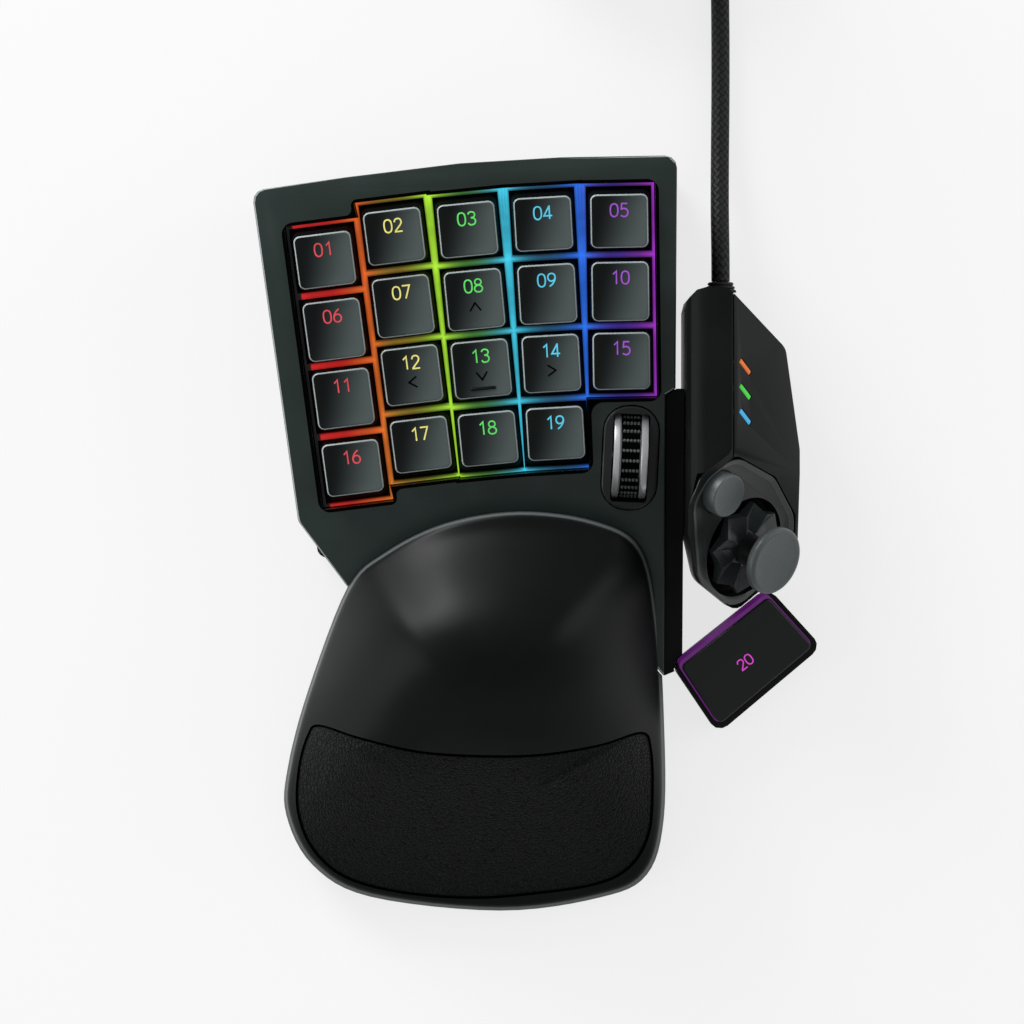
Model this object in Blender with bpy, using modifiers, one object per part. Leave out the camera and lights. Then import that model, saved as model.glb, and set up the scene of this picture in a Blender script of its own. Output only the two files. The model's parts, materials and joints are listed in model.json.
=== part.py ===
"""Gaming keypad for one hand: a fanned key field, a scroll wheel, a thumb module and a sliding palm rest.

Metres, +Z up. +Y points to the rear, away from the user, and +X to the right. The origin is on the desk,
under the middle of the keypad. The key deck is a plane that rises to the rear: the key field, the wheel and
the boards under them are laid out on it, from one empty. The thumb controls and key 20 have an empty each.
"""

import math

import bmesh
import bpy
from mathutils import Matrix, Vector

MM = 0.001
OBJECT_NAME = "gaming_keypad"

# General fits
GAP = 0.3 * MM
OVERRUN = 30.0 * MM
WELD_DISTANCE = 0.002 * MM
SHARE_SLACK = 0.000001
CORNER_REACH_SHARE = 0.48
FLAT_CORNER = math.radians(88.0)
ROUND_STEPS = 24
FOOT_HEIGHT = 1.2 * MM
BASE_Z = FOOT_HEIGHT + GAP

# Key deck
DECK_TILT = math.radians(10.0)
DECK_HEIGHT = 26.1 * MM
FIELD_X = -17.1 * MM
FIELD_V = 55.1 * MM

# Key field
KEY_PITCH = 19.05 * MM
KEY_ROWS = 4
KEY_COLUMNS = 5
COLUMN_ANGLES = [math.radians(angle) for angle in (7.2, 7.0, 5.5, 3.4, 1.1)]
COLUMN_X_SHARES = [-1.935, -0.976, 0.0, 0.991, 1.983]
COLUMN_V_SHARES = [-0.42, -0.09, 0.0, 0.078, 0.113]
COLUMN_STEP_SHARE = 0.7
ROWS_IN_COLUMN = [4, 4, 4, 4, 3]
KEY_SPACING = 2.25 * MM
KEY_SKIRT = KEY_PITCH - KEY_SPACING
KEY_TOP = 4.0 * MM
KEY_SKIRT_DEPTH = 3.8 * MM
KEY_TRAVEL = 3.5 * MM
KEY_WALL = 1.4 * MM
KEY_ROOF = 2.0 * MM
KEY_CORNER = 1.9 * MM
KEY_FACE_WIDTH = 15.2 * MM
KEY_FACE_DEPTHS = [14.2 * MM, 15.8 * MM, 15.3 * MM, 14.2 * MM]
KEY_FACE_SHIFT_SHARES = [0.0, 0.02, 0.045, 0.06]
KEY_DISH = 0.35 * MM
KEY_DISH_BORDER = 0.7 * MM
PLUNGER_WIDTH = 6.0 * MM
PLUNGER_DEPTH = 12.0 * MM

# Light guide, key plate, dome sheet and main board, from the top down
WELL_MARGIN = 0.2 * MM
GUIDE_TOP_DEPTH = 2.0 * MM
GUIDE_FLOOR_DEPTH = KEY_SKIRT_DEPTH + KEY_TRAVEL + 2 * GAP
GUIDE_FLOOR = 1.7 * MM
GUIDE_BOTTOM_DEPTH = GUIDE_FLOOR_DEPTH + GUIDE_FLOOR
PLATE_BORDER = 2.6 * MM
PLATE_TOP_DEPTH = GUIDE_BOTTOM_DEPTH + GAP
PLATE_HEIGHT = 6.2 * MM
PLATE_BOTTOM_DEPTH = PLATE_TOP_DEPTH + PLATE_HEIGHT
SHEET_TOP_DEPTH = PLATE_BOTTOM_DEPTH + GAP
SHEET_HEIGHT = 0.8 * MM
SHEET_BOTTOM_DEPTH = SHEET_TOP_DEPTH + SHEET_HEIGHT
BOARD_TOP_DEPTH = SHEET_BOTTOM_DEPTH + GAP
BOARD_HEIGHT = 1.6 * MM
BOARD_BOTTOM_DEPTH = BOARD_TOP_DEPTH + BOARD_HEIGHT
DOME_TOP_RADIUS = 1.6 * MM
DOME_FOOT_RADIUS = 2.9 * MM

# Main case
CASE_BORDER = 17.05 * MM
CASE_APRON = 63.2 * MM
CASE_WIDTH = KEY_COLUMNS * KEY_PITCH + CASE_BORDER
CASE_LENGTH = KEY_ROWS * KEY_PITCH * math.cos(DECK_TILT) + CASE_APRON
CASE_WALL = 2.0 * MM
CASE_SKIRT = 10.0 * MM
CASE_CORNER = 3.2 * MM
CASE_EDGE = 0.9 * MM
COLLAR_WALL = 1.4 * MM
FIELD_Y = FIELD_V * math.cos(DECK_TILT)
CASE_REAR_SHARES = [
    (-0.5325, 0.2735), (-0.3126, 0.2988), (-0.0427, 0.3253), (0.1923, 0.3365), (0.4675, 0.3403),
]
CASE_STEP_SHARE = -0.102
CASE_RIGHT_SHARE = 0.4675
CASE_STRIP_SHARE = 0.4444
CASE_STRIP_FOOT_SHARE = -0.66
CASE_FRONT_SHARES = [(0.397, -0.6136), (0.366, -0.5702), (-0.236, -0.5702), (-0.4301, -0.358)]
BRIDGE_DEPTH = 3.0 * MM
BRIDGE_FOOT_SHARE = -0.645

# Board posts and case screws
POST_RADIUS = 3.0 * MM
POST_SHARES = [(-0.42, 0.19), (0.36, 0.27), (-0.1, -0.24)]
SCREW_RADIUS = 1.5 * MM
SCREW_HEAD_RADIUS = 2.8 * MM
SCREW_HEAD_HEIGHT = 1.4 * MM
SCREW_BOSS_RADIUS = 3.6 * MM
SCREW_SINK = 12.0 * MM
SCREW_SHARES = {"case_screw_left": (-0.37, -0.41), "case_screw_right": (0.02, -0.47)}

# Scroll wheel
WHEEL_X_SHARE = 2.125
WHEEL_V_SHARE = -1.735
WHEEL_LEAN = math.radians(-2.4)
WHEEL_RADIUS = 12.0 * MM
WHEEL_PROUD = 6.0 * MM
WHEEL_AXLE_DEPTH = WHEEL_RADIUS - WHEEL_PROUD
WHEEL_WIDTH = 9.2 * MM
WHEEL_RIM_WIDTH = 1.9 * MM
WHEEL_CORE_RADIUS = 9.6 * MM
WHEEL_STEPS = 24
TREAD_THICKNESS = 1.9 * MM
TREAD_RIBS = 26
TREAD_RIB_HEIGHT = 0.5 * MM
TREAD_RIB_SHARE = 0.5
WHEEL_AXLE_RADIUS = 1.5 * MM
WHEEL_AXLE_REACH = 1.9 * MM
WHEEL_CLICK = 0.5 * MM
BEZEL_WIDTH = 14.8 * MM
BEZEL_LENGTH = 28.1 * MM
BEZEL_OPENING_WIDTH = WHEEL_WIDTH + 2 * GAP
BEZEL_OPENING_LENGTH = 23.9 * MM
BEZEL_OPENING_CORNER = 1.0 * MM
BEZEL_END_SHARE = 0.46
BEZEL_PROUD = 0.7 * MM
BEZEL_DEPTH = 2.3 * MM
CHEEK_THICKNESS = 1.5 * MM
CHEEK_LENGTH = 12.0 * MM
CHEEK_HEAD = 1.2 * MM
CARRIER_FLOOR = 1.5 * MM
CARRIER_CLEARANCE = 0.7 * MM
SOCKET_WALL = 1.2 * MM
SOCKET_DEPTH = 3.4 * MM

# Thumb module
THUMB_SPACING = 2.7 * MM
THUMB_WIDTH = 31.0 * MM
THUMB_LENGTH = 86.0 * MM
THUMB_REAR_Y = 66.5 * MM
THUMB_WALL = 1.8 * MM
THUMB_BASE_HEIGHT = 4.5 * MM
THUMB_CREST_Z = 46.0 * MM
THUMB_CREST_SHARE = 0.39
THUMB_CREST_RADIUS = 12.0 * MM
THUMB_FACET_ANGLE = math.radians(50.0)
THUMB_EDGE_RADIUS = 3.0 * MM
CREST_OVERLAP = 0.15 * MM
THUMB_CORNER_SHARES = [
    (0.0, 0.0), (0.335, 0.0), (0.868, -0.18), (1.0, -0.494),
    (1.0, -0.84), (0.439, -1.0), (0.094, -0.9), (0.0, -0.75),
]
THUMB_CORNER_RADII = [6.5 * MM, 4.0 * MM, 4.0 * MM, 8.0 * MM, 2.5 * MM, 3.0 * MM, 6.0 * MM, 6.0 * MM]
POD_REAR_SHARES = [(0.0, -0.68), (0.12, -0.575), (0.39, -0.5), (0.8, -0.57)]
SPLIT_GAP = GAP
THUMB_BOARD_SHARES = (0.5, -0.42)
THUMB_BOARD_WIDTH_SHARE = 0.6
THUMB_BOARD_LENGTH_SHARE = 0.4
THUMB_POST_SHARE = 0.4

# Thumb face plate and its controls, on a plane that faces up, right and forward
FACE_TILT = math.radians(48.0)
FACE_TURN = math.radians(65.0)
FACE_X = 16.2 * MM
FACE_FROM_FRONT = 17.1 * MM
FACE_Z = 29.0 * MM
FACE_WIDTH = 37.2 * MM
FACE_HEIGHT = 48.2 * MM
FACE_THICKNESS = 2.0 * MM
FACE_LEDGE = 2.0 * MM
FACE_CORNER = 3.5 * MM
FACE_CORNER_SHARES = [
    (0.556, 0.415), (0.32, 0.546), (0.11, 0.573), (-0.357, 0.255), (-0.4435, -0.141), (0.078, -0.427),
    (0.371, -0.27), (0.546, 0.027),
]
PAD_WELL_RADIUS = 14.0 * MM
CUP_WALL = 0.9 * MM
CUP_DEPTH = 9.6 * MM
CUP_FLOOR = 1.2 * MM
CUP_FOOT_RADIUS = 9.6 * MM
CUP_SHOULDER_DEPTH = 4.3 * MM
CUP_SHOULDER_RADIUS = 13.5 * MM
PIVOT_DEPTH = 5.2 * MM
PAD_RADIUS = 12.8 * MM
PAD_THICKNESS = 2.4 * MM
PAD_PROUD = 0.9 * MM
PAD_FACETS = 8
PAD_FACET_SHARES = [(0.0, 1.0), (0.3, 0.985), (0.5, 0.86), (0.7, 0.985)]
PAD_HUB_RADIUS = 3.4 * MM
PIN_RADIUS = 0.9 * MM
RING_OUTER_RADIUS = 7.2 * MM
RING_INNER_RADIUS = 5.2 * MM
RING_HEIGHT = 2.6 * MM
EAR_THICKNESS = 1.6 * MM
EAR_WIDTH = 4.0 * MM
EAR_GAP = 0.6 * MM
STICK_RADIUS = 3.2 * MM
STICK_FOOT_RADIUS = 4.0 * MM
STICK_PEG_RADIUS = 1.6 * MM
STICK_PEG_DEPTH = 2.0 * MM
CAP_RADIUS = 9.25 * MM
CAP_HEIGHT = 11.7 * MM
CAP_THICKNESS = 3.0 * MM
CAP_DISH = 0.8 * MM
CAP_DISH_SHARE = 0.7
CAP_MIDDLE_SHARE = 0.45
CAP_RIM_SHARE = 0.9
CAP_FOOT_SHARE = 0.86
CAP_SOCKET = 1.2 * MM
MODE_X = 10.2 * MM
MODE_Y = 19.4 * MM
MODE_RADIUS = 5.8 * MM
MODE_FACE_SHARE = 0.85
MODE_PROUD = 3.3 * MM
MODE_TRAVEL = 1.0 * MM
MODE_FLANGE = 0.6 * MM
MODE_FLANGE_HEIGHT = 0.8 * MM

# Status lights on the side cover
LIGHT_COUNT = 3
LIGHT_LENGTH = 5.2 * MM
LIGHT_WIDTH = 1.1 * MM
LIGHT_PITCH = 6.6 * MM
LIGHT_FIRST_SHARE = -0.243
LIGHT_INSET = 2.6 * MM
LIGHT_TURN = math.radians(-38.0)
LIGHT_STRIP_WIDTH = 6.48 * MM
LIGHT_STRIP_MARGIN = 1.1 * MM
LIGHT_STRIP_HEIGHT = 1.2 * MM

# Key 20 and its tray
THUMB_KEY_X = 17.1 * MM
THUMB_KEY_AHEAD = 13.2 * MM
THUMB_KEY_Z = 15.5 * MM
THUMB_KEY_TILT = math.radians(24.0)
THUMB_KEY_TURN = math.radians(38.4)
THUMB_KEY_WIDTH = 33.0 * MM
THUMB_KEY_DEPTH = 21.2 * MM
THUMB_KEY_CORNER = 1.6 * MM
THUMB_KEY_CORNER_SHARES = [(-0.5, -0.5), (0.5, -0.45), (0.455, 0.5), (-0.455, 0.5)]
THUMB_KEY_HEIGHT = 4.4 * MM
THUMB_KEY_TRAVEL = 2.5 * MM
THUMB_KEY_PEG_RADIUS = 2.0 * MM
THUMB_KEY_PEG_DEPTH = 3.6 * MM
TRAY_WALL = 1.3 * MM
TRAY_TOP_DEPTH = 1.6 * MM
TRAY_CLEARANCE = 0.5 * MM

# Palm rest
PALM_WIDTH = 102.7 * MM
PALM_LENGTH = 109.1 * MM
PALM_SIDE_GAP = 0.35 * MM
PALM_CASE_GAP = PALM_SIDE_GAP * 3 / 2
PALM_OVERLAP = 32.3 * MM
PALM_OUTLINE_SHARES = [
    (-0.832, -0.190), (-0.733, -0.101), (-0.576, -0.029), (-0.381, 0.0), (-0.186, -0.024), (-0.066, -0.091),
    (-0.020, -0.271), (-0.001, -0.521), (0.0, -0.768), (-0.045, -0.910), (-0.169, -0.967), (-0.434, -1.0),
    (-0.778, -0.965), (-0.931, -0.885), (-1.0, -0.759), (-0.995, -0.640), (-0.939, -0.445),
]
PALM_SMOOTH_STEPS = 2
PALM_CENTRE_SHARES = (-0.49, -0.5)
PALM_HEIGHT = 60.0 * MM
PALM_EDGE_SHARES = [(0.0, 0.60), (-0.1, 0.5), (-0.3, 0.30), (-0.5, 0.21), (-0.75, 0.14), (-1.0, 0.10)]
PALM_RIDGE_SHARES = [
    (0.0, 0.74), (-0.1, 0.92), (-0.22, 1.0), (-0.36, 0.96),
    (-0.52, 0.77), (-0.7, 0.53), (-0.86, 0.35), (-1.0, 0.2),
]
PALM_RING_SHARES = [1.0, 0.985, 0.955, 0.86, 0.7, 0.5, 0.3, 0.14]
PALM_CAVITY_SHARES = [1.0, 0.97, 0.9, 0.75, 0.55, 0.35, 0.15]
PALM_FILLET = 3.2 * MM
PALM_FILLET_SHARE = 0.045
PALM_DOME_POWER = 2.7
PALM_WALL = 2.2 * MM
PALM_BASE_HEIGHT = 2.0 * MM
PALM_BASE_INSET = 1.2 * MM
PALM_SEAM_Z = BASE_Z + PALM_BASE_HEIGHT + GAP
PALM_TRAVEL = 12.0 * MM
PALM_LIP_GAP = 0.4 * MM

# Palm pad
PAD_OUTLINE_SHARES = [
    (-0.905, -0.531), (-0.80, -0.556), (-0.641, -0.588), (-0.485, -0.598), (-0.33, -0.596),
    (-0.174, -0.575), (-0.064, -0.549), (-0.040, -0.59), (-0.034, -0.688), (-0.043, -0.802),
    (-0.092, -0.885), (-0.184, -0.929), (-0.355, -0.953), (-0.513, -0.963), (-0.697, -0.949),
    (-0.842, -0.911), (-0.927, -0.840), (-0.965, -0.744), (-0.960, -0.637), (-0.935, -0.556),
]
PAD_CENTRE_SHARES = (-0.5, -0.76)
PAD_RING_SHARES = [1.0, 0.975, 0.92, 0.75, 0.5, 0.25]
PAD_FLOOR_SHARES = [0.25, 0.5, 0.75, 0.92, 1.0]
PAD_EDGE_SHARE = 0.92
PAD_SINK_SHARE = -0.48
PAD_SINK_BLEND_SHARE = 0.05
PAD_DEPTH = 2.6 * MM
PAD_CROWN = 1.0 * MM
PAD_EDGE_DROP = 0.9 * MM

# Palm rails and latch
RAIL_WIDTH = 10.0 * MM
RAIL_HEIGHT = 3.0 * MM
RAIL_LENGTH = 38.0 * MM
RAIL_X_SHARES = (-0.115, 0.22)
RAIL_GUIDE_WALL = 1.6 * MM
RAIL_GUIDE_HEIGHT = 5.0 * MM
RAIL_GUIDE_LENGTH = 30.0 * MM
RAIL_GUIDE_SETBACK = 4.0 * MM
LATCH_WIDTH = 12.0 * MM
LATCH_LENGTH = 8.0 * MM
LATCH_TOOTH = 1.6 * MM
LATCH_TOOTH_LENGTH = 3.0 * MM
LATCH_TRAVEL = 2.0 * MM
LATCH_SETBACK = 22.0 * MM
LATCH_TAB_WIDTH = 5.0 * MM
LATCH_TAB_LENGTH = 6.0 * MM

# Feet
FOOT_WIDTH = 6.0 * MM
FOOT_SPAN_SHARE = 0.52
FOOT_REAR_SHARE = 0.27
FOOT_MIDDLE_SHARE = -0.42
FOOT_PALM_SHARE = -0.78
FOOT_THUMB_LENGTH = 20.8 * MM
FOOT_THUMB_SHARE = -0.55
FOOT_END_RADIUS = 2.85 * MM

# Cable
CABLE_DIAMETER = 5.0 * MM
CABLE_EXIT_X = 10.3 * MM
CABLE_EXIT_Z = 11.5 * MM
GROMMET_RADIUS = 3.5 * MM
GROMMET_FLANGE_RADIUS = 4.4 * MM
GROMMET_FLANGE = 1.2 * MM
GROMMET_FACE_SHARE = 0.82
GROMMET_INSIDE = 4.0 * MM
GROMMET_OUTSIDE = 3.0 * MM
LEAD_STEPS = 2
COIL_TURNS_IN_LAYER = 3
COIL_LAYERS = 4
COIL_PITCH = 5.5 * MM
COIL_RISE = 5.45 * MM
COIL_INNER_RADIUS = 18.3 * MM
COIL_BORE_RADIUS = 18.3 * MM
COIL_STEPS = 48
COIL_SLACK = 0.06 * MM
COIL_Y = 196.0 * MM
TAIL_RADIUS = 20.0 * MM
TAIL_SWEEP = math.radians(60.0)
TAIL_CLIMB_TURNS = 0.3
TAIL_CLIMB_STEPS = 6
TAIL_BEND_STEPS = 8
LEAD_START = 1.3 * MM
LEAD_ROUTE = [
    (0.0, 2.0 * MM, 11.5 * MM),
    (0.0, 10.0 * MM, 10.6 * MM),
    (0.0, 22.0 * MM, 7.2 * MM),
    (0.2 * MM, 36.0 * MM, 3.9 * MM),
    (0.4 * MM, 52.0 * MM, 2.6 * MM),
    (0.4 * MM, 70.0 * MM, 2.6 * MM),
    (0.2 * MM, 88.0 * MM, 2.7 * MM),
    (0.0, 106.0 * MM, 3.3 * MM),
    (0.0, 118.0 * MM, 3.8 * MM),
]
TIE_WIDTH = 10.0 * MM
TIE_THICKNESS = 1.0 * MM
PLUG_WIDTH = 15.5 * MM
PLUG_THICKNESS = 7.6 * MM
PLUG_LENGTH = 26.0 * MM
PLUG_EDGE = 1.5 * MM
PLUG_SHELL_WIDTH = 12.0 * MM
PLUG_SHELL_THICKNESS = 4.5 * MM
PLUG_SHELL_LENGTH = 12.5 * MM
PLUG_SHELL_WALL = 0.4 * MM


class Finishes:
    """Named materials, made once each."""

    VALUES = {
        "satin_black": ((0.012, 0.013, 0.014), 0.42, 0.0),
        "base_black": ((0.008, 0.009, 0.009), 0.55, 0.0),
        "key_black": ((0.014, 0.015, 0.016), 0.38, 0.0),
        "light_white": ((0.75, 0.76, 0.78), 0.5, 0.0),
        "board_green": ((0.01, 0.07, 0.03), 0.5, 0.0),
        "dome_grey": ((0.3, 0.31, 0.32), 0.6, 0.0),
        "wheel_silver": ((0.55, 0.56, 0.57), 0.3, 0.9),
        "rubber_black": ((0.01, 0.01, 0.01), 0.8, 0.0),
        "control_grey": ((0.045, 0.05, 0.052), 0.45, 0.0),
        "pad_leather": ((0.012, 0.012, 0.012), 0.6, 0.0),
        "steel": ((0.5, 0.5, 0.5), 0.3, 1.0),
        "cable_braid": ((0.008, 0.008, 0.008), 0.8, 0.0),
    }

    @classmethod
    def get(cls, finish):
        material = bpy.data.materials.get(finish)
        if material is None:
            colour, roughness, metallic = cls.VALUES[finish]
            material = bpy.data.materials.new(finish)
            material.use_nodes = True
            shader = material.node_tree.nodes["Principled BSDF"]
            shader.inputs["Base Color"].default_value = (*colour, 1.0)
            shader.inputs["Roughness"].default_value = roughness
            shader.inputs["Metallic"].default_value = metallic
        return material


# Scene and collections

def clear_scene():
    for item in list(bpy.data.objects):
        bpy.data.objects.remove(item, do_unlink=True)
    for name in (OBJECT_NAME, "cutters"):
        collection = bpy.data.collections.new(name)
        bpy.context.scene.collection.children.link(collection)


def add_frame(name, matrix):
    """An empty that carries the pieces laid out on one plane."""
    frame = bpy.data.objects.new(name, None)
    frame.empty_display_size = KEY_PITCH
    bpy.data.collections[OBJECT_NAME].objects.link(frame)
    frame.matrix_world = matrix
    return frame


def shelve(piece):
    """Turns an object into a cutter, which is never part of the model."""
    for collection in list(piece.users_collection):
        collection.objects.unlink(piece)
    bpy.data.collections["cutters"].objects.link(piece)
    piece.hide_render = True
    piece.display_type = "WIRE"
    return piece


def boolean(target, other, operation):
    step = target.modifiers.new(operation.lower(), "BOOLEAN")
    step.operation = operation
    step.solver = "EXACT"
    step.object = shelve(other)
    return target


def cut(target, *cutters):
    for cutter in cutters:
        boolean(target, cutter, "DIFFERENCE")
    return target


def fuse(target, *pieces):
    for piece in pieces:
        boolean(target, piece, "UNION")
    return target


def keep_common(target, other):
    return boolean(target, other, "INTERSECT")


def smooth(piece, angle=math.radians(35.0)):
    piece.data.shade_smooth()
    piece.data.set_sharp_from_angle(angle=angle)
    return piece


def dress(piece, finish, frame=None, location=None, turn=None):
    """Gives a piece its material, and its place in a frame."""
    piece.data.materials.clear()
    piece.data.materials.append(Finishes.get(finish))
    if frame is not None:
        piece.parent = frame
    if location is not None:
        piece.location = location
    if turn is not None:
        piece.rotation_euler = turn
    return piece


# Mesh builders

def add_mesh(name, bm):
    mesh = bpy.data.meshes.new(name)
    bm.to_mesh(mesh)
    bm.free()
    piece = bpy.data.objects.new(name, mesh)
    bpy.data.collections[OBJECT_NAME].objects.link(piece)
    return piece


def box(name, size, centre):
    bm = bmesh.new()
    bmesh.ops.create_cube(bm, size=1.0)
    bmesh.ops.scale(bm, vec=size, verts=bm.verts)
    bmesh.ops.translate(bm, vec=centre, verts=bm.verts)
    return add_mesh(name, bm)


def cylinder(name, radius, low, high, centre=(0.0, 0.0), segments=24, top_radius=None, axis="Z"):
    bm = bmesh.new()
    bmesh.ops.create_cone(
        bm, cap_ends=True, segments=segments, radius1=radius,
        radius2=radius if top_radius is None else top_radius, depth=high - low,
    )
    bmesh.ops.translate(bm, vec=(0.0, 0.0, (low + high) / 2), verts=bm.verts)
    if axis != "Z":
        turn = Matrix.Rotation(math.pi / 2, 3, "Y" if axis == "X" else "X")
        bmesh.ops.rotate(bm, cent=(0.0, 0.0, 0.0), matrix=turn, verts=bm.verts)
        if axis == "Y":
            bmesh.ops.scale(bm, vec=(1.0, -1.0, 1.0), verts=bm.verts)
            bmesh.ops.reverse_faces(bm, faces=bm.faces)
    bmesh.ops.translate(bm, vec=(centre[0], centre[1], centre[2] if len(centre) > 2 else 0.0), verts=bm.verts)
    return add_mesh(name, bm)


def mesh_from_curve(carrier):
    """Makes a curve object a mesh object with welded caps; the curve is removed."""
    bpy.context.scene.collection.objects.link(carrier)
    bpy.context.view_layer.update()
    graph = bpy.context.evaluated_depsgraph_get()
    mesh = bpy.data.meshes.new_from_object(carrier.evaluated_get(graph))
    name, matrix, curve = carrier.name, carrier.matrix_world.copy(), carrier.data
    bpy.data.objects.remove(carrier, do_unlink=True)
    bpy.data.curves.remove(curve)
    bm = bmesh.new()
    bm.from_mesh(mesh)
    bpy.data.meshes.remove(mesh)
    bmesh.ops.remove_doubles(bm, verts=bm.verts, dist=WELD_DISTANCE)
    bmesh.ops.recalc_face_normals(bm, faces=bm.faces)
    bmesh.ops.transform(bm, matrix=matrix, verts=bm.verts)
    return add_mesh(name, bm)


def prism(name, outline, low, high):
    """A closed flat outline, filled and extruded from low to high."""
    curve = bpy.data.curves.new(name, type="CURVE")
    curve.dimensions = "2D"
    curve.fill_mode = "BOTH"
    curve.extrude = (high - low) / 2
    curve.resolution_u = 1
    curve.render_resolution_u = 0
    spline = curve.splines.new("POLY")
    spline.points.add(len(outline) - 1)
    for point, place in zip(spline.points, outline):
        point.co = (place[0], place[1], 0.0, 1.0)
    spline.use_cyclic_u = True
    carrier = bpy.data.objects.new(name, curve)
    carrier.location = (0.0, 0.0, (low + high) / 2)
    return mesh_from_curve(carrier)


def turned(name, profile, steps):
    """A turned solid: a profile in (radius, height), run from the top down its outer side."""
    bm = bmesh.new()
    verts = [bm.verts.new((radius, 0.0, height)) for radius, height in profile]
    for first, second in zip(verts, verts[1:]):
        bm.edges.new((first, second))
    piece = add_mesh(name, bm)
    screw = piece.modifiers.new("turn", "SCREW")
    screw.axis = "Z"
    screw.steps = steps
    screw.render_steps = steps
    screw.use_merge_vertices = True
    screw.merge_threshold = WELD_DISTANCE
    return piece


def tube(name, points, diameter, resolution):
    """A tube along points, with filled and welded caps."""
    curve = bpy.data.curves.new(name, type="CURVE")
    curve.dimensions = "3D"
    curve.bevel_depth = diameter / 2
    curve.bevel_resolution = resolution
    curve.use_fill_caps = True
    curve.render_resolution_u = 0
    spline = curve.splines.new("POLY")
    spline.points.add(len(points) - 1)
    for point, place in zip(spline.points, points):
        point.co = (*place, 1.0)
    return mesh_from_curve(bpy.data.objects.new(name, curve))


def bevel(piece, width, segments, angle=math.radians(40.0)):
    step = piece.modifiers.new("edge", "BEVEL")
    step.width = width
    step.segments = segments
    step.limit_method = "ANGLE"
    step.angle_limit = angle
    return piece


# Outlines

def round_corners(corners, radii, steps=4):
    """Swaps each corner of a closed outline for an arc of its own radius."""
    count = len(corners)
    if not isinstance(radii, (list, tuple)):
        radii = [radii] * count
    outline = []
    for index, corner in enumerate(corners):
        here = Vector(corner)
        back = Vector(corners[index - 1]) - here
        ahead = Vector(corners[(index + 1) % count]) - here
        half = back.angle(ahead) / 2
        reach = min(radii[index] / math.tan(half), CORNER_REACH_SHARE * min(back.length, ahead.length))
        if reach < WELD_DISTANCE or half > FLAT_CORNER:
            outline.append(tuple(here))
            continue
        radius = reach * math.tan(half)
        centre = here + (back.normalized() + ahead.normalized()).normalized() * radius / math.sin(half)
        first = here + back.normalized() * reach - centre
        last = here + ahead.normalized() * reach - centre
        sweep = first.angle_signed(last)
        for step in range(steps + 1):
            spot = first.copy()
            spot.rotate(Matrix.Rotation(-sweep * step / steps, 2))
            outline.append(tuple(centre + spot))
    return outline


def curve_spot(a, b, c, d, t):
    """A place between b and c on the smooth curve through four points."""
    return 0.5 * (2 * b + (c - a) * t + (2 * a - 5 * b + 4 * c - d) * t ** 2 + (3 * b - a - 3 * c + d) * t ** 3)


def smooth_loop(corners, steps):
    """A smooth closed curve through the given points."""
    count = len(corners)
    outline = []
    for index in range(count):
        a, b, c, d = (Vector(corners[(index + shift) % count]) for shift in (-1, 0, 1, 2))
        outline += [tuple(curve_spot(a, b, c, d, step / steps)) for step in range(steps)]
    return outline


def area_of(outline):
    return sum(a[0] * b[1] - b[0] * a[1] for a, b in zip(outline, outline[1:] + outline[:1])) / 2


def offset(outline, distance):
    """Moves each side of a closed outline out by distance; a negative one moves it in."""
    sign = 1.0 if area_of(outline) > 0 else -1.0
    count = len(outline)
    moved = []
    for index in range(count):
        back = (Vector(outline[index]) - Vector(outline[index - 1])).normalized()
        ahead = (Vector(outline[(index + 1) % count]) - Vector(outline[index])).normalized()
        out_back = Vector((back.y, -back.x)) * sign
        out_ahead = Vector((ahead.y, -ahead.x)) * sign
        mitre = out_back + out_ahead
        scale = 2.0 / max(mitre.length_squared, 1.0)
        moved.append(tuple(Vector(outline[index]) + mitre * scale * distance))
    return moved


def read_curve(table, share):
    """Reads a smooth curve through a table whose first column falls."""
    share = min(max(share, table[-1][0]), table[0][0])
    index = next(i for i in range(len(table) - 1) if share >= table[i + 1][0])
    slopes = []
    for place in (index, index + 1):
        before, after = table[max(place - 1, 0)], table[min(place + 1, len(table) - 1)]
        slopes.append((after[1] - before[1]) / (after[0] - before[0]))
    (a, low), (b, high) = table[index], table[index + 1]
    span = b - a
    t = (share - a) / span
    return (
        (2 * t ** 3 - 3 * t ** 2 + 1) * low + (t ** 3 - 2 * t ** 2 + t) * span * slopes[0]
        + (3 * t ** 2 - 2 * t ** 3) * high + (t ** 3 - t ** 2) * span * slopes[1]
    )


# The deck plane

def deck_z(y):
    """Height of the deck plane over a place on the desk."""
    return DECK_HEIGHT + y * math.tan(DECK_TILT)


def lean_to_deck(piece):
    """Shears a piece so that what was level follows the deck; upright walls stay upright."""
    lean = Matrix.Identity(4)
    lean[2][1] = math.tan(DECK_TILT)
    lean[2][3] = DECK_HEIGHT
    piece.data.transform(lean)
    return piece


def case_point(shares):
    return (FIELD_X + shares[0] * CASE_WIDTH, FIELD_Y + shares[1] * CASE_LENGTH)


CASE_RIGHT_X = FIELD_X + CASE_RIGHT_SHARE * CASE_WIDTH
CASE_STRIP_X = FIELD_X + CASE_STRIP_SHARE * CASE_WIDTH
CASE_STEP_Y = FIELD_Y + CASE_STEP_SHARE * CASE_LENGTH
THUMB_LEFT_X = CASE_RIGHT_X + THUMB_SPACING
THUMB_FRONT_Y = THUMB_REAR_Y - THUMB_LENGTH
CASE_FRONT_Y = FIELD_Y + CASE_FRONT_SHARES[1][1] * CASE_LENGTH


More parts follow.
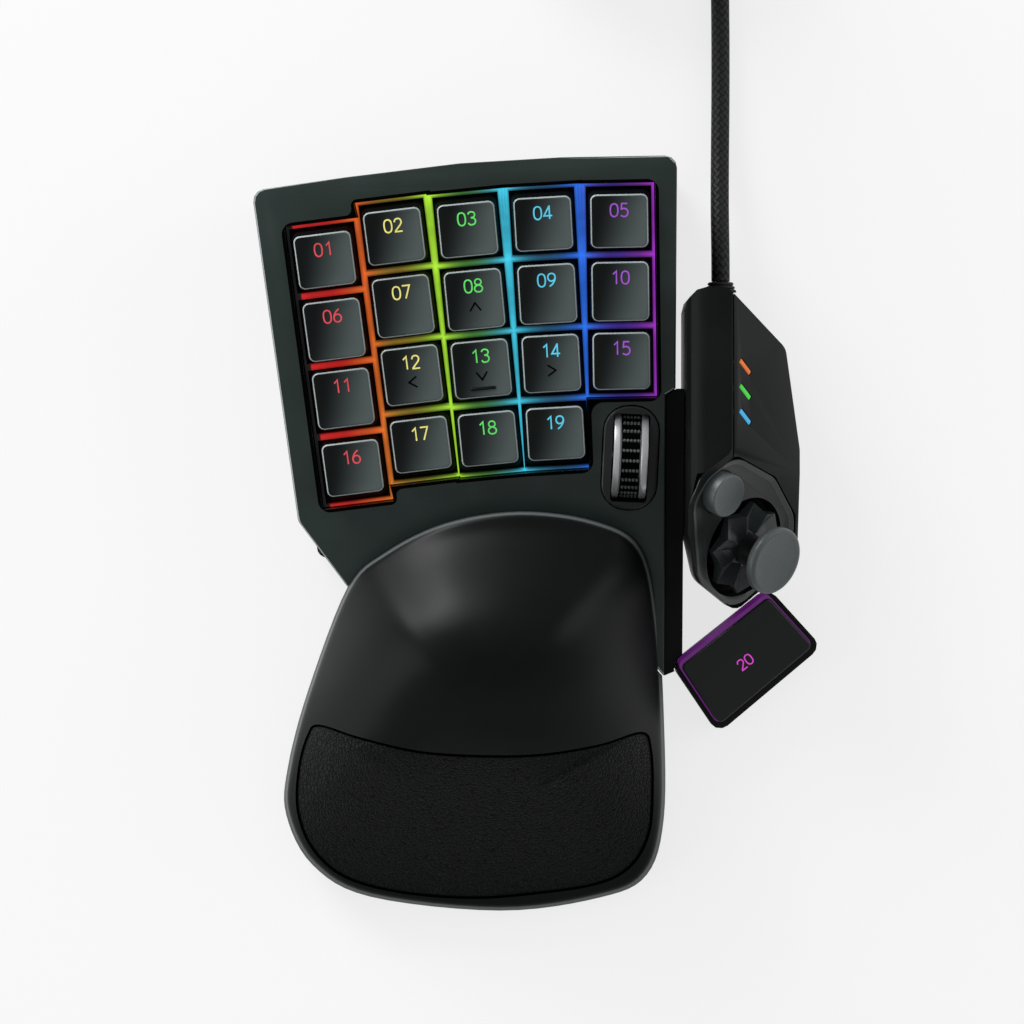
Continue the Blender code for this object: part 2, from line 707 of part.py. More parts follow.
def case_outline():
    """Outline of the main case from above, with the strip beside the palm rest."""
    corners = [case_point(share) for share in CASE_REAR_SHARES]
    corners += [
        (CASE_RIGHT_X, CASE_STEP_Y),
        (CASE_STRIP_X, CASE_STEP_Y - CASE_CORNER / 2),
        (CASE_STRIP_X, FIELD_Y + CASE_STRIP_FOOT_SHARE * CASE_LENGTH),
    ]
    corners += [case_point(share) for share in CASE_FRONT_SHARES]
    radii = [0.0] * len(corners)
    radii[0] = radii[4] = CASE_CORNER
    radii[-1] = CASE_CORNER
    return round_corners(corners, radii, 3)


def column_turn(column):
    return Matrix.Rotation(COLUMN_ANGLES[column], 3, "Z")


def column_place(column, pitches):
    """A place on the deck: along a column, in key pitches from its middle."""
    x = FIELD_X + COLUMN_X_SHARES[column] * KEY_PITCH
    v = FIELD_V + COLUMN_V_SHARES[column] * KEY_PITCH
    return Vector((x, v, 0.0)) + column_turn(column) @ Vector((0.0, pitches * KEY_PITCH, 0.0))


def key_slots():
    """Number, column, row and place of the nineteen keys, row by row."""
    slots = []
    number = 1
    for row in range(KEY_ROWS):
        for column in range(KEY_COLUMNS):
            if row < ROWS_IN_COLUMN[column]:
                slots.append((number, column, row, column_place(column, (KEY_ROWS - 1) / 2 - row)))
                number += 1
    return slots


def field_outline(margin):
    """Stepped outline of the key field, column by column, with a margin round it."""
    half = KEY_PITCH / 2 + margin
    rear, front = [], []
    for column in range(KEY_COLUMNS):
        turn = column_turn(column)
        ends = ((KEY_ROWS / 2, rear), (KEY_ROWS / 2 - ROWS_IN_COLUMN[column], front))
        for row_share, side in ends:
            lengthen = margin if side is rear else -margin
            middle = column_place(column, row_share) + turn @ Vector((0.0, lengthen, 0.0))
            left = right = half
            if column > 0:
                left = (column_place(column, row_share) - column_place(column - 1, row_share)).length / 2
                left = KEY_PITCH / 2 if left > KEY_PITCH * COLUMN_STEP_SHARE else left
            if column < KEY_COLUMNS - 1:
                right = (column_place(column + 1, row_share) - column_place(column, row_share)).length / 2
                right = KEY_PITCH / 2 if right > KEY_PITCH * COLUMN_STEP_SHARE else right
            side.append(middle - turn @ Vector((left, 0.0, 0.0)))
            side.append(middle + turn @ Vector((right, 0.0, 0.0)))
    outline = [(spot.x, spot.y) for spot in rear] + [(spot.x, spot.y) for spot in reversed(front)]
    return outline


def case_room(name):
    """The upright space inside the case's walls, less a gap."""
    return prism(name, offset(case_outline(), -CASE_WALL - GAP), -CASE_LENGTH, CASE_LENGTH)


# Key field

def keycap_mesh(name, row):
    """One keycap with its plunger, hollow from below, its origin on the deck in the middle of its skirt."""
    bm = bmesh.new()
    bmesh.ops.create_cube(bm, size=1.0)
    height = KEY_TOP + KEY_SKIRT_DEPTH
    bmesh.ops.scale(bm, vec=(KEY_SKIRT, KEY_SKIRT, height), verts=bm.verts)
    bmesh.ops.translate(bm, vec=(0.0, 0.0, KEY_TOP - height / 2), verts=bm.verts)
    upright = [edge for edge in bm.edges if abs(edge.verts[0].co.z - edge.verts[1].co.z) > height / 2]
    bmesh.ops.bevel(bm, geom=upright, offset=KEY_CORNER, segments=2, profile=0.5, affect="EDGES", material=-1)
    top = max(bm.faces, key=lambda face: face.calc_center_median().z)
    shift = KEY_FACE_SHIFT_SHARES[row] * KEY_PITCH
    for vert in top.verts:
        vert.co.x *= KEY_FACE_WIDTH / KEY_SKIRT
        vert.co.y = vert.co.y * KEY_FACE_DEPTHS[row] / KEY_SKIRT + shift
    bmesh.ops.inset_region(bm, faces=[top], thickness=KEY_DISH_BORDER, depth=-KEY_DISH)
    bottom = min(bm.faces, key=lambda face: face.calc_center_median().z)
    bmesh.ops.inset_region(bm, faces=[bottom], thickness=KEY_WALL)

    def extrude(face, rise):
        made = bmesh.ops.extrude_discrete_faces(bm, faces=[face])["faces"][0]
        bmesh.ops.translate(bm, vec=(0.0, 0.0, rise), verts=made.verts)
        return made

    roof = extrude(bottom, height - KEY_ROOF)
    for vert in roof.verts:
        vert.co.x *= KEY_FACE_WIDTH / KEY_SKIRT
        vert.co.y = vert.co.y * KEY_FACE_DEPTHS[row] / KEY_SKIRT + shift
    bmesh.ops.inset_region(bm, faces=[roof], thickness=KEY_WALL)
    reach = max(abs(vert.co.x) for vert in roof.verts)
    depth = max(vert.co.y for vert in roof.verts) - shift
    for vert in roof.verts:
        vert.co.x *= PLUNGER_WIDTH / 2 / reach
        vert.co.y = (vert.co.y - shift) * PLUNGER_WIDTH / 2 / depth
    extrude(roof, -(PLUNGER_DEPTH + KEY_TOP - KEY_ROOF))
    bmesh.ops.recalc_face_normals(bm, faces=bm.faces)
    mesh = bpy.data.meshes.new(name)
    bm.to_mesh(mesh)
    bm.free()
    return mesh


def build_keys(deck):
    meshes = [keycap_mesh("keycap_row_%d" % (row + 1), row) for row in range(KEY_ROWS)]
    for number, column, row, place in key_slots():
        key = bpy.data.objects.new("key_%02d" % number, meshes[row])
        bpy.data.collections[OBJECT_NAME].objects.link(key)
        dress(key, "key_black", deck, place, (0.0, 0.0, COLUMN_ANGLES[column]))


def key_cutters(name, width, low, high, deck, segments=0, radius=0.0):
    """One hole for each of the nineteen keys, as one cutter of separate solids."""
    bm = bmesh.new()
    for number, column, row, place in key_slots():
        if segments:
            made = bmesh.ops.create_cone(
                bm, cap_ends=True, segments=segments, radius1=radius, radius2=radius, depth=high - low
            )["verts"]
        else:
            made = bmesh.ops.create_cube(bm, size=1.0)["verts"]
            bmesh.ops.scale(bm, vec=(width, width, high - low), verts=made)
        bmesh.ops.rotate(bm, cent=(0.0, 0.0, 0.0), matrix=column_turn(column), verts=made)
        bmesh.ops.translate(bm, vec=place + Vector((0.0, 0.0, (low + high) / 2)), verts=made)
    cutter = add_mesh(name, bm)
    cutter.parent = deck
    return cutter


def build_key_stack(deck):
    """Light guide, key plate, dome sheet and main board."""
    well = field_outline(WELL_MARGIN)
    guide = prism("light_guide", offset(well, -GAP), -GUIDE_BOTTOM_DEPTH, -GUIDE_TOP_DEPTH)
    dress(guide, "light_white", deck)
    pocket = KEY_SKIRT + 2 * GAP
    cut(guide, key_cutters("key_pockets", pocket, -GUIDE_FLOOR_DEPTH, OVERRUN, deck))
    hole = PLUNGER_WIDTH + 2 * GAP
    cut(guide, key_cutters("guide_holes", hole, -GUIDE_BOTTOM_DEPTH - OVERRUN, 0.0, deck))

    outline = offset(well, PLATE_BORDER)
    plate = prism("key_plate", outline, -PLATE_BOTTOM_DEPTH, -PLATE_TOP_DEPTH)
    dress(plate, "base_black", deck)
    cut(plate, key_cutters("plate_holes", hole, -PLATE_BOTTOM_DEPTH - OVERRUN, 0.0, deck))
    notch = 2 * GAP + SOCKET_WALL
    cut(plate, carrier_box("plate_notch", notch, -OVERRUN * 2, OVERRUN, deck))
    keep_common(plate, case_room("plate_room"))

    sheet = prism("dome_sheet", well, -SHEET_BOTTOM_DEPTH, -SHEET_TOP_DEPTH)
    dress(sheet, "dome_grey", deck)
    domes = bmesh.new()
    low = -SHEET_TOP_DEPTH - SHEET_HEIGHT / 2
    high = -PLUNGER_DEPTH - GAP
    dome = {"radius1": DOME_FOOT_RADIUS, "radius2": DOME_TOP_RADIUS, "depth": high - low}
    for number, column, row, place in key_slots():
        made = bmesh.ops.create_cone(domes, cap_ends=True, segments=8, **dome)["verts"]
        bmesh.ops.translate(domes, vec=place + Vector((0.0, 0.0, (low + high) / 2)), verts=made)
    dome_piece = add_mesh("domes", domes)
    dome_piece.parent = deck
    fuse(sheet, dome_piece)

    board = prism("main_board", outline, -BOARD_BOTTOM_DEPTH, -BOARD_TOP_DEPTH)
    dress(board, "board_green", deck)
    cut(board, carrier_box("board_notch", notch, -OVERRUN * 2, OVERRUN, deck))
    keep_common(board, case_room("board_room"))


# Main case

def well_cutter(name, grow, low, high, deck):
    cutter = prism(name, offset(field_outline(WELL_MARGIN), grow), low, high)
    cutter.parent = deck
    return cutter


def wheel_place():
    return Vector((FIELD_X + WHEEL_X_SHARE * KEY_PITCH, FIELD_V + WHEEL_V_SHARE * KEY_PITCH, 0.0))


def rounded_box_outline(width, length, radius, steps=5):
    x, y = width / 2, length / 2
    return round_corners([(-x, -y), (x, -y), (x, y), (-x, y)], radius, steps)


def wheel_cutter(name, width, length, low, high, deck):
    cutter = prism(name, rounded_box_outline(width, length, width * BEZEL_END_SHARE), low, high)
    cutter.parent = deck
    cutter.location = wheel_place()
    cutter.rotation_euler = (0.0, 0.0, WHEEL_LEAN)
    return cutter


CHEEK_IN = WHEEL_WIDTH / 2 + GAP + TREAD_RIB_HEIGHT / 2
CARRIER_WIDTH = 2 * (CHEEK_IN + CHEEK_THICKNESS)
CARRIER_LOW = -WHEEL_RADIUS - CARRIER_CLEARANCE - CARRIER_FLOOR


def carrier_box(name, grow, low, high, deck):
    """An upright box round the wheel carrier, in the deck's frame."""
    size = (CARRIER_WIDTH + 2 * grow, CHEEK_LENGTH + 2 * grow, high - low)
    cutter = box(name, size, (0.0, 0.0, (low + high) / 2))
    cutter.parent = deck
    cutter.location = wheel_place()
    cutter.rotation_euler = (0.0, 0.0, WHEEL_LEAN)
    return cutter


def screw_post(name, shares, radius, low, high):
    x, y = case_point(shares)
    return cylinder(name, radius, low, high, (x, y, 0.0), 16)


def build_top_shell(deck):
    outline = case_outline()
    shell = lean_to_deck(prism("top_shell", outline, -CASE_SKIRT, 0.0))
    dress(shell, "satin_black")
    bevel(shell, CASE_EDGE, 2, math.radians(60.0))
    cavity = lean_to_deck(prism("top_cavity", offset(outline, -CASE_WALL), -CASE_SKIRT - OVERRUN, -CASE_WALL))
    cut(cavity, well_cutter("well_collar", COLLAR_WALL, -GUIDE_BOTTOM_DEPTH, OVERRUN, deck))
    for name, shares in SCREW_SHARES.items():
        y = case_point(shares)[1]
        post_low = deck_z(y) - SCREW_SINK
        cut(cavity, screw_post(name + "_top_post", shares, SCREW_BOSS_RADIUS, post_low, deck_z(y) + OVERRUN))
    cut(shell, cavity)
    cut(shell, well_cutter("key_well", 0.0, -OVERRUN, OVERRUN, deck))
    hole = (BEZEL_WIDTH + 2 * GAP, BEZEL_LENGTH + 2 * GAP)
    cut(shell, wheel_cutter("bezel_hole", *hole, -OVERRUN, OVERRUN, deck))
    for name, shares in SCREW_SHARES.items():
        thread_high = deck_z(case_point(shares)[1]) - CASE_WALL
        cut(shell, screw_post(name + "_thread", shares, SCREW_RADIUS + GAP, BASE_Z, thread_high))


def bridge_outline():
    """The low bridge between the case and the thumb module, let into the case's side wall."""
    foot_y = FIELD_Y + BRIDGE_FOOT_SHARE * CASE_LENGTH
    strip_foot_y = FIELD_Y + CASE_STRIP_FOOT_SHARE * CASE_LENGTH
    root_x = CASE_STRIP_X - CASE_WALL / 2
    return [
        (root_x, strip_foot_y + CASE_WALL),
        (CASE_STRIP_X, strip_foot_y),
        (THUMB_LEFT_X - GAP, foot_y),
        (THUMB_LEFT_X - GAP, CASE_STEP_Y),
        (root_x, CASE_STEP_Y),
    ]


def rail_places():
    """Middle of each palm rail's root, on the case's front wall."""
    return [(FIELD_X + share * CASE_WIDTH, CASE_FRONT_Y) for share in RAIL_X_SHARES]


def rail_box(name, x, grow=0.0):
    """One palm rail, from inside the case's front wall forward; grown, it is its running space."""
    size = (RAIL_WIDTH + 2 * grow, RAIL_LENGTH + CASE_WALL, RAIL_HEIGHT + 2 * grow)
    middle_y = CASE_FRONT_Y + CASE_WALL / 2 - RAIL_LENGTH / 2
    return box(name, size, (x, middle_y, PALM_SEAM_Z + RAIL_HEIGHT / 2))


def build_bottom_shell(deck):
    outline = case_outline()
    top_z = FIELD_Y + CASE_LENGTH
    shell = prism("bottom_shell", outline, BASE_Z, top_z)
    dress(shell, "base_black")
    bridge = prism("bridge_block", bridge_outline(), BASE_Z, top_z)
    roof_size = (CASE_WIDTH * 2, CASE_LENGTH * 2, top_z)
    cut(bridge, lean_to_deck(box("bridge_roof", roof_size, (0.0, 0.0, top_z / 2 - BRIDGE_DEPTH))))
    fuse(shell, bridge)
    cut(shell, prism("tray_space", tray_outline(2 * GAP), -top_z, top_z * 2))
    cut(shell, thumb_key_room("key_20_space"))
    cut(shell, lean_to_deck(prism("bottom_roof", offset(outline, GAP), -CASE_SKIRT - GAP, top_z)))
    cavity = prism("bottom_cavity", offset(outline, -CASE_WALL), BASE_Z + CASE_WALL, top_z)
    for name, shares in SCREW_SHARES.items():
        boss_high = deck_z(case_point(shares)[1]) - SCREW_SINK - GAP
        cut(cavity, screw_post(name + "_boss", shares, SCREW_BOSS_RADIUS, BASE_Z, boss_high))
    for index, shares in enumerate(POST_SHARES):
        cut(cavity, board_post("board_post_%d" % index, shares, deck))
    socket_top = CARRIER_LOW - WHEEL_AXLE_DEPTH + SOCKET_DEPTH
    socket_floor = CARRIER_LOW - WHEEL_AXLE_DEPTH - WHEEL_CLICK - GAP
    cut(cavity, carrier_box("carrier_socket", GAP + SOCKET_WALL, -OVERRUN * 2, socket_top, deck))
    cut(shell, cavity)
    cut(shell, carrier_box("carrier_pocket", GAP, socket_floor, OVERRUN, deck))
    fuse(shell, *[rail_box("palm_rail_%d" % index, x) for index, (x, y) in enumerate(rail_places())])
    cut(shell, latch_groove())
    for name, shares in SCREW_SHARES.items():
        low = BASE_Z - OVERRUN
        head_high = BASE_Z + SCREW_HEAD_HEIGHT + GAP
        cut(shell, screw_post(name + "_hole", shares, SCREW_RADIUS + GAP, low, deck_z(case_point(shares)[1])))
        cut(shell, screw_post(name + "_head_hole", shares, SCREW_HEAD_RADIUS + GAP, low, head_high))


def board_post(name, shares, deck):
    """A post under the main board, cut square to it."""
    x, y = case_point(shares)
    height = deck_z(y) - (BOARD_BOTTOM_DEPTH + GAP) / math.cos(DECK_TILT)
    post = cylinder(name, POST_RADIUS, BASE_Z, height + POST_RADIUS, (x, y, 0.0), 12)
    trim = box(name + "_trim", (OVERRUN, OVERRUN, OVERRUN), (0.0, 0.0, 0.0))
    trim.parent = deck
    trim.location = (x, y / math.cos(DECK_TILT), OVERRUN / 2 - BOARD_BOTTOM_DEPTH - GAP)
    return cut(post, trim)


def build_screws():
    for name, shares in SCREW_SHARES.items():
        x, y = case_point(shares)
        low = BASE_Z
        high = deck_z(y) - CASE_WALL - GAP
        profile = [
            (0.0, high), (SCREW_RADIUS, high), (SCREW_RADIUS, low + SCREW_HEAD_HEIGHT),
            (SCREW_HEAD_RADIUS, low + SCREW_HEAD_HEIGHT), (SCREW_HEAD_RADIUS, low), (0.0, low),
        ]
        dress(turned(name, profile, 16), "steel", location=(x, y, 0.0))


# Scroll wheel

def build_wheel(deck):
    place = wheel_place()
    axle = add_frame("wheel_frame", Matrix.Identity(4))
    axle.parent = deck
    axle.location = place - Vector((0.0, 0.0, WHEEL_AXLE_DEPTH))
    axle.rotation_euler = (0.0, 0.0, WHEEL_LEAN)

    outline = rounded_box_outline(BEZEL_WIDTH, BEZEL_LENGTH, BEZEL_WIDTH * BEZEL_END_SHARE)
    bezel = prism("wheel_bezel", outline, -BEZEL_DEPTH, BEZEL_PROUD)
    dress(bezel, "satin_black", deck, place, (0.0, 0.0, WHEEL_LEAN))
    opening = rounded_box_outline(BEZEL_OPENING_WIDTH, BEZEL_OPENING_LENGTH, BEZEL_OPENING_CORNER, 3)
    hole = prism("bezel_opening", opening, -BEZEL_DEPTH - OVERRUN, BEZEL_PROUD + OVERRUN)
    hole.parent = deck
    hole.location = place
    hole.rotation_euler = (0.0, 0.0, WHEEL_LEAN)
    cut(bezel, hole)

    half = WHEEL_WIDTH / 2
    rim = half - WHEEL_RIM_WIDTH
    end = half + WHEEL_AXLE_REACH
    upper = [
        (0.0, end), (WHEEL_AXLE_RADIUS, end), (WHEEL_AXLE_RADIUS, half),
        (WHEEL_RADIUS - TREAD_RIB_HEIGHT, half), (WHEEL_RADIUS, half - TREAD_RIB_HEIGHT),
        (WHEEL_RADIUS, rim), (WHEEL_CORE_RADIUS, rim),
    ]
    profile = upper + [(radius, -height) for radius, height in reversed(upper)]
    across = (0.0, math.pi / 2, 0.0)
    smooth(dress(turned("wheel_rim", profile, WHEEL_STEPS), "wheel_silver", axle, turn=across))

    inner = WHEEL_CORE_RADIUS + GAP
    outer = inner + TREAD_THICKNESS
    outline = []
    for rib in range(TREAD_RIBS):
        for share, radius in ((0.0, outer - TREAD_RIB_HEIGHT), (TREAD_RIB_SHARE, outer)):
            angle = 2 * math.pi * (rib + share) / TREAD_RIBS
            outline.append((radius * math.cos(angle), radius * math.sin(angle)))
    tread = dress(prism("wheel_tread", outline, GAP - rim, rim - GAP), "rubber_black", axle, turn=across)
    bore = cylinder("tread_bore", inner, -OVERRUN, OVERRUN, (0.0, 0.0, 0.0), WHEEL_STEPS)
    bore.parent = axle
    bore.rotation_euler = across
    cut(tread, bore)

    top = WHEEL_AXLE_RADIUS + GAP + CHEEK_HEAD
    size = (CARRIER_WIDTH, CHEEK_LENGTH, top - CARRIER_LOW)
    carrier = box("wheel_carrier", size, (0.0, 0.0, (top + CARRIER_LOW) / 2))
    dress(carrier, "base_black", axle)
    floor_top = CARRIER_LOW + CARRIER_FLOOR
    room_size = (2 * CHEEK_IN, CHEEK_LENGTH + OVERRUN, OVERRUN)
    room = box("carrier_room", room_size, (0.0, 0.0, floor_top + OVERRUN / 2))
    room.parent = axle
    bore_radius = WHEEL_AXLE_RADIUS + GAP
    bearing = cylinder("carrier_bearing", bore_radius, -OVERRUN, OVERRUN, (0.0, 0.0, 0.0), 24, axis="X")
    bearing.parent = axle
    cut(carrier, room, bearing)


# Thumb module

def thumb_point(shares):
    return (THUMB_LEFT_X + shares[0] * THUMB_WIDTH, THUMB_REAR_Y + shares[1] * THUMB_LENGTH)


def thumb_outline(inset=0.0):
    outline = round_corners([thumb_point(share) for share in THUMB_CORNER_SHARES], THUMB_CORNER_RADII, 3)
    return offset(outline, -inset) if inset else outline


THUMB_SHELL_Z = BASE_Z + THUMB_BASE_HEIGHT + GAP
CREST_X = THUMB_LEFT_X + THUMB_CREST_SHARE * THUMB_WIDTH
FACE_PLACE = Vector((THUMB_LEFT_X + FACE_X, THUMB_FRONT_Y + FACE_FROM_FRONT, FACE_Z))
FACE_TURNS = Matrix.Rotation(FACE_TURN, 4, "Z") @ Matrix.Rotation(FACE_TILT, 4, "X")
FACE_MATRIX = Matrix.Translation(FACE_PLACE) @ FACE_TURNS


def along_y(piece, y):
    """Stands a flat prism up: its outline becomes a section in X and Z, and it runs rearward from y."""
    turn = Matrix.Translation((0.0, y, 0.0)) @ Matrix.Rotation(math.pi / 2, 4, "X")
    piece.data.transform(turn)
    return piece


def thumb_body(name, inset):
    """The thumb module's outer form, or with an inset the room inside it, still open to the face plane."""
    low = THUMB_SHELL_Z - (OVERRUN if inset else 0.0)
    sky_z = THUMB_CREST_Z * 2
    block = prism(name, thumb_outline(inset), low, sky_z)
    right = THUMB_LEFT_X + THUMB_WIDTH + OVERRUN
    left = THUMB_LEFT_X + inset - CREST_OVERLAP
    crest = THUMB_CREST_Z - inset
    drop = (right - CREST_X) * math.tan(THUMB_FACET_ANGLE)
    ridge = [(right, crest - drop), (CREST_X, crest), (left, crest), (left, crest - OVERRUN)]
    radius = max(THUMB_CREST_RADIUS - inset, THUMB_EDGE_RADIUS)
    rounded = round_corners(ridge, [0.0, THUMB_EDGE_RADIUS, radius, 0.0], 5)[1:-1]
    far_left = left - OVERRUN
    far_corners = [(far_left, rounded[-1][1]), (far_left, sky_z * 2), (right, sky_z * 2)]
    above = [(right, crest - drop), *rounded, *far_corners]
    run = THUMB_LENGTH + 2 * OVERRUN
    sky = along_y(prism(name + "_crest", above, -run / 2, run / 2), THUMB_REAR_Y - THUMB_LENGTH / 2)
    line = [thumb_point(share) for share in POD_REAR_SHARES]
    wide = [(line[0][0] - OVERRUN, line[0][1]), *line, (line[-1][0] + OVERRUN, line[-1][1] - OVERRUN / 2)]
    front_y = THUMB_FRONT_Y - OVERRUN * 2
    pod_outline = round_corners(wide + [(wide[-1][0], front_y), (wide[0][0], front_y)], THUMB_EDGE_RADIUS, 3)
    cut(sky, prism(name + "_pod", offset(pod_outline, -inset) if inset else pod_outline, -sky_z, sky_z * 3))
    cut(block, sky)
    return block


def face_block(name, outline, low, high, frame):
    block = prism(name, outline, low, high)
    block.parent = frame
    return block


def face_outline(grow=0.0):
    corners = [(share[0] * FACE_WIDTH, share[1] * FACE_HEIGHT) for share in FACE_CORNER_SHARES]
    outline = round_corners(corners, FACE_CORNER, 3)
    return offset(outline, grow) if grow else outline


def face_cylinder(name, radius, low, high, frame, centre=(0.0, 0.0, 0.0), segments=ROUND_STEPS, axis="Z"):
    piece = cylinder(name, radius, low, high, centre, segments, axis=axis)
    piece.parent = frame
    return piece


def build_thumb_shells(face):
    span = THUMB_LENGTH * 2
    square = [(-span, -span), (span, -span), (span, span), (-span, span)]
    for name, side in (("thumb_inner_shell", -1.0), ("thumb_side_cover", 1.0)):
        shell = dress(thumb_body(name, 0.0), "satin_black")
        middle = CREST_X + side * (THUMB_WIDTH + SPLIT_GAP / 2)
        half = box(name + "_half", (THUMB_WIDTH * 2, THUMB_LENGTH * 2, THUMB_CREST_Z * 4), (0.0, 0.0, 0.0))
        half.location = (middle, THUMB_REAR_Y - THUMB_LENGTH / 2, THUMB_CREST_Z)
        keep_common(shell, half)
        cut(shell, face_block(name + "_sky", square, 0.0, span, face))
        room = thumb_body(name + "_room", THUMB_WALL)
        depth = FACE_THICKNESS + GAP + FACE_LEDGE
        ledge = face_block(name + "_ledge", square, -depth, span, face)
        pod_rear_y = thumb_point(POD_REAR_SHARES[2])[1]
        rear = box(name + "_rear", (span, span, span * 2), (CREST_X, pod_rear_y + span / 2, 0.0))
        cut(room, cut(ledge, rear))
        cut(shell, room, grommet_hole(name + "_grommet_hole"))
        cut(shell, face_block(name + "_seat", face_outline(GAP), -FACE_THICKNESS - GAP, span, face))
        room_below = [(0.0, -FACE_THICKNESS), *cup_side(-FACE_THICKNESS, GAP), (0.0, -CUP_DEPTH - GAP)]
        cup = turned(name + "_cup_hole", room_below, ROUND_STEPS)
        cup.parent = face
        cut(shell, cup)
        mode_depth = FACE_THICKNESS + MODE_FLANGE_HEIGHT + MODE_TRAVEL + 3 * GAP
        mode_room = MODE_RADIUS + MODE_FLANGE + GAP
        mode_centre = (MODE_X, MODE_Y, 0.0)
        cut(shell, face_cylinder(name + "_mode_hole", mode_room, -mode_depth, OVERRUN, face, mode_centre, 24))
        if side > 0:
            cut(shell, *light_bars("light_slot", GAP))


def cup_side(top, grow=0.0):
    """The gimbal cup's outer wall from its top down, as radius and height, or its room in the shells."""
    return [
        (PAD_WELL_RADIUS + CUP_WALL + grow, top),
        (CUP_SHOULDER_RADIUS + CUP_WALL + grow, -CUP_SHOULDER_DEPTH),
        (CUP_FOOT_RADIUS + grow, -CUP_DEPTH - grow),
    ]


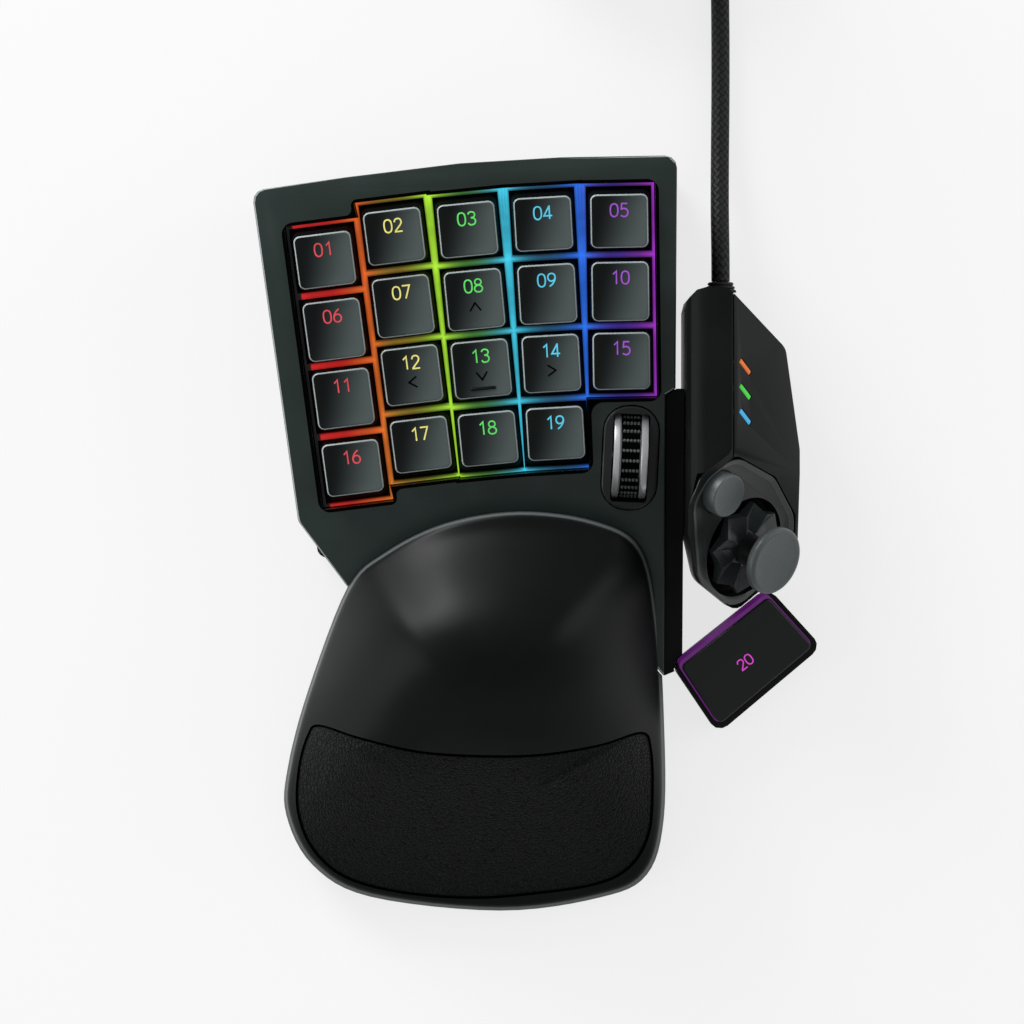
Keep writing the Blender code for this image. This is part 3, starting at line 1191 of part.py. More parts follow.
def build_face_controls(face):
    plate = dress(prism("thumb_face_plate", face_outline(), -FACE_THICKNESS, 0.0), "control_grey", face)
    cut(plate, face_cylinder("pad_well", PAD_WELL_RADIUS, -OVERRUN, OVERRUN, face))
    mode_hole = MODE_RADIUS + GAP
    cut(plate, face_cylinder("mode_hole", mode_hole, -OVERRUN, OVERRUN, face, (MODE_X, MODE_Y, 0.0)))

    low = -FACE_THICKNESS - GAP
    flange, flange_low = MODE_RADIUS + MODE_FLANGE, low - MODE_FLANGE_HEIGHT
    button = [
        (0.0, MODE_PROUD), (MODE_RADIUS * MODE_FACE_SHARE, MODE_PROUD),
        (MODE_RADIUS, MODE_PROUD - MODE_FLANGE / 2), (MODE_RADIUS, low),
        (flange, low), (flange, flange_low), (0.0, flange_low),
    ]
    smooth(dress(turned("mode_button", button, ROUND_STEPS), "control_grey", face, (MODE_X, MODE_Y, 0.0)))

    floor = -CUP_DEPTH + CUP_FLOOR
    inside = [(0.0, floor), (CUP_FOOT_RADIUS - CUP_WALL, floor), (CUP_SHOULDER_RADIUS, -CUP_SHOULDER_DEPTH)]
    base = [*inside, (PAD_WELL_RADIUS, low), *cup_side(low), (0.0, -CUP_DEPTH)]
    cup = dress(turned("gimbal_base", base, ROUND_STEPS), "base_black", face)
    ear_x = RING_OUTER_RADIUS + EAR_GAP
    ear_top = -PIVOT_DEPTH + PIN_RADIUS + GAP + CUP_WALL / 2
    ear_low = floor - CUP_FLOOR / 2
    for side in (-1.0, 1.0):
        size = (EAR_THICKNESS, EAR_WIDTH, ear_top - ear_low)
        ear = box("gimbal_ear", size, (side * (ear_x + EAR_THICKNESS / 2), 0.0, (ear_top + ear_low) / 2))
        ear.parent = face
        fuse(cup, ear)
        hole_span = (ear_x - EAR_GAP, ear_x + EAR_THICKNESS + GAP)
        pin_hole = cylinder("ear_hole", PIN_RADIUS + GAP, *hole_span, (0.0, 0.0, 0.0), 16, axis="X")
        if side < 0:
            pin_hole.data.transform(Matrix.Rotation(math.pi, 4, "Z"))
        pin_hole.parent = face
        pin_hole.location = (0.0, 0.0, -PIVOT_DEPTH)
        cut(cup, pin_hole)

    pivot = add_frame("pivot_frame", Matrix.Identity(4))
    pivot.parent = face
    pivot.location = (0.0, 0.0, -PIVOT_DEPTH)
    half = RING_HEIGHT / 2
    ring = dress(cylinder("gimbal_ring", RING_OUTER_RADIUS, -half, half), "base_black", pivot)
    reach = ear_x + EAR_THICKNESS
    pins = face_cylinder("ring_pins", PIN_RADIUS, -reach, reach, pivot, (0.0, 0.0, 0.0), 16, "X")
    fuse(ring, pins)
    cut(ring, face_cylinder("ring_bore", RING_INNER_RADIUS, -OVERRUN, OVERRUN, pivot))
    cut(ring, face_cylinder("ring_holes", PIN_RADIUS + GAP, -OVERRUN, OVERRUN, pivot, (0.0, 0.0, 0.0), 16, "Y"))

    outline = []
    for facet in range(PAD_FACETS):
        for share, reach_share in PAD_FACET_SHARES:
            angle = 2 * math.pi * (facet + share) / PAD_FACETS
            radius = PAD_RADIUS * reach_share
            outline.append((radius * math.cos(angle), radius * math.sin(angle)))
    top = PIVOT_DEPTH + PAD_PROUD
    pad = dress(prism("direction_pad", outline, top - PAD_THICKNESS, top), "control_grey", pivot)
    fuse(pad, face_cylinder("pad_hub", PAD_HUB_RADIUS, -half, top - PAD_THICKNESS / 2, pivot, segments=24))
    hub_pins = RING_OUTER_RADIUS - GAP
    fuse(pad, face_cylinder("hub_pins", PIN_RADIUS, -hub_pins, hub_pins, pivot, (0.0, 0.0, 0.0), 16, "Y"))
    socket = STICK_PEG_RADIUS + GAP
    socket_low = top - STICK_PEG_DEPTH - GAP
    cut(pad, face_cylinder("stick_socket", socket, socket_low, top + OVERRUN, pivot, segments=16))

    seat = top + GAP
    cap_low = PIVOT_DEPTH + CAP_HEIGHT - CAP_THICKNESS
    stem_top = cap_low + CAP_SOCKET
    stem = [
        (0.0, stem_top), (STICK_PEG_RADIUS, stem_top), (STICK_PEG_RADIUS, cap_low - GAP),
        (STICK_RADIUS, cap_low - GAP), (STICK_FOOT_RADIUS, seat), (STICK_PEG_RADIUS, seat),
        (STICK_PEG_RADIUS, top - STICK_PEG_DEPTH), (0.0, top - STICK_PEG_DEPTH),
    ]
    smooth(dress(turned("thumb_stick", stem, 16), "base_black", pivot))
    cap_top = PIVOT_DEPTH + CAP_HEIGHT
    cap = [
        (0.0, cap_top - CAP_DISH), (CAP_RADIUS * CAP_MIDDLE_SHARE, cap_top - CAP_DISH * CAP_DISH_SHARE),
        (CAP_RADIUS * CAP_RIM_SHARE, cap_top), (CAP_RADIUS, cap_top - CAP_DISH),
        (CAP_RADIUS, cap_low + CAP_DISH), (CAP_RADIUS * CAP_FOOT_SHARE, cap_low),
        (socket, cap_low), (socket, cap_low + CAP_SOCKET + GAP), (0.0, cap_low + CAP_SOCKET + GAP),
    ]
    smooth(dress(turned("stick_cap", cap, ROUND_STEPS), "control_grey", pivot))


def facet_frame():
    """Frame on the side cover's facet: X runs down it, Y to the rear, Z out of it, from the crest."""
    return Matrix.Translation((CREST_X, 0.0, THUMB_CREST_Z)) @ Matrix.Rotation(THUMB_FACET_ANGLE, 4, "Y")


def light_y(index):
    """Place of one status light along the module, counted from the rear."""
    return thumb_point((0.0, LIGHT_FIRST_SHARE))[1] - index * LIGHT_PITCH


def light_bars(name, grow=0.0):
    """The three slanted status-light bars, or their slots when grown, which run out above the wall."""
    bars = []
    depth = THUMB_WALL + LIGHT_STRIP_HEIGHT
    high = OVERRUN if grow else 0.0
    for index in range(LIGHT_COUNT):
        size = (LIGHT_LENGTH + 2 * grow, LIGHT_WIDTH + 2 * grow, depth + high)
        bar = box("%s_%d" % (name, index), size, (0.0, 0.0, (high - depth) / 2))
        bar.data.transform(Matrix.Rotation(LIGHT_TURN, 4, "Z"))
        place = Matrix.Translation((LIGHT_INSET + LIGHT_LENGTH / 2, light_y(index), 0.0))
        bar.data.transform(facet_frame() @ place)
        bars.append(bar)
    return bars


def build_thumb_inside():
    outline = thumb_outline()
    base = dress(prism("thumb_base", outline, BASE_Z, BASE_Z + THUMB_BASE_HEIGHT), "base_black")
    room = prism("base_room", thumb_outline(THUMB_WALL), BASE_Z + THUMB_WALL, BASE_Z + OVERRUN)
    board_low = BASE_Z + THUMB_BASE_HEIGHT
    board_middle = thumb_point(THUMB_BOARD_SHARES)
    board_size = (THUMB_WIDTH * THUMB_BOARD_WIDTH_SHARE, THUMB_LENGTH * THUMB_BOARD_LENGTH_SHARE, BOARD_HEIGHT)
    for side in (-1.0, 1.0):
        y = board_middle[1] + side * board_size[1] * THUMB_POST_SHARE
        post = cylinder("thumb_post", POST_RADIUS, BASE_Z, board_low - GAP, (board_middle[0], y, 0.0), 12)
        cut(room, post)
    cut(base, room)
    board = box("thumb_board", board_size, (*board_middle, board_low + BOARD_HEIGHT / 2))
    dress(board, "board_green")

    length = LIGHT_PITCH * (LIGHT_COUNT - 1) + LIGHT_LENGTH + 2 * LIGHT_STRIP_MARGIN
    strip_size = (LIGHT_STRIP_WIDTH, length, LIGHT_STRIP_HEIGHT)
    strip = box("status_light_pipe", strip_size, (0.0, 0.0, -THUMB_WALL - GAP - LIGHT_STRIP_HEIGHT / 2))
    middle_y = (light_y(0) + light_y(LIGHT_COUNT - 1)) / 2
    strip.data.transform(facet_frame() @ Matrix.Translation((LIGHT_INSET + LIGHT_LENGTH / 2, middle_y, 0.0)))
    dress(strip, "light_white")
    fuse(strip, *light_bars("light_bar"))


# Key 20

THUMB_KEY_PLACE = Vector((THUMB_LEFT_X + THUMB_KEY_X, THUMB_FRONT_Y - THUMB_KEY_AHEAD, THUMB_KEY_Z))
THUMB_KEY_TURNS = Matrix.Rotation(THUMB_KEY_TURN, 4, "Z") @ Matrix.Rotation(THUMB_KEY_TILT, 4, "X")
THUMB_KEY_MATRIX = Matrix.Translation(THUMB_KEY_PLACE) @ THUMB_KEY_TURNS


def thumb_key_outline(grow=0.0):
    corners = [(share[0] * THUMB_KEY_WIDTH, share[1] * THUMB_KEY_DEPTH) for share in THUMB_KEY_CORNER_SHARES]
    outline = round_corners(corners, THUMB_KEY_CORNER, 3)
    return offset(outline, grow) if grow else outline


def tray_outline(grow=0.0):
    """Outline of key 20's tray, seen from above."""
    wall = TRAY_CLEARANCE + TRAY_WALL + grow
    corners = [THUMB_KEY_MATRIX @ Vector((x, y, 0.0)) for x, y in thumb_key_outline(wall)]
    return [(spot.x, spot.y) for spot in corners]


def thumb_key_room(name):
    """The room key 20 runs in, over its whole travel and open above."""
    low = -THUMB_KEY_HEIGHT - THUMB_KEY_TRAVEL - GAP
    room = prism(name, thumb_key_outline(TRAY_CLEARANCE), low, THUMB_KEY_WIDTH * 2)
    room.data.transform(THUMB_KEY_MATRIX)
    return room


def build_thumb_key(frame):
    key = dress(prism("key_20", thumb_key_outline(), -THUMB_KEY_HEIGHT, 0.0), "key_black", frame)
    bevel(key, KEY_DISH, 1, math.radians(60.0))
    peg_low = -THUMB_KEY_HEIGHT - THUMB_KEY_PEG_DEPTH
    peg = cylinder("key_20_peg", THUMB_KEY_PEG_RADIUS, peg_low, -THUMB_KEY_HEIGHT / 2, (0.0, 0.0, 0.0), 16)
    peg.parent = frame
    fuse(key, peg)
    tray = prism("key_20_tray", tray_outline(), BASE_Z, THUMB_CREST_Z)
    dress(tray, "base_black")
    span = THUMB_KEY_WIDTH * 2
    square = [(-span, -span), (span, -span), (span, span), (-span, span)]
    lid = prism("tray_lid", square, -TRAY_TOP_DEPTH, span)
    lid.parent = frame
    hole_low = peg_low - THUMB_KEY_TRAVEL - GAP
    hole = cylinder("tray_peg_hole", THUMB_KEY_PEG_RADIUS + GAP, hole_low, 0.0, (0.0, 0.0, 0.0), 16)
    hole.parent = frame
    cut(tray, lid, thumb_key_room("tray_pocket"), hole)


# Palm rest

PALM_RIGHT_X = CASE_STRIP_X + PALM_SIDE_GAP
PALM_REAR_Y = CASE_FRONT_Y + PALM_OVERLAP


def palm_point(shares):
    return (PALM_RIGHT_X + shares[0] * PALM_WIDTH, PALM_REAR_Y + shares[1] * PALM_LENGTH)


PALM_OUTLINE = smooth_loop([palm_point(share) for share in PALM_OUTLINE_SHARES], PALM_SMOOTH_STEPS)
PALM_CENTRE = Vector(palm_point(PALM_CENTRE_SHARES))
PAD_OUTLINE = smooth_loop([palm_point(share) for share in PAD_OUTLINE_SHARES], 2)
PAD_CENTRE = Vector(palm_point(PAD_CENTRE_SHARES))


def palm_share(x, y):
    """How far a place lies from the palm rest's middle to its outline, from 0 to 1."""
    ray = Vector((x, y)) - PALM_CENTRE
    if ray.length < WELD_DISTANCE:
        return 0.0
    for a, b in zip(PALM_OUTLINE, PALM_OUTLINE[1:] + PALM_OUTLINE[:1]):
        start = Vector(a) - PALM_CENTRE
        side = Vector(b) - Vector(a)
        cross = ray.x * side.y - ray.y * side.x
        if abs(cross) < WELD_DISTANCE ** 3:
            continue
        reach = (start.x * side.y - start.y * side.x) / cross
        along = (start.x * ray.y - start.y * ray.x) / cross
        if reach > 0 and -SHARE_SLACK <= along <= 1 + SHARE_SLACK:
            return min(1.0 / reach, 1.0)
    return 1.0


def palm_height(x, y):
    """Height of the palm rest's upper surface: an edge, a rounded shoulder and a dome."""
    share = palm_share(x, y)
    run = (y - PALM_REAR_Y) / PALM_LENGTH
    edge = read_curve(PALM_EDGE_SHARES, run) * PALM_HEIGHT
    ridge = read_curve(PALM_RIDGE_SHARES, run) * PALM_HEIGHT
    shoulder = min(1.0, (1.0 - share) / PALM_FILLET_SHARE)
    rounding = PALM_FILLET * math.sqrt(1.0 - (1.0 - shoulder) ** 2)
    return edge + rounding + (ridge - edge - PALM_FILLET) * (1.0 - share ** PALM_DOME_POWER)


def loft(name, rings):
    """A closed solid through rings of points, from its bottom ring up; the last ring shrinks to a point."""
    bm = bmesh.new()
    rows = [[bm.verts.new(spot) for spot in ring] for ring in rings]
    bm.faces.new(list(reversed(rows[0])))
    for low, high in zip(rows, rows[1:]):
        for index in range(len(low)):
            following = (index + 1) % len(low)
            bm.faces.new((low[index], low[following], high[following], high[index]))
    top = rows[-1]
    middle = sum((vert.co for vert in top), Vector()) / len(top)
    crown = bm.verts.new(middle)
    for index in range(len(top)):
        bm.faces.new((top[index], top[(index + 1) % len(top)], crown))
    bmesh.ops.recalc_face_normals(bm, faces=bm.faces)
    return add_mesh(name, bm)


def rings_of(outline, centre, shares, height):
    """Rings of a shrinking outline, each point lifted by a height function of x, y and its share."""
    rings = []
    for share in shares:
        ring = []
        for corner in outline:
            spot = centre + (Vector(corner) - centre) * share
            ring.append((spot.x, spot.y, height(spot.x, spot.y, share)))
        rings.append(ring)
    return rings


def flat_ring(outline, z):
    return [(x, y, z) for x, y in outline]


def pad_sink(y):
    """How far the shell's inner surface drops to leave a wall under the pad, blended in over the hump."""
    start = palm_point((0.0, PAD_SINK_SHARE))[1]
    return (PAD_DEPTH + GAP) * ease((start - y) / (PALM_LENGTH * PAD_SINK_BLEND_SHARE))


def case_clearance(name):
    return lean_to_deck(prism(name, offset(case_outline(), PALM_CASE_GAP), -CASE_LENGTH, PALM_LIP_GAP))


def build_palm_rest():
    rings = [flat_ring(PALM_OUTLINE, PALM_SEAM_Z)]
    rings += rings_of(PALM_OUTLINE, PALM_CENTRE, PALM_RING_SHARES, lambda x, y, share: palm_height(x, y))
    shell = smooth(dress(loft("palm_shell", rings), "satin_black"), math.radians(40.0))
    inner = offset(PALM_OUTLINE, -PALM_WALL)
    least = PALM_SEAM_Z + PALM_WALL / 2

    def inner_height(x, y, share):
        return max(palm_height(x, y) - PALM_WALL - pad_sink(y), least)

    rings = [flat_ring(inner, PALM_SEAM_Z - OVERRUN)]
    rings += rings_of(inner, PALM_CENTRE, PALM_CAVITY_SHARES, inner_height)
    cut(shell, loft("palm_cavity", rings))

    grown = offset(PAD_OUTLINE, 2 * GAP)
    floor = -PAD_DEPTH - 3 * GAP
    rings = rings_of(grown, PAD_CENTRE, PAD_FLOOR_SHARES, lambda x, y, share: palm_height(x, y) + floor)
    sky_shares = (PAD_FLOOR_SHARES[-1], PAD_FLOOR_SHARES[0])
    rings += rings_of(grown, PAD_CENTRE, sky_shares, lambda x, y, share: PALM_HEIGHT + OVERRUN)
    cut(shell, loft("pad_recess", rings))
    cut(shell, case_clearance("palm_case_clearance"))

    def pad_floor(x, y, share):
        return palm_height(x, y) - PAD_DEPTH

    def pad_top(x, y, share):
        edge = max(0.0, (share - PAD_EDGE_SHARE) / (1.0 - PAD_EDGE_SHARE))
        return palm_height(x, y) + PAD_CROWN * (1.0 - share ** 3) - PAD_EDGE_DROP * edge ** 2

    rings = rings_of(PAD_OUTLINE, PAD_CENTRE, PAD_FLOOR_SHARES, pad_floor)
    rings += rings_of(PAD_OUTLINE, PAD_CENTRE, PAD_RING_SHARES, pad_top)
    smooth(dress(loft("palm_pad", rings), "pad_leather"), math.radians(50.0))


def guide_y():
    """Middle of the rail guides along Y."""
    return CASE_FRONT_Y - RAIL_GUIDE_SETBACK - RAIL_GUIDE_LENGTH / 2


def latch_place():
    """Where the latch's tooth meets the left rail's right side."""
    x = rail_places()[0][0] + RAIL_WIDTH / 2
    return x, CASE_FRONT_Y - LATCH_SETBACK


def latch_groove():
    x, y = latch_place()
    length = LATCH_TOOTH_LENGTH + PALM_TRAVEL + 2 * GAP
    depth = LATCH_TOOTH + GAP
    middle = y + LATCH_TOOTH_LENGTH / 2 + GAP - length / 2
    return box("latch_groove", (2 * depth, length, OVERRUN), (x, middle, PALM_SEAM_Z))


def build_palm_base():
    top = BASE_Z + PALM_BASE_HEIGHT
    base = dress(prism("palm_base", offset(PALM_OUTLINE, -PALM_BASE_INSET), BASE_Z, top), "base_black")
    cut(base, case_clearance("base_case_clearance"))
    root = PALM_BASE_HEIGHT / 2
    for index, (x, y) in enumerate(rail_places()):
        side = RAIL_WIDTH / 2 + GAP + RAIL_GUIDE_WALL / 2
        for sign in (-1.0, 1.0):
            size = (RAIL_GUIDE_WALL, RAIL_GUIDE_LENGTH, RAIL_GUIDE_HEIGHT + root)
            wall = box("rail_guide", size, (x + sign * side, guide_y(), top - root + size[2] / 2))
            fuse(base, wall)
        roof_low = PALM_SEAM_Z + RAIL_HEIGHT + GAP
        roof_height = top + RAIL_GUIDE_HEIGHT - GAP - roof_low
        roof_y = guide_y() - RAIL_GUIDE_LENGTH / 2 + RAIL_WIDTH / 2 + GAP
        roof = (2 * side, RAIL_WIDTH, roof_height)
        fuse(base, box("rail_cap", roof, (x, roof_y, roof_low + roof_height / 2)))
    x, y = latch_place()
    body_x = x + 2 * GAP + RAIL_GUIDE_WALL
    tab_x = body_x + LATCH_WIDTH / 2
    slot = (LATCH_TAB_WIDTH + LATCH_TRAVEL + 2 * GAP, LATCH_TAB_LENGTH + 2 * GAP, OVERRUN)
    cut(base, box("tab_slot", slot, (tab_x + LATCH_TRAVEL / 2, y, BASE_Z)))
    window = (RAIL_GUIDE_WALL * 3, LATCH_TOOTH_LENGTH + 2 * GAP, OVERRUN)
    window_z = PALM_SEAM_Z - GAP / 2 + OVERRUN / 2
    cut(base, box("tooth_window", window, (x + GAP + RAIL_GUIDE_WALL, y, window_z)))

    latch_z = PALM_SEAM_Z + RAIL_HEIGHT / 2
    latch = box("palm_latch", (LATCH_WIDTH, LATCH_LENGTH, RAIL_HEIGHT), (tab_x, y, latch_z))
    dress(latch, "base_black")
    tooth_end = x - LATCH_TOOTH
    reach = body_x + LATCH_TOOTH_LENGTH - tooth_end
    tooth = (reach, LATCH_TOOTH_LENGTH, RAIL_HEIGHT - 2 * GAP)
    fuse(latch, box("latch_tooth", tooth, (tooth_end + reach / 2, y, latch_z)))
    tab_low = BASE_Z + GAP
    tab = (LATCH_TAB_WIDTH, LATCH_TAB_LENGTH, latch_z - tab_low)
    fuse(latch, box("latch_tab", tab, (tab_x, y, (tab_low + latch_z) / 2)))


# Feet

def build_feet():
    def strip(name, x, y, length):
        foot = prism(name, rounded_box_outline(length, FOOT_WIDTH, FOOT_END_RADIUS, 4), 0.0, FOOT_HEIGHT)
        dress(foot, "rubber_black", location=(x, y, 0.0))

    x, y = case_point((0.0, FOOT_REAR_SHARE))
    strip("foot_rear", x, y, CASE_WIDTH * FOOT_SPAN_SHARE)
    x, y = case_point((0.0, FOOT_MIDDLE_SHARE))
    strip("foot_middle", x, y, CASE_WIDTH * FOOT_SPAN_SHARE)
    x, y = palm_point((-0.5, FOOT_PALM_SHARE))
    strip("foot_palm", x, y, PALM_WIDTH * FOOT_SPAN_SHARE)
    x, y = thumb_point((0.5, FOOT_THUMB_SHARE))
    strip("foot_thumb", x, y, FOOT_THUMB_LENGTH)


# Cable

CABLE_X = THUMB_LEFT_X + CABLE_EXIT_X
COIL_OUTER_RADIUS = COIL_INNER_RADIUS + COIL_TURNS_IN_LAYER * COIL_PITCH
COIL_CENTRE = Vector((CABLE_X - COIL_OUTER_RADIUS, COIL_Y, 0.0))
COIL_REST_Z = CABLE_DIAMETER / 2 + TIE_THICKNESS + GAP
COIL_TOP_Z = COIL_REST_Z + (COIL_LAYERS - 1) * COIL_RISE
PLUG_Z = COIL_TOP_Z + CABLE_DIAMETER / 2 + GAP + PLUG_THICKNESS / 2


def grommet_y():
    """Rear face of the thumb module, where the cable leaves it."""
    return THUMB_REAR_Y


def grommet_hole(name):
    place = (CABLE_X, grommet_y(), CABLE_EXIT_Z)
    return cylinder(name, GROMMET_RADIUS + GAP, -GROMMET_INSIDE * 2, GROMMET_OUTSIDE, place, 24, axis="Y")


def tail_points():
    """The cable's last stretch, which climbs off the coil's uppermost turn and bends back to the plug."""
    climb = PLUG_Z - COIL_TOP_Z
    around = 2 * math.pi * COIL_OUTER_RADIUS
    climb_length = TAIL_CLIMB_TURNS * around + TAIL_SWEEP * TAIL_RADIUS
    points = []
    for step in range(TAIL_CLIMB_STEPS + 1):
        turn = TAIL_CLIMB_TURNS * step / TAIL_CLIMB_STEPS
        angle = 2 * math.pi * (turn - TAIL_CLIMB_TURNS)
        z = COIL_TOP_Z + climb * ease(turn * around / climb_length)
        spot = (COIL_OUTER_RADIUS * math.cos(angle), COIL_OUTER_RADIUS * math.sin(angle), z)
        points.append(COIL_CENTRE + Vector(spot))
    hinge = COIL_CENTRE + Vector((COIL_OUTER_RADIUS - TAIL_RADIUS, 0.0, 0.0))
    done = TAIL_CLIMB_TURNS * around
    for step in range(1, TAIL_BEND_STEPS + 1):
        angle = math.pi / 2 * step / TAIL_BEND_STEPS
        z = COIL_TOP_Z + climb * ease((done + angle * TAIL_RADIUS) / climb_length)
        points.append(hinge + Vector((TAIL_RADIUS * math.cos(angle), TAIL_RADIUS * math.sin(angle), z)))
    points.append(points[-1] - Vector((CABLE_DIAMETER, 0.0, 0.0)))
    return points


def ease(share):
    share = min(max(share, 0.0), 1.0)
    return share * share * (3 - 2 * share)


def smooth_path(points, steps):
    path = []
    for index in range(len(points) - 1):
        a, b, c, d = (Vector(points[min(max(index + shift, 0), len(points) - 1)]) for shift in (-1, 0, 1, 2))
        path += [curve_spot(a, b, c, d, step / steps) for step in range(steps)]
    path.append(Vector(points[-1]))
    return path


def build_coil(lead_path, tail):
    """The coil as one closed ring of its outer shape, open where the lead comes in, with the rising end."""
    half = CABLE_DIAMETER / 2
    low, high = COIL_REST_Z - half, COIL_TOP_Z + half + COIL_SLACK
    outer = COIL_OUTER_RADIUS + half + COIL_SLACK
    ring = cylinder("cable_coil", outer, low, high, COIL_CENTRE, COIL_STEPS)
    dress(ring, "cable_braid")
    bevel(ring, half, 3)
    bore = cylinder("coil_bore", COIL_BORE_RADIUS, low - OVERRUN, high + OVERRUN, COIL_CENTRE, COIL_STEPS)
    room_path = lead_path + [lead_path[-1] + Vector((0.0, GAP, 0.0))]
    room = tube("lead_room", room_path, CABLE_DIAMETER + 2 * GAP, 2)
    cut(ring, bore, room)
    fuse(ring, tube("coil_tail", tail, CABLE_DIAMETER, 2))


def build_cable():
    flange = GROMMET_FLANGE_RADIUS
    grommet = [
        (0.0, GROMMET_OUTSIDE), (flange * GROMMET_FACE_SHARE, GROMMET_OUTSIDE),
        (flange, GROMMET_OUTSIDE - GROMMET_FLANGE / 2), (flange, GAP),
        (GROMMET_RADIUS, GAP), (GROMMET_RADIUS, -GROMMET_INSIDE), (0.0, -GROMMET_INSIDE),
    ]
    sleeve = dress(turned("cable_grommet", grommet, 24), "rubber_black")
    sleeve.location = (CABLE_X, grommet_y(), CABLE_EXIT_Z)
    sleeve.rotation_euler = (-math.pi / 2, 0.0, 0.0)

    origin = Vector((CABLE_X, grommet_y() + LEAD_START, 0.0))
    route = [origin + Vector(spot) for spot in LEAD_ROUTE]
    joint = COIL_CENTRE + Vector((COIL_OUTER_RADIUS, -CABLE_DIAMETER - GAP, COIL_REST_Z))
    route.append(joint)
    lead_path = smooth_path(route, LEAD_STEPS)
    dress(tube("cable_lead", lead_path, CABLE_DIAMETER, 2), "cable_braid")

    tail = tail_points()
    build_coil(lead_path, tail)

    end = tail[-1]
    body = (PLUG_LENGTH, PLUG_WIDTH, PLUG_THICKNESS)
    plug_x = end.x - GAP - PLUG_LENGTH / 2
    plug = box("plug_body", body, (0.0, 0.0, 0.0))
    dress(plug, "rubber_black", location=(plug_x, end.y, PLUG_Z))
    bevel(plug, PLUG_EDGE, 2)
    sleeve_size = (PLUG_SHELL_LENGTH, PLUG_SHELL_WIDTH, PLUG_SHELL_THICKNESS)
    contact = box("plug_shell", sleeve_size, (0.0, 0.0, 0.0))
    contact_x = plug_x - PLUG_LENGTH / 2 - GAP - PLUG_SHELL_LENGTH / 2
    dress(contact, "steel", location=(contact_x, end.y, PLUG_Z))
    hollow = [size - 2 * PLUG_SHELL_WALL for size in sleeve_size]
    hollow_box = box("plug_hollow", hollow, (-2 * PLUG_SHELL_WALL, 0.0, 0.0))
    hollow_box.location = contact.location
    cut(contact, hollow_box)

    inner = COIL_INNER_RADIUS - CABLE_DIAMETER / 2 - 2 * GAP
    outer = COIL_OUTER_RADIUS + CABLE_DIAMETER / 2 + 2 * GAP
    low = COIL_REST_Z - CABLE_DIAMETER / 2 - GAP
    high = COIL_TOP_Z + CABLE_DIAMETER / 2 + 2 * GAP
    ring = [(-outer, low), (-inner, low), (-inner, high), (-outer, high)]
    outside = round_corners(offset(ring, TIE_THICKNESS), CABLE_DIAMETER / 2 + TIE_THICKNESS, 3)
    tie = prism("cable_tie", outside, -TIE_WIDTH / 2, TIE_WIDTH / 2)
    hole = prism("tie_hole", round_corners(ring, CABLE_DIAMETER / 2, 3), -TIE_WIDTH, TIE_WIDTH)
    place = Matrix.Translation(COIL_CENTRE) @ Matrix.Rotation(math.pi / 2, 4, "X")
    tie.data.transform(place)
    hole.data.transform(place)
    dress(tie, "rubber_black")
    cut(tie, hole)


def main():
    clear_scene()
    deck_matrix = Matrix.Translation((0.0, 0.0, DECK_HEIGHT)) @ Matrix.Rotation(DECK_TILT, 4, "X")
    deck = add_frame("deck_frame", deck_matrix)
    face = add_frame("thumb_face_frame", FACE_MATRIX)
    thumb_key = add_frame("thumb_key_frame", THUMB_KEY_MATRIX)
    build_keys(deck)
    build_key_stack(deck)
    build_top_shell(deck)
    build_bottom_shell(deck)
    build_screws()
    build_wheel(deck)
    build_thumb_shells(face)
    build_face_controls(face)
    build_thumb_inside()
    build_thumb_key(thumb_key)
    build_palm_rest()
    build_palm_base()
    build_feet()
    build_cable()


main()
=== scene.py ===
import json
import logging
import math
from collections.abc import Callable, Iterable, Sequence
from dataclasses import dataclass, field
from enum import Enum
from functools import cache
from typing import Self

import bmesh
import bpy
from mathutils import Matrix, Vector

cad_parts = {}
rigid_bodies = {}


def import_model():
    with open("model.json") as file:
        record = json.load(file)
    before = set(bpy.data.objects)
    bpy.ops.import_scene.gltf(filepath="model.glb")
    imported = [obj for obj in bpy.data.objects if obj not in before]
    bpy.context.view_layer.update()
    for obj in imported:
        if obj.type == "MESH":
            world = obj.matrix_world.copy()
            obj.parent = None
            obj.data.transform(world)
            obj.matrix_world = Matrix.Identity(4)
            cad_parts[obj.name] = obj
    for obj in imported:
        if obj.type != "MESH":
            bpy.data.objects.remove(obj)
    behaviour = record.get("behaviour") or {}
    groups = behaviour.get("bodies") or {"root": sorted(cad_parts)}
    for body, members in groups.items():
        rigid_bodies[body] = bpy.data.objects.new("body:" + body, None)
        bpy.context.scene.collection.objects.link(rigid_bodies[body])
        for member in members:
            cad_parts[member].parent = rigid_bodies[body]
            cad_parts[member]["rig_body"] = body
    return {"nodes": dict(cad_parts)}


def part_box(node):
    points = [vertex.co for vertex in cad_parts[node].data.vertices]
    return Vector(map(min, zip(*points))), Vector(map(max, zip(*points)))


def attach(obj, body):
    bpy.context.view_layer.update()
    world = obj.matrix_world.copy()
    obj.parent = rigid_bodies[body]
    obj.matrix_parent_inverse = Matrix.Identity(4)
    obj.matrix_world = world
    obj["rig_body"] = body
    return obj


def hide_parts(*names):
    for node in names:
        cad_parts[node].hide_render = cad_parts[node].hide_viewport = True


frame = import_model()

LOG = logging.getLogger("gaming_keypad")
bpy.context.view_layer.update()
MM = 0.001
NEAR = 0.001 * MM
CUT_REACH = 9.0 * MM
Point = tuple[float, float]
Spot = tuple[float, float, float]
Shares = tuple[float, ...]
Colour = tuple[float, float, float, float]
Height = Callable[[float, float, float], float]
Face = bmesh.types.BMFace
Node = bpy.types.Node
Piece = bpy.types.Object
Socket = bpy.types.NodeSocket
Tree = bpy.types.NodeTree


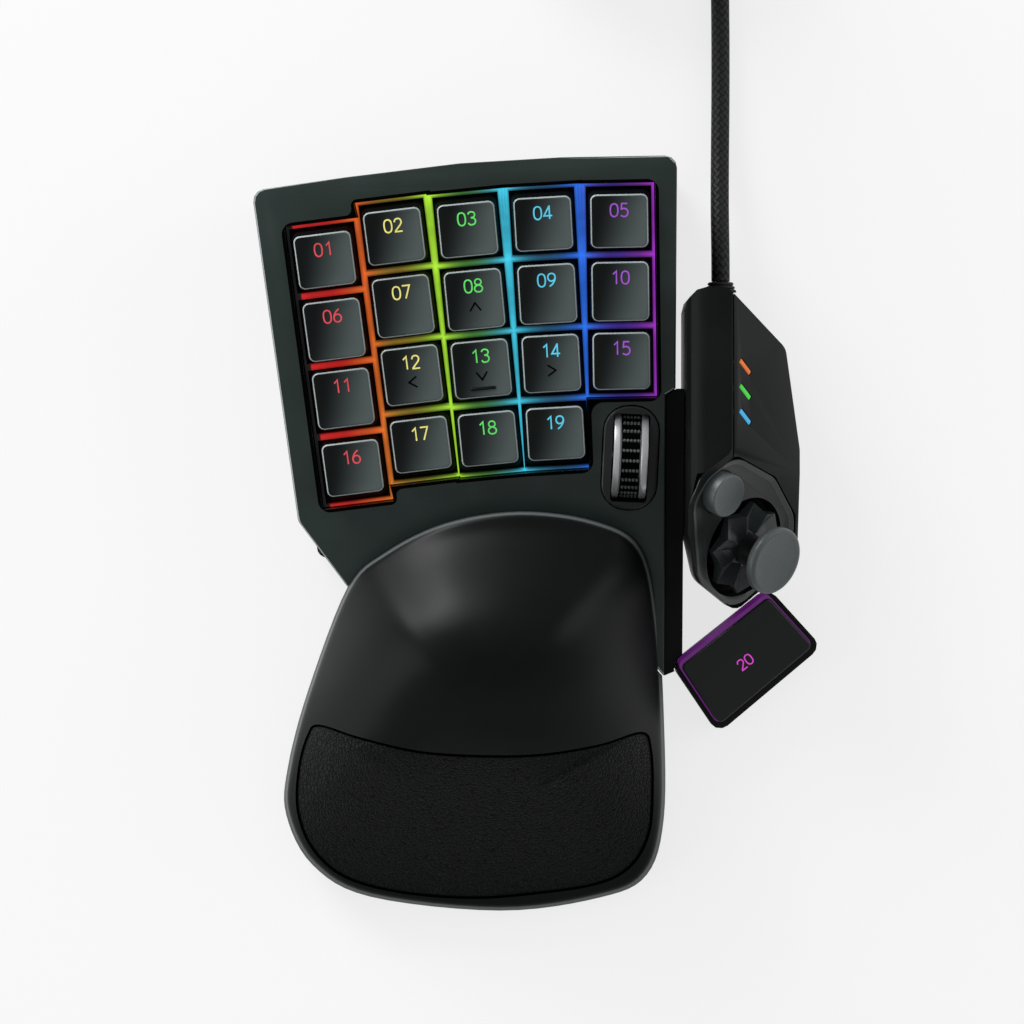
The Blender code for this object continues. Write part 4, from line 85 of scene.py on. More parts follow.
class Body(Enum):
    """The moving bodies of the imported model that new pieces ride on."""

    CASE = "case"
    PALM = "palm_rest"
    WHEEL = "wheel"
    MODE = "thumb_button"
    PAD = "thumb_pad"
    THUMB_KEY = "thumb_key"


class Slot(Enum):
    """The record's material slots."""

    SATIN = "satin_black"
    BASE = "base_black"
    KEY = "key_black"
    LIGHT = "light_white"
    BOARD = "board_green"
    DOME = "dome_grey"
    SILVER = "wheel_silver"
    RUBBER = "rubber_black"
    CONTROL = "control_grey"
    LEATHER = "pad_leather"
    STEEL = "steel"
    BRAID = "cable_braid"


def ink(red: int, green: int, blue: int) -> Colour:
    """Turns a screen colour of 0 to 255 a channel into a linear one.

    Args:
        red: The red channel.
        green: The green channel.
        blue: The blue channel.

    Returns:
        The linear colour with full alpha.
    """
    def straight(channel: int) -> float:
        """Undoes the screen curve for one channel."""
        share = channel / 255
        return share / 12.92 if share <= 0.04045 else ((share + 0.055) / 1.055) ** 2.4

    return (straight(red), straight(green), straight(blue), 1.0)


# Shader node groups

class GroupMaker:
    """Builds one shader node group with named inputs and outputs."""

    def __init__(self, name: str, inputs: dict[str, str], outputs: dict[str, str]) -> None:
        """Opens a new group.

        Args:
            name: The group's name.
            inputs: Socket type of each named input.
            outputs: Socket type of each named output.
        """
        self.tree = bpy.data.node_groups.new(name, "ShaderNodeTree")
        for way, sockets in (("INPUT", inputs), ("OUTPUT", outputs)):
            for label, kind in sockets.items():
                self.tree.interface.new_socket(name=label, in_out=way, socket_type=kind)
        self.source = self.tree.nodes.new("NodeGroupInput").outputs
        self.result = self.tree.nodes.new("NodeGroupOutput").inputs

    def feed(self, socket: Socket, value: object) -> None:
        """Gives a socket a link or a plain value.

        Args:
            socket: The input socket.
            value: Another node's output, or a value.
        """
        if isinstance(value, Socket):
            self.tree.links.new(value, socket)
        else:
            socket.default_value = value

    def add(self, kind: str, out: int | str, values: dict[int | str, object], **choices: str) -> Socket:
        """Adds one node to the group.

        Args:
            kind: The node's type.
            out: The output that is wanted.
            values: What its inputs get.
            choices: Its own settings.

        Returns:
            The wanted output.
        """
        node = self.tree.nodes.new(kind)
        for label, choice in choices.items():
            setattr(node, label, choice)
        for label, value in values.items():
            self.feed(node.inputs[label], value)
        return node.outputs[out]

    def noise(self, vector: object, scale: object, detail: float) -> Socket:
        """Adds a noise texture and returns its value."""
        return self.add("ShaderNodeTexNoise", "Fac", {"Vector": vector, "Scale": scale, "Detail": detail})

    def cells(self, vector: object, scale: object, feature: str) -> Socket:
        """Adds a Voronoi texture and returns its distance."""
        values = {"Vector": vector, "Scale": scale}
        return self.add("ShaderNodeTexVoronoi", "Distance", values, feature=feature)

    def sum(self, operation: str, *terms: object) -> Socket:
        """Adds a math node and returns its value."""
        return self.add("ShaderNodeMath", 0, dict(enumerate(terms)), operation=operation)

    def spread(self, value: object, low: float, high: float, *goals: object) -> Socket:
        """Maps a range of values smoothly onto 0 to 1, or onto the two goals."""
        values = dict(enumerate((value, low, high, *(goals or (0.0, 1.0)))))
        return self.add("ShaderNodeMapRange", 0, values, interpolation_type="SMOOTHSTEP")

    def mix(self, share: object, first: object, second: object) -> Socket:
        """Mixes two colours and returns the result."""
        return self.add("ShaderNodeMix", 2, {0: share, 6: first, 7: second}, data_type="RGBA")

    def parts(self, vector: object) -> list[Socket]:
        """Splits a vector into its three values."""
        return list(self.add("ShaderNodeSeparateXYZ", 0, {0: vector}).node.outputs)

    def ramp(self, share: object, stops: Sequence[tuple[float, Colour]]) -> Socket:
        """Adds a colour ramp.

        Args:
            share: The place along the ramp.
            stops: Place and colour of each stop.

        Returns:
            The ramp's colour.
        """
        colour = self.add("ShaderNodeValToRGB", "Color", {0: share})
        band = colour.node.color_ramp
        band.interpolation = "EASE"
        while len(band.elements) < len(stops):
            band.elements.new(0.5)
        for element, (place, tone) in zip(band.elements, stops):
            element.position = place
            element.color = tone
        return colour

    def close(self, **results: Socket) -> Tree:
        """Feeds the group's outputs.

        Args:
            results: What each named output gives.

        Returns:
            The finished group.
        """
        for label, value in results.items():
            self.feed(self.result[label], value)
        return self.tree


VECTOR, FLOAT, COLOUR = "NodeSocketVector", "NodeSocketFloat", "NodeSocketColor"
SURFACE_OUT = {"Colour": COLOUR, "Roughness": FLOAT, "Height": FLOAT}


@cache
def moulded_grain() -> Tree:
    """The fine spark-eroded grain of moulded plastic, with faint patches, and a lighter second tone laid on
    where a mask says: a painted highlight.

    Returns:
        The group.
    """
    made = GroupMaker("moulded_grain", {
        "Vector": VECTOR, "Grains": FLOAT, "Patches": FLOAT, "Dark": COLOUR, "Light": COLOUR,
        "Smooth": FLOAT, "Rough": FLOAT, "Highlight_Colour": COLOUR, "Painted_Highlight": FLOAT,
    }, SURFACE_OUT)
    source = made.source
    fine = made.noise(source["Vector"], source["Grains"], 2.0)
    wide = made.noise(source["Vector"], source["Patches"], 3.0)
    blend = made.sum("MULTIPLY_ADD", fine, 0.4, made.sum("MULTIPLY", wide, 0.6))
    plain = made.mix(made.spread(blend, 0.35, 0.65), source["Dark"], source["Light"])
    return made.close(
        Colour=made.mix(source["Painted_Highlight"], plain, source["Highlight_Colour"]),
        Roughness=made.spread(wide, 0.3, 0.7, source["Smooth"], source["Rough"]),
        Height=fine,
    )


@cache
def leather_grain() -> Tree:
    """The pebbled cells of leather-look covering, darker in the creases.

    Returns:
        The group.
    """
    made = GroupMaker("leather_grain", {
        "Vector": VECTOR, "Cells": FLOAT, "Crease": COLOUR, "Pebble": COLOUR, "Smooth": FLOAT, "Rough": FLOAT,
    }, SURFACE_OUT)
    source = made.source
    pebble = made.spread(made.cells(source["Vector"], source["Cells"], "DISTANCE_TO_EDGE"), 0.0, 0.22)
    pores = made.noise(source["Vector"], made.sum("MULTIPLY", source["Cells"], 3.1), 2.0)
    return made.close(
        Colour=made.mix(pebble, source["Crease"], source["Pebble"]),
        Roughness=made.spread(pebble, 0.0, 1.0, source["Rough"], source["Smooth"]),
        Height=made.sum("MULTIPLY_ADD", pores, 0.25, pebble),
    )


@cache
def braid_weave() -> Tree:
    """Two sets of yarns that cross over and under round a cord, read from the cord's own UV map.

    Returns:
        The group.
    """
    made = GroupMaker("braid_weave", {
        "Vector": VECTOR, "Along": FLOAT, "Round": FLOAT, "Gap": COLOUR, "Yarn": COLOUR,
    }, SURFACE_OUT)
    source = made.source
    along, around, _ = made.parts(source["Vector"])
    run = made.sum("MULTIPLY", along, source["Along"])
    lap = made.sum("MULTIPLY", around, source["Round"])
    left, right = made.sum("ADD", run, lap), made.sum("SUBTRACT", run, lap)
    ridges = [
        made.sum("SINE", made.sum("MULTIPLY", made.sum("FRACT", side), math.pi)) for side in (left, right)
    ]
    turn = made.sum("PINGPONG", made.sum("ADD", made.sum("FLOOR", left), made.sum("FLOOR", right)), 1.0)
    over = made.sum("MULTIPLY", ridges[0], turn)
    under = made.sum("MULTIPLY", ridges[1], made.sum("SUBTRACT", 1.0, turn))
    height = made.sum("ADD", over, under)
    return made.close(
        Colour=made.mix(made.spread(height, 0.2, 0.9), source["Gap"], source["Yarn"]),
        Roughness=made.spread(height, 0.0, 1.0, 0.85, 0.6),
        Height=height,
    )


@cache
def backlight_field() -> Tree:
    """The colours that run across the key field, from red on the left to violet on the right.

    Returns:
        The group.
    """
    made = GroupMaker("backlight_field", {"Vector": VECTOR, "Shine": FLOAT}, {"Colour": COLOUR})
    across, up, _ = made.parts(made.source["Vector"])
    lean = made.sum("MULTIPLY_ADD", made.sum("SUBTRACT", up, 0.052), 0.08, across)
    share = made.sum("DIVIDE", made.sum("ADD", lean, 0.068), 0.1)
    rainbow = made.ramp(share, [
        (0.0, ink(226, 16, 24)), (0.13, ink(214, 22, 18)), (0.215, ink(226, 96, 24)),
        (0.3, ink(186, 150, 40)), (0.42, ink(176, 240, 50)), (0.5, ink(92, 176, 70)),
        (0.605, ink(60, 205, 236)), (0.7, ink(40, 120, 170)), (0.79, ink(30, 110, 236)),
        (0.885, ink(82, 50, 200)), (0.985, ink(160, 44, 196)),
    ])
    shimmer = made.noise(made.source["Vector"], 260.0, 1.0)
    share = made.sum("MULTIPLY", made.source["Shine"], made.spread(shimmer, 0.3, 0.7, 0.85, 1.0))
    return made.close(Colour=made.mix(share, (0.0, 0.0, 0.0, 1.0), rainbow))


# Finishes

UNLIT_LENS: Colour = (0.02, 0.02, 0.02, 1.0)


def fill(node: Node, values: dict[str, object]) -> None:
    """Sets the named inputs of a node."""
    for label, value in values.items():
        node.inputs[label].default_value = value


@dataclass
class Recipe:
    """What a finish's material is made of: a pattern, its values and the shader's own values."""

    pattern: Tree
    values: dict[str, object]
    shader: dict[str, object]
    depth: float = 0.0
    space: str = "Object"
    mask: str = ""
    colour_to: str = "Base Color"


class Finish:
    """A surface finish: a material made of nodes, one for each name."""

    name: str
    slot: Slot

    @cache
    def material(self) -> bpy.types.Material:
        """Makes the finish's material when it is first asked for.

        Returns:
            The material.
        """
        recipe = self.recipe()
        made = bpy.data.materials.new(self.name)
        made.use_nodes = True
        nodes, link = made.node_tree.nodes, made.node_tree.links.new
        shader, pattern = nodes["Principled BSDF"], nodes.new("ShaderNodeGroup")
        pattern.node_tree = recipe.pattern
        link(nodes.new("ShaderNodeTexCoord").outputs[recipe.space], pattern.inputs["Vector"])
        fill(pattern, recipe.values)
        fill(shader, recipe.shader)
        link(pattern.outputs["Colour"], shader.inputs[recipe.colour_to])
        if "Roughness" in pattern.outputs:
            link(pattern.outputs["Roughness"], shader.inputs["Roughness"])
        if recipe.mask:
            mask = nodes.new("ShaderNodeAttribute")
            mask.attribute_name = recipe.mask
            link(mask.outputs["Fac"], pattern.inputs[recipe.mask.title()])
        if recipe.depth:
            bump = nodes.new("ShaderNodeBump")
            bump.inputs["Distance"].default_value = recipe.depth
            link(pattern.outputs["Height"], bump.inputs["Height"])
            link(bump.outputs["Normal"], shader.inputs["Normal"])
        return made

    def recipe(self) -> Recipe:
        """Says what the material is made of; each kind of finish has its own."""
        raise NotImplementedError


@dataclass(frozen=True)
class Moulded(Finish):
    """Moulded plastic, rubber or plated metal with a fine grain."""

    name: str
    slot: Slot
    dark: Colour
    light: Colour
    smooth: float
    rough: float
    grains: float = 3200.0
    patches: float = 45.0
    depth: float = 0.008 * MM
    metallic: float = 0.0
    specular: float = 0.5
    # A lighter colour laid on where the piece's mask is high: a painted highlight.
    highlight_colour: Colour | None = None

    def recipe(self) -> Recipe:
        """The grain, its colour and its gloss.

        Returns:
            The recipe.
        """
        values = {
            "Grains": self.grains, "Patches": self.patches, "Dark": self.dark, "Light": self.light,
            "Smooth": self.smooth, "Rough": self.rough, "Highlight_Colour": self.highlight_colour or self.light,
        }
        shader = {"Metallic": self.metallic, "Specular IOR Level": self.specular}
        return Recipe(moulded_grain(), values, shader, self.depth, mask="painted_highlight" if self.highlight_colour else "")


@dataclass(frozen=True)
class Leather(Finish):
    """Fine-grained leather-look covering."""

    name: str
    slot: Slot
    crease: Colour
    pebble: Colour
    cells: float = 950.0
    depth: float = 0.22 * MM
    smooth: float = 0.36
    rough: float = 0.6
    specular: float = 0.12

    def recipe(self) -> Recipe:
        """The pebbles and their sheen.

        Returns:
            The recipe.
        """
        values = {
            "Cells": self.cells, "Crease": self.crease, "Pebble": self.pebble,
            "Smooth": self.smooth, "Rough": self.rough,
        }
        return Recipe(leather_grain(), values, {"Specular IOR Level": self.specular}, self.depth)


@dataclass(frozen=True)
class Braid(Finish):
    """Braided yarn sleeve of a cord, which follows the cord's own UV map."""

    name: str
    slot: Slot
    gap: Colour
    yarn: Colour
    length: float
    pitch: float = 2.2 * MM
    yarns: int = 8
    depth: float = 0.2 * MM
    specular: float = 0.35

    def recipe(self) -> Recipe:
        """The weave.

        Returns:
            The recipe.
        """
        values = {
            "Along": self.length / self.pitch, "Round": float(self.yarns), "Gap": self.gap, "Yarn": self.yarn,
        }
        return Recipe(braid_weave(), values, {"Specular IOR Level": self.specular}, self.depth, "UV")


@dataclass(frozen=True)
class Glow(Finish):
    """A lit print or lens of one colour, a little brighter in places."""

    name: str
    slot: Slot
    colour: Colour
    strength: float = 1.0
    dimmest: float = 0.8
    grains: float = 900.0
    patches: float = 300.0
    smooth: float = 0.4
    rough: float = 0.6

    def recipe(self) -> Recipe:
        """The lit colour.

        Returns:
            The recipe.
        """
        values = {
            "Grains": self.grains, "Patches": self.patches, "Light": self.colour,
            "Dark": tuple(channel * self.dimmest for channel in self.colour[:3]) + (1.0,),
            "Smooth": self.smooth, "Rough": self.rough,
        }
        shader = {"Emission Strength": self.strength, "Base Color": UNLIT_LENS}
        return Recipe(moulded_grain(), values, shader, colour_to="Emission Color")


@dataclass(frozen=True)
class Backlight(Finish):
    """Light guide lit from below in the colours of the key field."""

    name: str
    slot: Slot
    strength: float = 1.15
    rough: float = 0.5

    def recipe(self) -> Recipe:
        """The lit colours, as bright as the mesh says.

        Returns:
            The recipe.
        """
        shader = {"Emission Strength": self.strength, "Base Color": UNLIT_LENS, "Roughness": self.rough}
        return Recipe(backlight_field(), {}, shader, mask="shine", colour_to="Emission Color")


SATIN = Moulded(
    "satin_case", Slot.SATIN, ink(34, 46, 43), ink(41, 53, 50), 0.34, 0.42, specular=0.35,
)
# Pale colour for the case's rounded edges: a painted highlight.
CASE_EDGE_HIGHLIGHT = Moulded("case_edge_painted_highlight", Slot.SATIN, ink(150, 156, 157), ink(180, 186, 187), 0.28, 0.38)
# Palm shell plastic; its pale second colour is a painted highlight along the rim.
GLOSS_PALM = Moulded(
    "satin_palm", Slot.SATIN, ink(6, 8, 8), ink(10, 12, 12), 0.38, 0.44, specular=0.15,
    highlight_colour=ink(104, 109, 110),
)
THUMB_PLASTIC = Moulded(
    "satin_thumb", Slot.SATIN, ink(12, 14, 14), ink(17, 19, 19), 0.36, 0.44, specular=0.14,
)
# Lighter colour for the thumb module's rounded edges: a painted highlight.
THUMB_EDGE_HIGHLIGHT = Moulded("thumb_edge_painted_highlight", Slot.SATIN, ink(34, 38, 39), ink(50, 54, 55), 0.3, 0.4)
BASE = Moulded(
    "moulded_base", Slot.BASE, ink(8, 9, 9), ink(13, 14, 14), 0.5, 0.62, depth=0.02 * MM, specular=0.15,
)
# Keycap plastic; its lighter second colour is a painted reflection across the dished face.
KEYCAP = Moulded(
    "keycap", Slot.KEY, ink(6, 11, 11), ink(11, 16, 16), 0.34, 0.42, specular=0.2, highlight_colour=ink(88, 98, 98),
)
# Light grey for the keycaps' rounded rims: a painted highlight.
KEY_RIM_HIGHLIGHT = Moulded("key_rim_painted_highlight", Slot.KEY, ink(150, 160, 160), ink(172, 182, 182), 0.28, 0.36)
# Keycap skirts: a duller finish, and a darker colour that is painted shade between the keys.
KEY_SKIRT_SHADE = Moulded("keycap_skirt_painted_shade", Slot.KEY, ink(3, 4, 4), ink(7, 8, 8), 0.6, 0.75, specular=0.05)
THUMB_CAP = Moulded(
    "thumb_keycap_face", Slot.KEY, ink(24, 27, 26), ink(29, 32, 31), 0.36, 0.44, specular=0.25,
)
CONTROL = Moulded("control", Slot.CONTROL, ink(66, 73, 75), ink(82, 89, 91), 0.36, 0.46)
PAD_FACETS = Moulded("pad_facets", Slot.CONTROL, ink(44, 49, 50), ink(56, 61, 62), 0.3, 0.4)
PLATE = Moulded("face_plate", Slot.CONTROL, ink(24, 28, 27), ink(31, 35, 34), 0.36, 0.46, specular=0.35)
# Lighter colour for the thumb plate's lip and the wheel bezel's rim: a painted highlight.
PLATE_LIP_HIGHLIGHT = Moulded("plate_lip_painted_highlight", Slot.CONTROL, ink(50, 54, 55), ink(70, 74, 75), 0.3, 0.4, specular=0.35)
RUBBER = Moulded(
    "rubber", Slot.RUBBER, ink(14, 15, 15), ink(24, 25, 25), 0.6, 0.8, grains=2400.0, depth=0.03 * MM,
)
STUD = Moulded("stud_rubber", Slot.RUBBER, ink(66, 68, 69), ink(92, 94, 95), 0.45, 0.6, grains=2400.0)
SILVER = Moulded(
    "anodised_rim", Slot.SILVER, ink(176, 179, 181), ink(204, 207, 208), 0.24, 0.34, metallic=0.5,
)
STEEL = Moulded("plated_steel", Slot.STEEL, ink(170, 172, 175), ink(200, 201, 204), 0.2, 0.34, metallic=1.0)
DARK_STEEL = Moulded("blackened_steel", Slot.STEEL, ink(22, 23, 24), ink(30, 31, 32), 0.4, 0.55, specular=0.3)
DOME = Moulded("dome_silicone", Slot.DOME, ink(120, 122, 125), ink(140, 142, 145), 0.5, 0.65)
BOARD = Moulded(
    "circuit_board", Slot.BOARD, ink(14, 60, 36), ink(26, 84, 50), 0.3, 0.45, grains=700.0, patches=260.0,
)
# Near-black matte for printed marks and the tread band, and for the well border, where it is painted shade.
DARK_MATTE_AND_SHADE = Moulded("dark_matte_and_painted_shade", Slot.KEY, ink(1, 1, 1), ink(3, 3, 3), 0.7, 0.8, specular=0.02)
PAD_LEATHER = Leather("grained_cover", Slot.LEATHER, ink(2, 3, 3), ink(14, 17, 16))
FIELD_LIGHT = Backlight("field_backlight", Slot.LIGHT)


# Working pieces

class Workpiece:
    """A mesh in the making and the operators that shape it."""

    def __init__(self, node: str = "") -> None:
        """Starts a mesh.

        Args:
            node: A CAD node whose merged mesh it starts from, or none.
        """
        self.bm = bmesh.new()
        if node:
            self.bm.from_mesh(frame["nodes"][node].data)
            self.merge()

    def merge(self) -> Self:
        """Joins the points that lie on each other."""
        bmesh.ops.remove_doubles(self.bm, verts=self.bm.verts, dist=NEAR)
        return self

    def outwards(self) -> Self:
        """Turns every face outwards."""
        bmesh.ops.recalc_face_normals(self.bm, faces=self.bm.faces)
        return self

    def lift(self, verts: Iterable[bmesh.types.BMVert], rise: float) -> None:
        """Moves some points straight up."""
        bmesh.ops.translate(self.bm, vec=(0.0, 0.0, rise), verts=list(verts))

    def face(self, outline: Iterable[Point], z: float) -> Face:
        """Adds one flat face through the points of an outline."""
        return self.bm.faces.new([self.bm.verts.new((x, y, z)) for x, y in outline])

    def extrude(self, faces: Iterable[Face], rise: float = 0.0) -> Face:
        """Extrudes faces straight up.

        Args:
            faces: The faces to start from.
            rise: How far the new ones rise.

        Returns:
            The first of the new faces.
        """
        made = bmesh.ops.extrude_face_region(self.bm, geom=list(faces))["geom"]
        self.lift([item for item in made if isinstance(item, bmesh.types.BMVert)], rise)
        return next(item for item in made if isinstance(item, Face))

    def prism(self, outline: Iterable[Point], low: float, high: float) -> Self:
        """Adds an upright solid of one outline, from its low to its high level."""
        self.extrude([self.face(outline, low)], high - low)
        return self.outwards()

    def thicken(self, drop: float, rise: float) -> Self:
        """Gives flat faces a thin body.

        Args:
            drop: How far it goes below them.
            rise: How far it stands above them.

        Returns:
            The workpiece itself.
        """
        self.lift(self.bm.verts, -drop)
        self.extrude(self.bm.faces, drop + rise)
        return self.outwards()

    def block(self, size: Sequence[float], centre: Sequence[float]) -> Self:
        """Adds a box.

        Args:
            size: Its width, length and height.
            centre: Its middle.

        Returns:
            The workpiece itself.
        """
        made = bmesh.ops.create_cube(self.bm, size=1.0)["verts"]
        bmesh.ops.scale(self.bm, vec=size, verts=made)
        bmesh.ops.translate(self.bm, vec=centre, verts=made)
        return self

    def turned(self, profile: Sequence[Point], steps: int) -> Self:
        """Spins a profile round the Z axis.

        Args:
            profile: Radius and height of each point.
            steps: How many steps the full turn has.

        Returns:
            The workpiece itself.
        """
        spots = [self.bm.verts.new((radius, 0.0, z)) for radius, z in profile]
        sides = [self.bm.edges.new(pair) for pair in zip(spots, spots[1:])]
        bmesh.ops.spin(
            self.bm, geom=spots + sides, cent=(0.0, 0.0, 0.0), axis=(0.0, 0.0, 1.0), dvec=(0.0, 0.0, 0.0),
            angle=math.tau, steps=steps, use_merge=True,
        )
        return self.merge().outwards()

    def highest(self) -> Face:
        """Returns the face whose middle lies highest."""
        return max(self.bm.faces, key=lambda face: (round(face.calc_center_median().z, 7), face.calc_area()))

    def lowest(self) -> Face:
        """Returns the face whose middle lies lowest."""
        return min(self.bm.faces, key=lambda face: (round(face.calc_center_median().z, 7), -face.calc_area()))

    def round_edges(
        self, edges: Iterable[bmesh.types.BMEdge], width: float, segments: int,
    ) -> Self:
        """Rounds edges.

        Args:
            edges: The edges.
            width: How wide the rounding is.
            segments: How many steps it has.

        Returns:
            The workpiece itself.
        """
        bmesh.ops.bevel(
            self.bm, geom=list(edges), offset=width, segments=segments, profile=0.5, affect="EDGES",
            material=-1, clamp_overlap=True,
        )
        return self

    def round_rim(self, z: float, width: float, segments: int) -> Self:
        """Rounds the sharp edges that lie at one height.

        Args:
            z: The height.
            width: How wide the rounding is.
            segments: How many steps it has.

        Returns:
            The workpiece itself.
        """
        rim = [
            edge for edge in self.bm.edges
            if all(abs(vert.co.z - z) < NEAR for vert in edge.verts)
            and edge.is_manifold and edge.calc_face_angle(0.0) > math.radians(30.0)
        ]
        return self.round_edges(rim, width, segments)

    def step_in(self, face: Face, centre: Point, ratio: float, rise: float = 0.0) -> Face:
        """Grows a smaller copy of a face inside it, joined to it by a ring of faces.

        Args:
            face: The face to start from.
            centre: The place that it shrinks towards.
            ratio: Its size against the first.
            rise: How far it rises.

        Returns:
            The new face.
        """
        made = bmesh.ops.extrude_discrete_faces(self.bm, faces=[face])["faces"][0]
        middle = Matrix.Translation((-centre[0], -centre[1], 0.0))
        bmesh.ops.scale(self.bm, vec=(ratio, ratio, 1.0), space=middle, verts=made.verts)
        self.lift(made.verts, rise)
        return made

    def rings(self, face: Face, centre: Point, shares: Sequence[float], height: Height | None = None) -> Face:
        """Steps a face in ring by ring.

        Args:
            face: The face to start from, whose share is 1.
            centre: The place that the rings shrink towards.
            shares: Size of each ring against the face.
            height: Height of a point, from its x, y and share.

        Returns:
            The innermost face.
        """
        done = 1.0
        for share in shares:
            face = self.step_in(face, centre, share / done) if share < 1.0 else face
            done = share
            for vert in face.verts if height else ():
                vert.co.z = height(vert.co.x, vert.co.y, share)
        return face

    def mark(self, index: int, test: Callable[[Face], bool]) -> Self:
        """Gives the faces that pass a test another of the piece's finishes.

        Args:
            index: The finish's place among the piece's finishes.
            test: Says whether a face takes it.

        Returns:
            The workpiece itself.
        """
        self.bm.normal_update()
        for face in self.bm.faces:
            if test(face):
                face.material_index = index
        return self

    def move(self, matrix: Matrix) -> Self:
        """Turns and moves the whole mesh."""
        bmesh.ops.transform(self.bm, matrix=matrix, verts=self.bm.verts)
        return self

    def as_object(self, name: str) -> Piece:
        """Turns the mesh into an object at the origin and lets the bmesh go.

        Args:
            name: The object's name.

        Returns:
            The object.
        """
        mesh = bpy.data.meshes.new(name)
        self.bm.to_mesh(mesh)
        self.bm.free()
        return linked(name, mesh)


def linked(name: str, data: bpy.types.ID) -> Piece:
    """Makes an object of some data and puts it into the scene.

    Args:
        name: The object's name.
        data: Its mesh, curve, lamp or camera.

    Returns:
        The object.
    """
    made = bpy.data.objects.new(name, data)
    bpy.context.scene.collection.objects.link(made)
    return made


def home_of(node: str) -> str:
    """Names the body that a CAD node rides on."""
    return frame["nodes"][node]["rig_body"]


def carve(piece: Piece, *tools: Workpiece) -> Piece:
    """Takes closed shapes away from a piece, for openings that no single operator makes.

    Args:
        piece: The piece to cut.
        tools: The shapes to take away.

    Returns:
        The piece.
    """
    for tool in tools:
        cutter = tool.as_object("carving_tool")
        step = piece.modifiers.new("carve", "BOOLEAN")
        step.operation = "DIFFERENCE"
        step.solver = "EXACT"
        step.object = cutter
        graph = bpy.context.evaluated_depsgraph_get()
        carved = bpy.data.meshes.new_from_object(piece.evaluated_get(graph))
        piece.modifiers.clear()
        spent = piece.data
        piece.data = carved
        bpy.data.meshes.remove(spent)
        bpy.data.objects.remove(cutter)
    return piece


def dress(
    piece: Piece, finish: Finish, body: str, stands_for: Sequence[str] = (), sharp: float = 35.0,
    more: Sequence[Finish] = (),
) -> Piece:
    """Gives a finished piece its surface, its body and the CAD nodes that it stands for.

    Args:
        piece: The piece, in place.
        finish: Its surface finish.
        body: The body that it rides on.
        stands_for: CAD nodes that it replaces.
        sharp: The angle, in degrees, past which an edge stays sharp.
        more: Further finishes, for the faces that are marked for them.

    Returns:
        The piece.
    """
    for each in (finish, *more):
        piece.data.materials.append(each.material())
    piece.data.polygons.foreach_set("use_smooth", [True] * len(piece.data.polygons))
    piece.data.set_sharp_from_angle(angle=math.radians(sharp))
    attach(piece, body)
    if stands_for:
        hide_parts(*stands_for)
    LOG.info("%s: %d faces on %s", piece.name, len(piece.data.polygons), body)
    return piece


@dataclass(frozen=True)
class Refined:
    """A CAD node carried over with merged faces, rounded edges and a finish, and where asked a painted
    highlight on its rounded edges and on faces of a given slope.
    """

    node: str
    finish: Finish
    edge: float = 0.25 * MM
    segments: int = 2
    sharp: float = 32.0
    highlight_finish: Finish | None = None
    highlight_slopes: Point = (2.0, 2.0)
    highlight_side: float = 1.0
    merge: float = math.radians(0.6)

    def build(self) -> Piece:
        """Makes the refined copy in the node's place.

        Returns:
            The copy.
        """
        work = Workpiece(self.node)
        if self.merge:
            bmesh.ops.dissolve_limit(
                work.bm, angle_limit=self.merge, verts=work.bm.verts, edges=work.bm.edges,
            )
        low, high = self.highlight_slopes
        # Painted highlight: faces of the given slope that do not face right take the second finish.
        work.mark(1, lambda face: low < face.normal.z < high and face.normal.x < self.highlight_side)
        piece = work.as_object(self.node + "_skin")
        more = [self.highlight_finish] if self.highlight_finish else []
        dress(piece, self.finish, home_of(self.node), [self.node], self.sharp, more)
        if self.edge:
            step = piece.modifiers.new("edge", "BEVEL")
            step.width = self.edge
            step.segments = self.segments
            step.limit_method = "ANGLE"
            step.angle_limit = math.radians(self.sharp)
            step.harden_normals = True
            # The rounded edges take the painted-highlight finish too, when there is one.
            step.material = len(more) or -1
            step.miter_outer = "MITER_ARC"
        return piece


def paint_node(node: str, finish: Finish) -> None:
    """Gives a CAD node that keeps its shape inside the object a finish.

    Args:
        node: The node.
        finish: Its finish.
    """
    piece = frame["nodes"][node]
    if not piece.material_slots:
        piece.data.materials.append(finish.material())
    for slot in piece.material_slots:
        slot.material = finish.material()
    LOG.info("%s keeps its CAD shape", node)


# Outlines and curves

def round_corners(corners: Sequence[Point], radii: float | Sequence[float], steps: int) -> list[Point]:
    """Swaps each corner of a closed outline for an arc of its own radius.

    Args:
        corners: The corners, in order.
        radii: One radius, or one for each corner.
        steps: How many steps each arc has.

    Returns:
        The rounded outline.
    """
    count = len(corners)
    each = radii if isinstance(radii, (list, tuple)) else [radii] * count
    outline: list[Point] = []
    for index, corner in enumerate(corners):
        here = Vector(corner)
        back = Vector(corners[index - 1]) - here
        ahead = Vector(corners[(index + 1) % count]) - here
        half = back.angle(ahead) / 2
        reach = min(each[index] / math.tan(half), 0.48 * back.length, 0.48 * ahead.length)
        if reach < 2 * NEAR or half > math.radians(88.0):
            outline.append(tuple(here))
            continue
        radius = reach * math.tan(half)
        centre = here + (back.normalized() + ahead.normalized()).normalized() * radius / math.sin(half)
        first = here + back.normalized() * reach - centre
        sweep = first.angle_signed(here + ahead.normalized() * reach - centre)
        for step in range(steps + 1):
            spot = first.copy()
            spot.rotate(Matrix.Rotation(-sweep * step / steps, 2))
            outline.append(tuple(centre + spot))
    return outline


def rounded_box(width: float, length: float, corner: float, steps: int) -> list[Point]:
    """Outline of a box with round corners about the origin."""
    x, y = width / 2, length / 2
    return round_corners([(-x, -y), (x, -y), (x, y), (-x, y)], corner, steps)


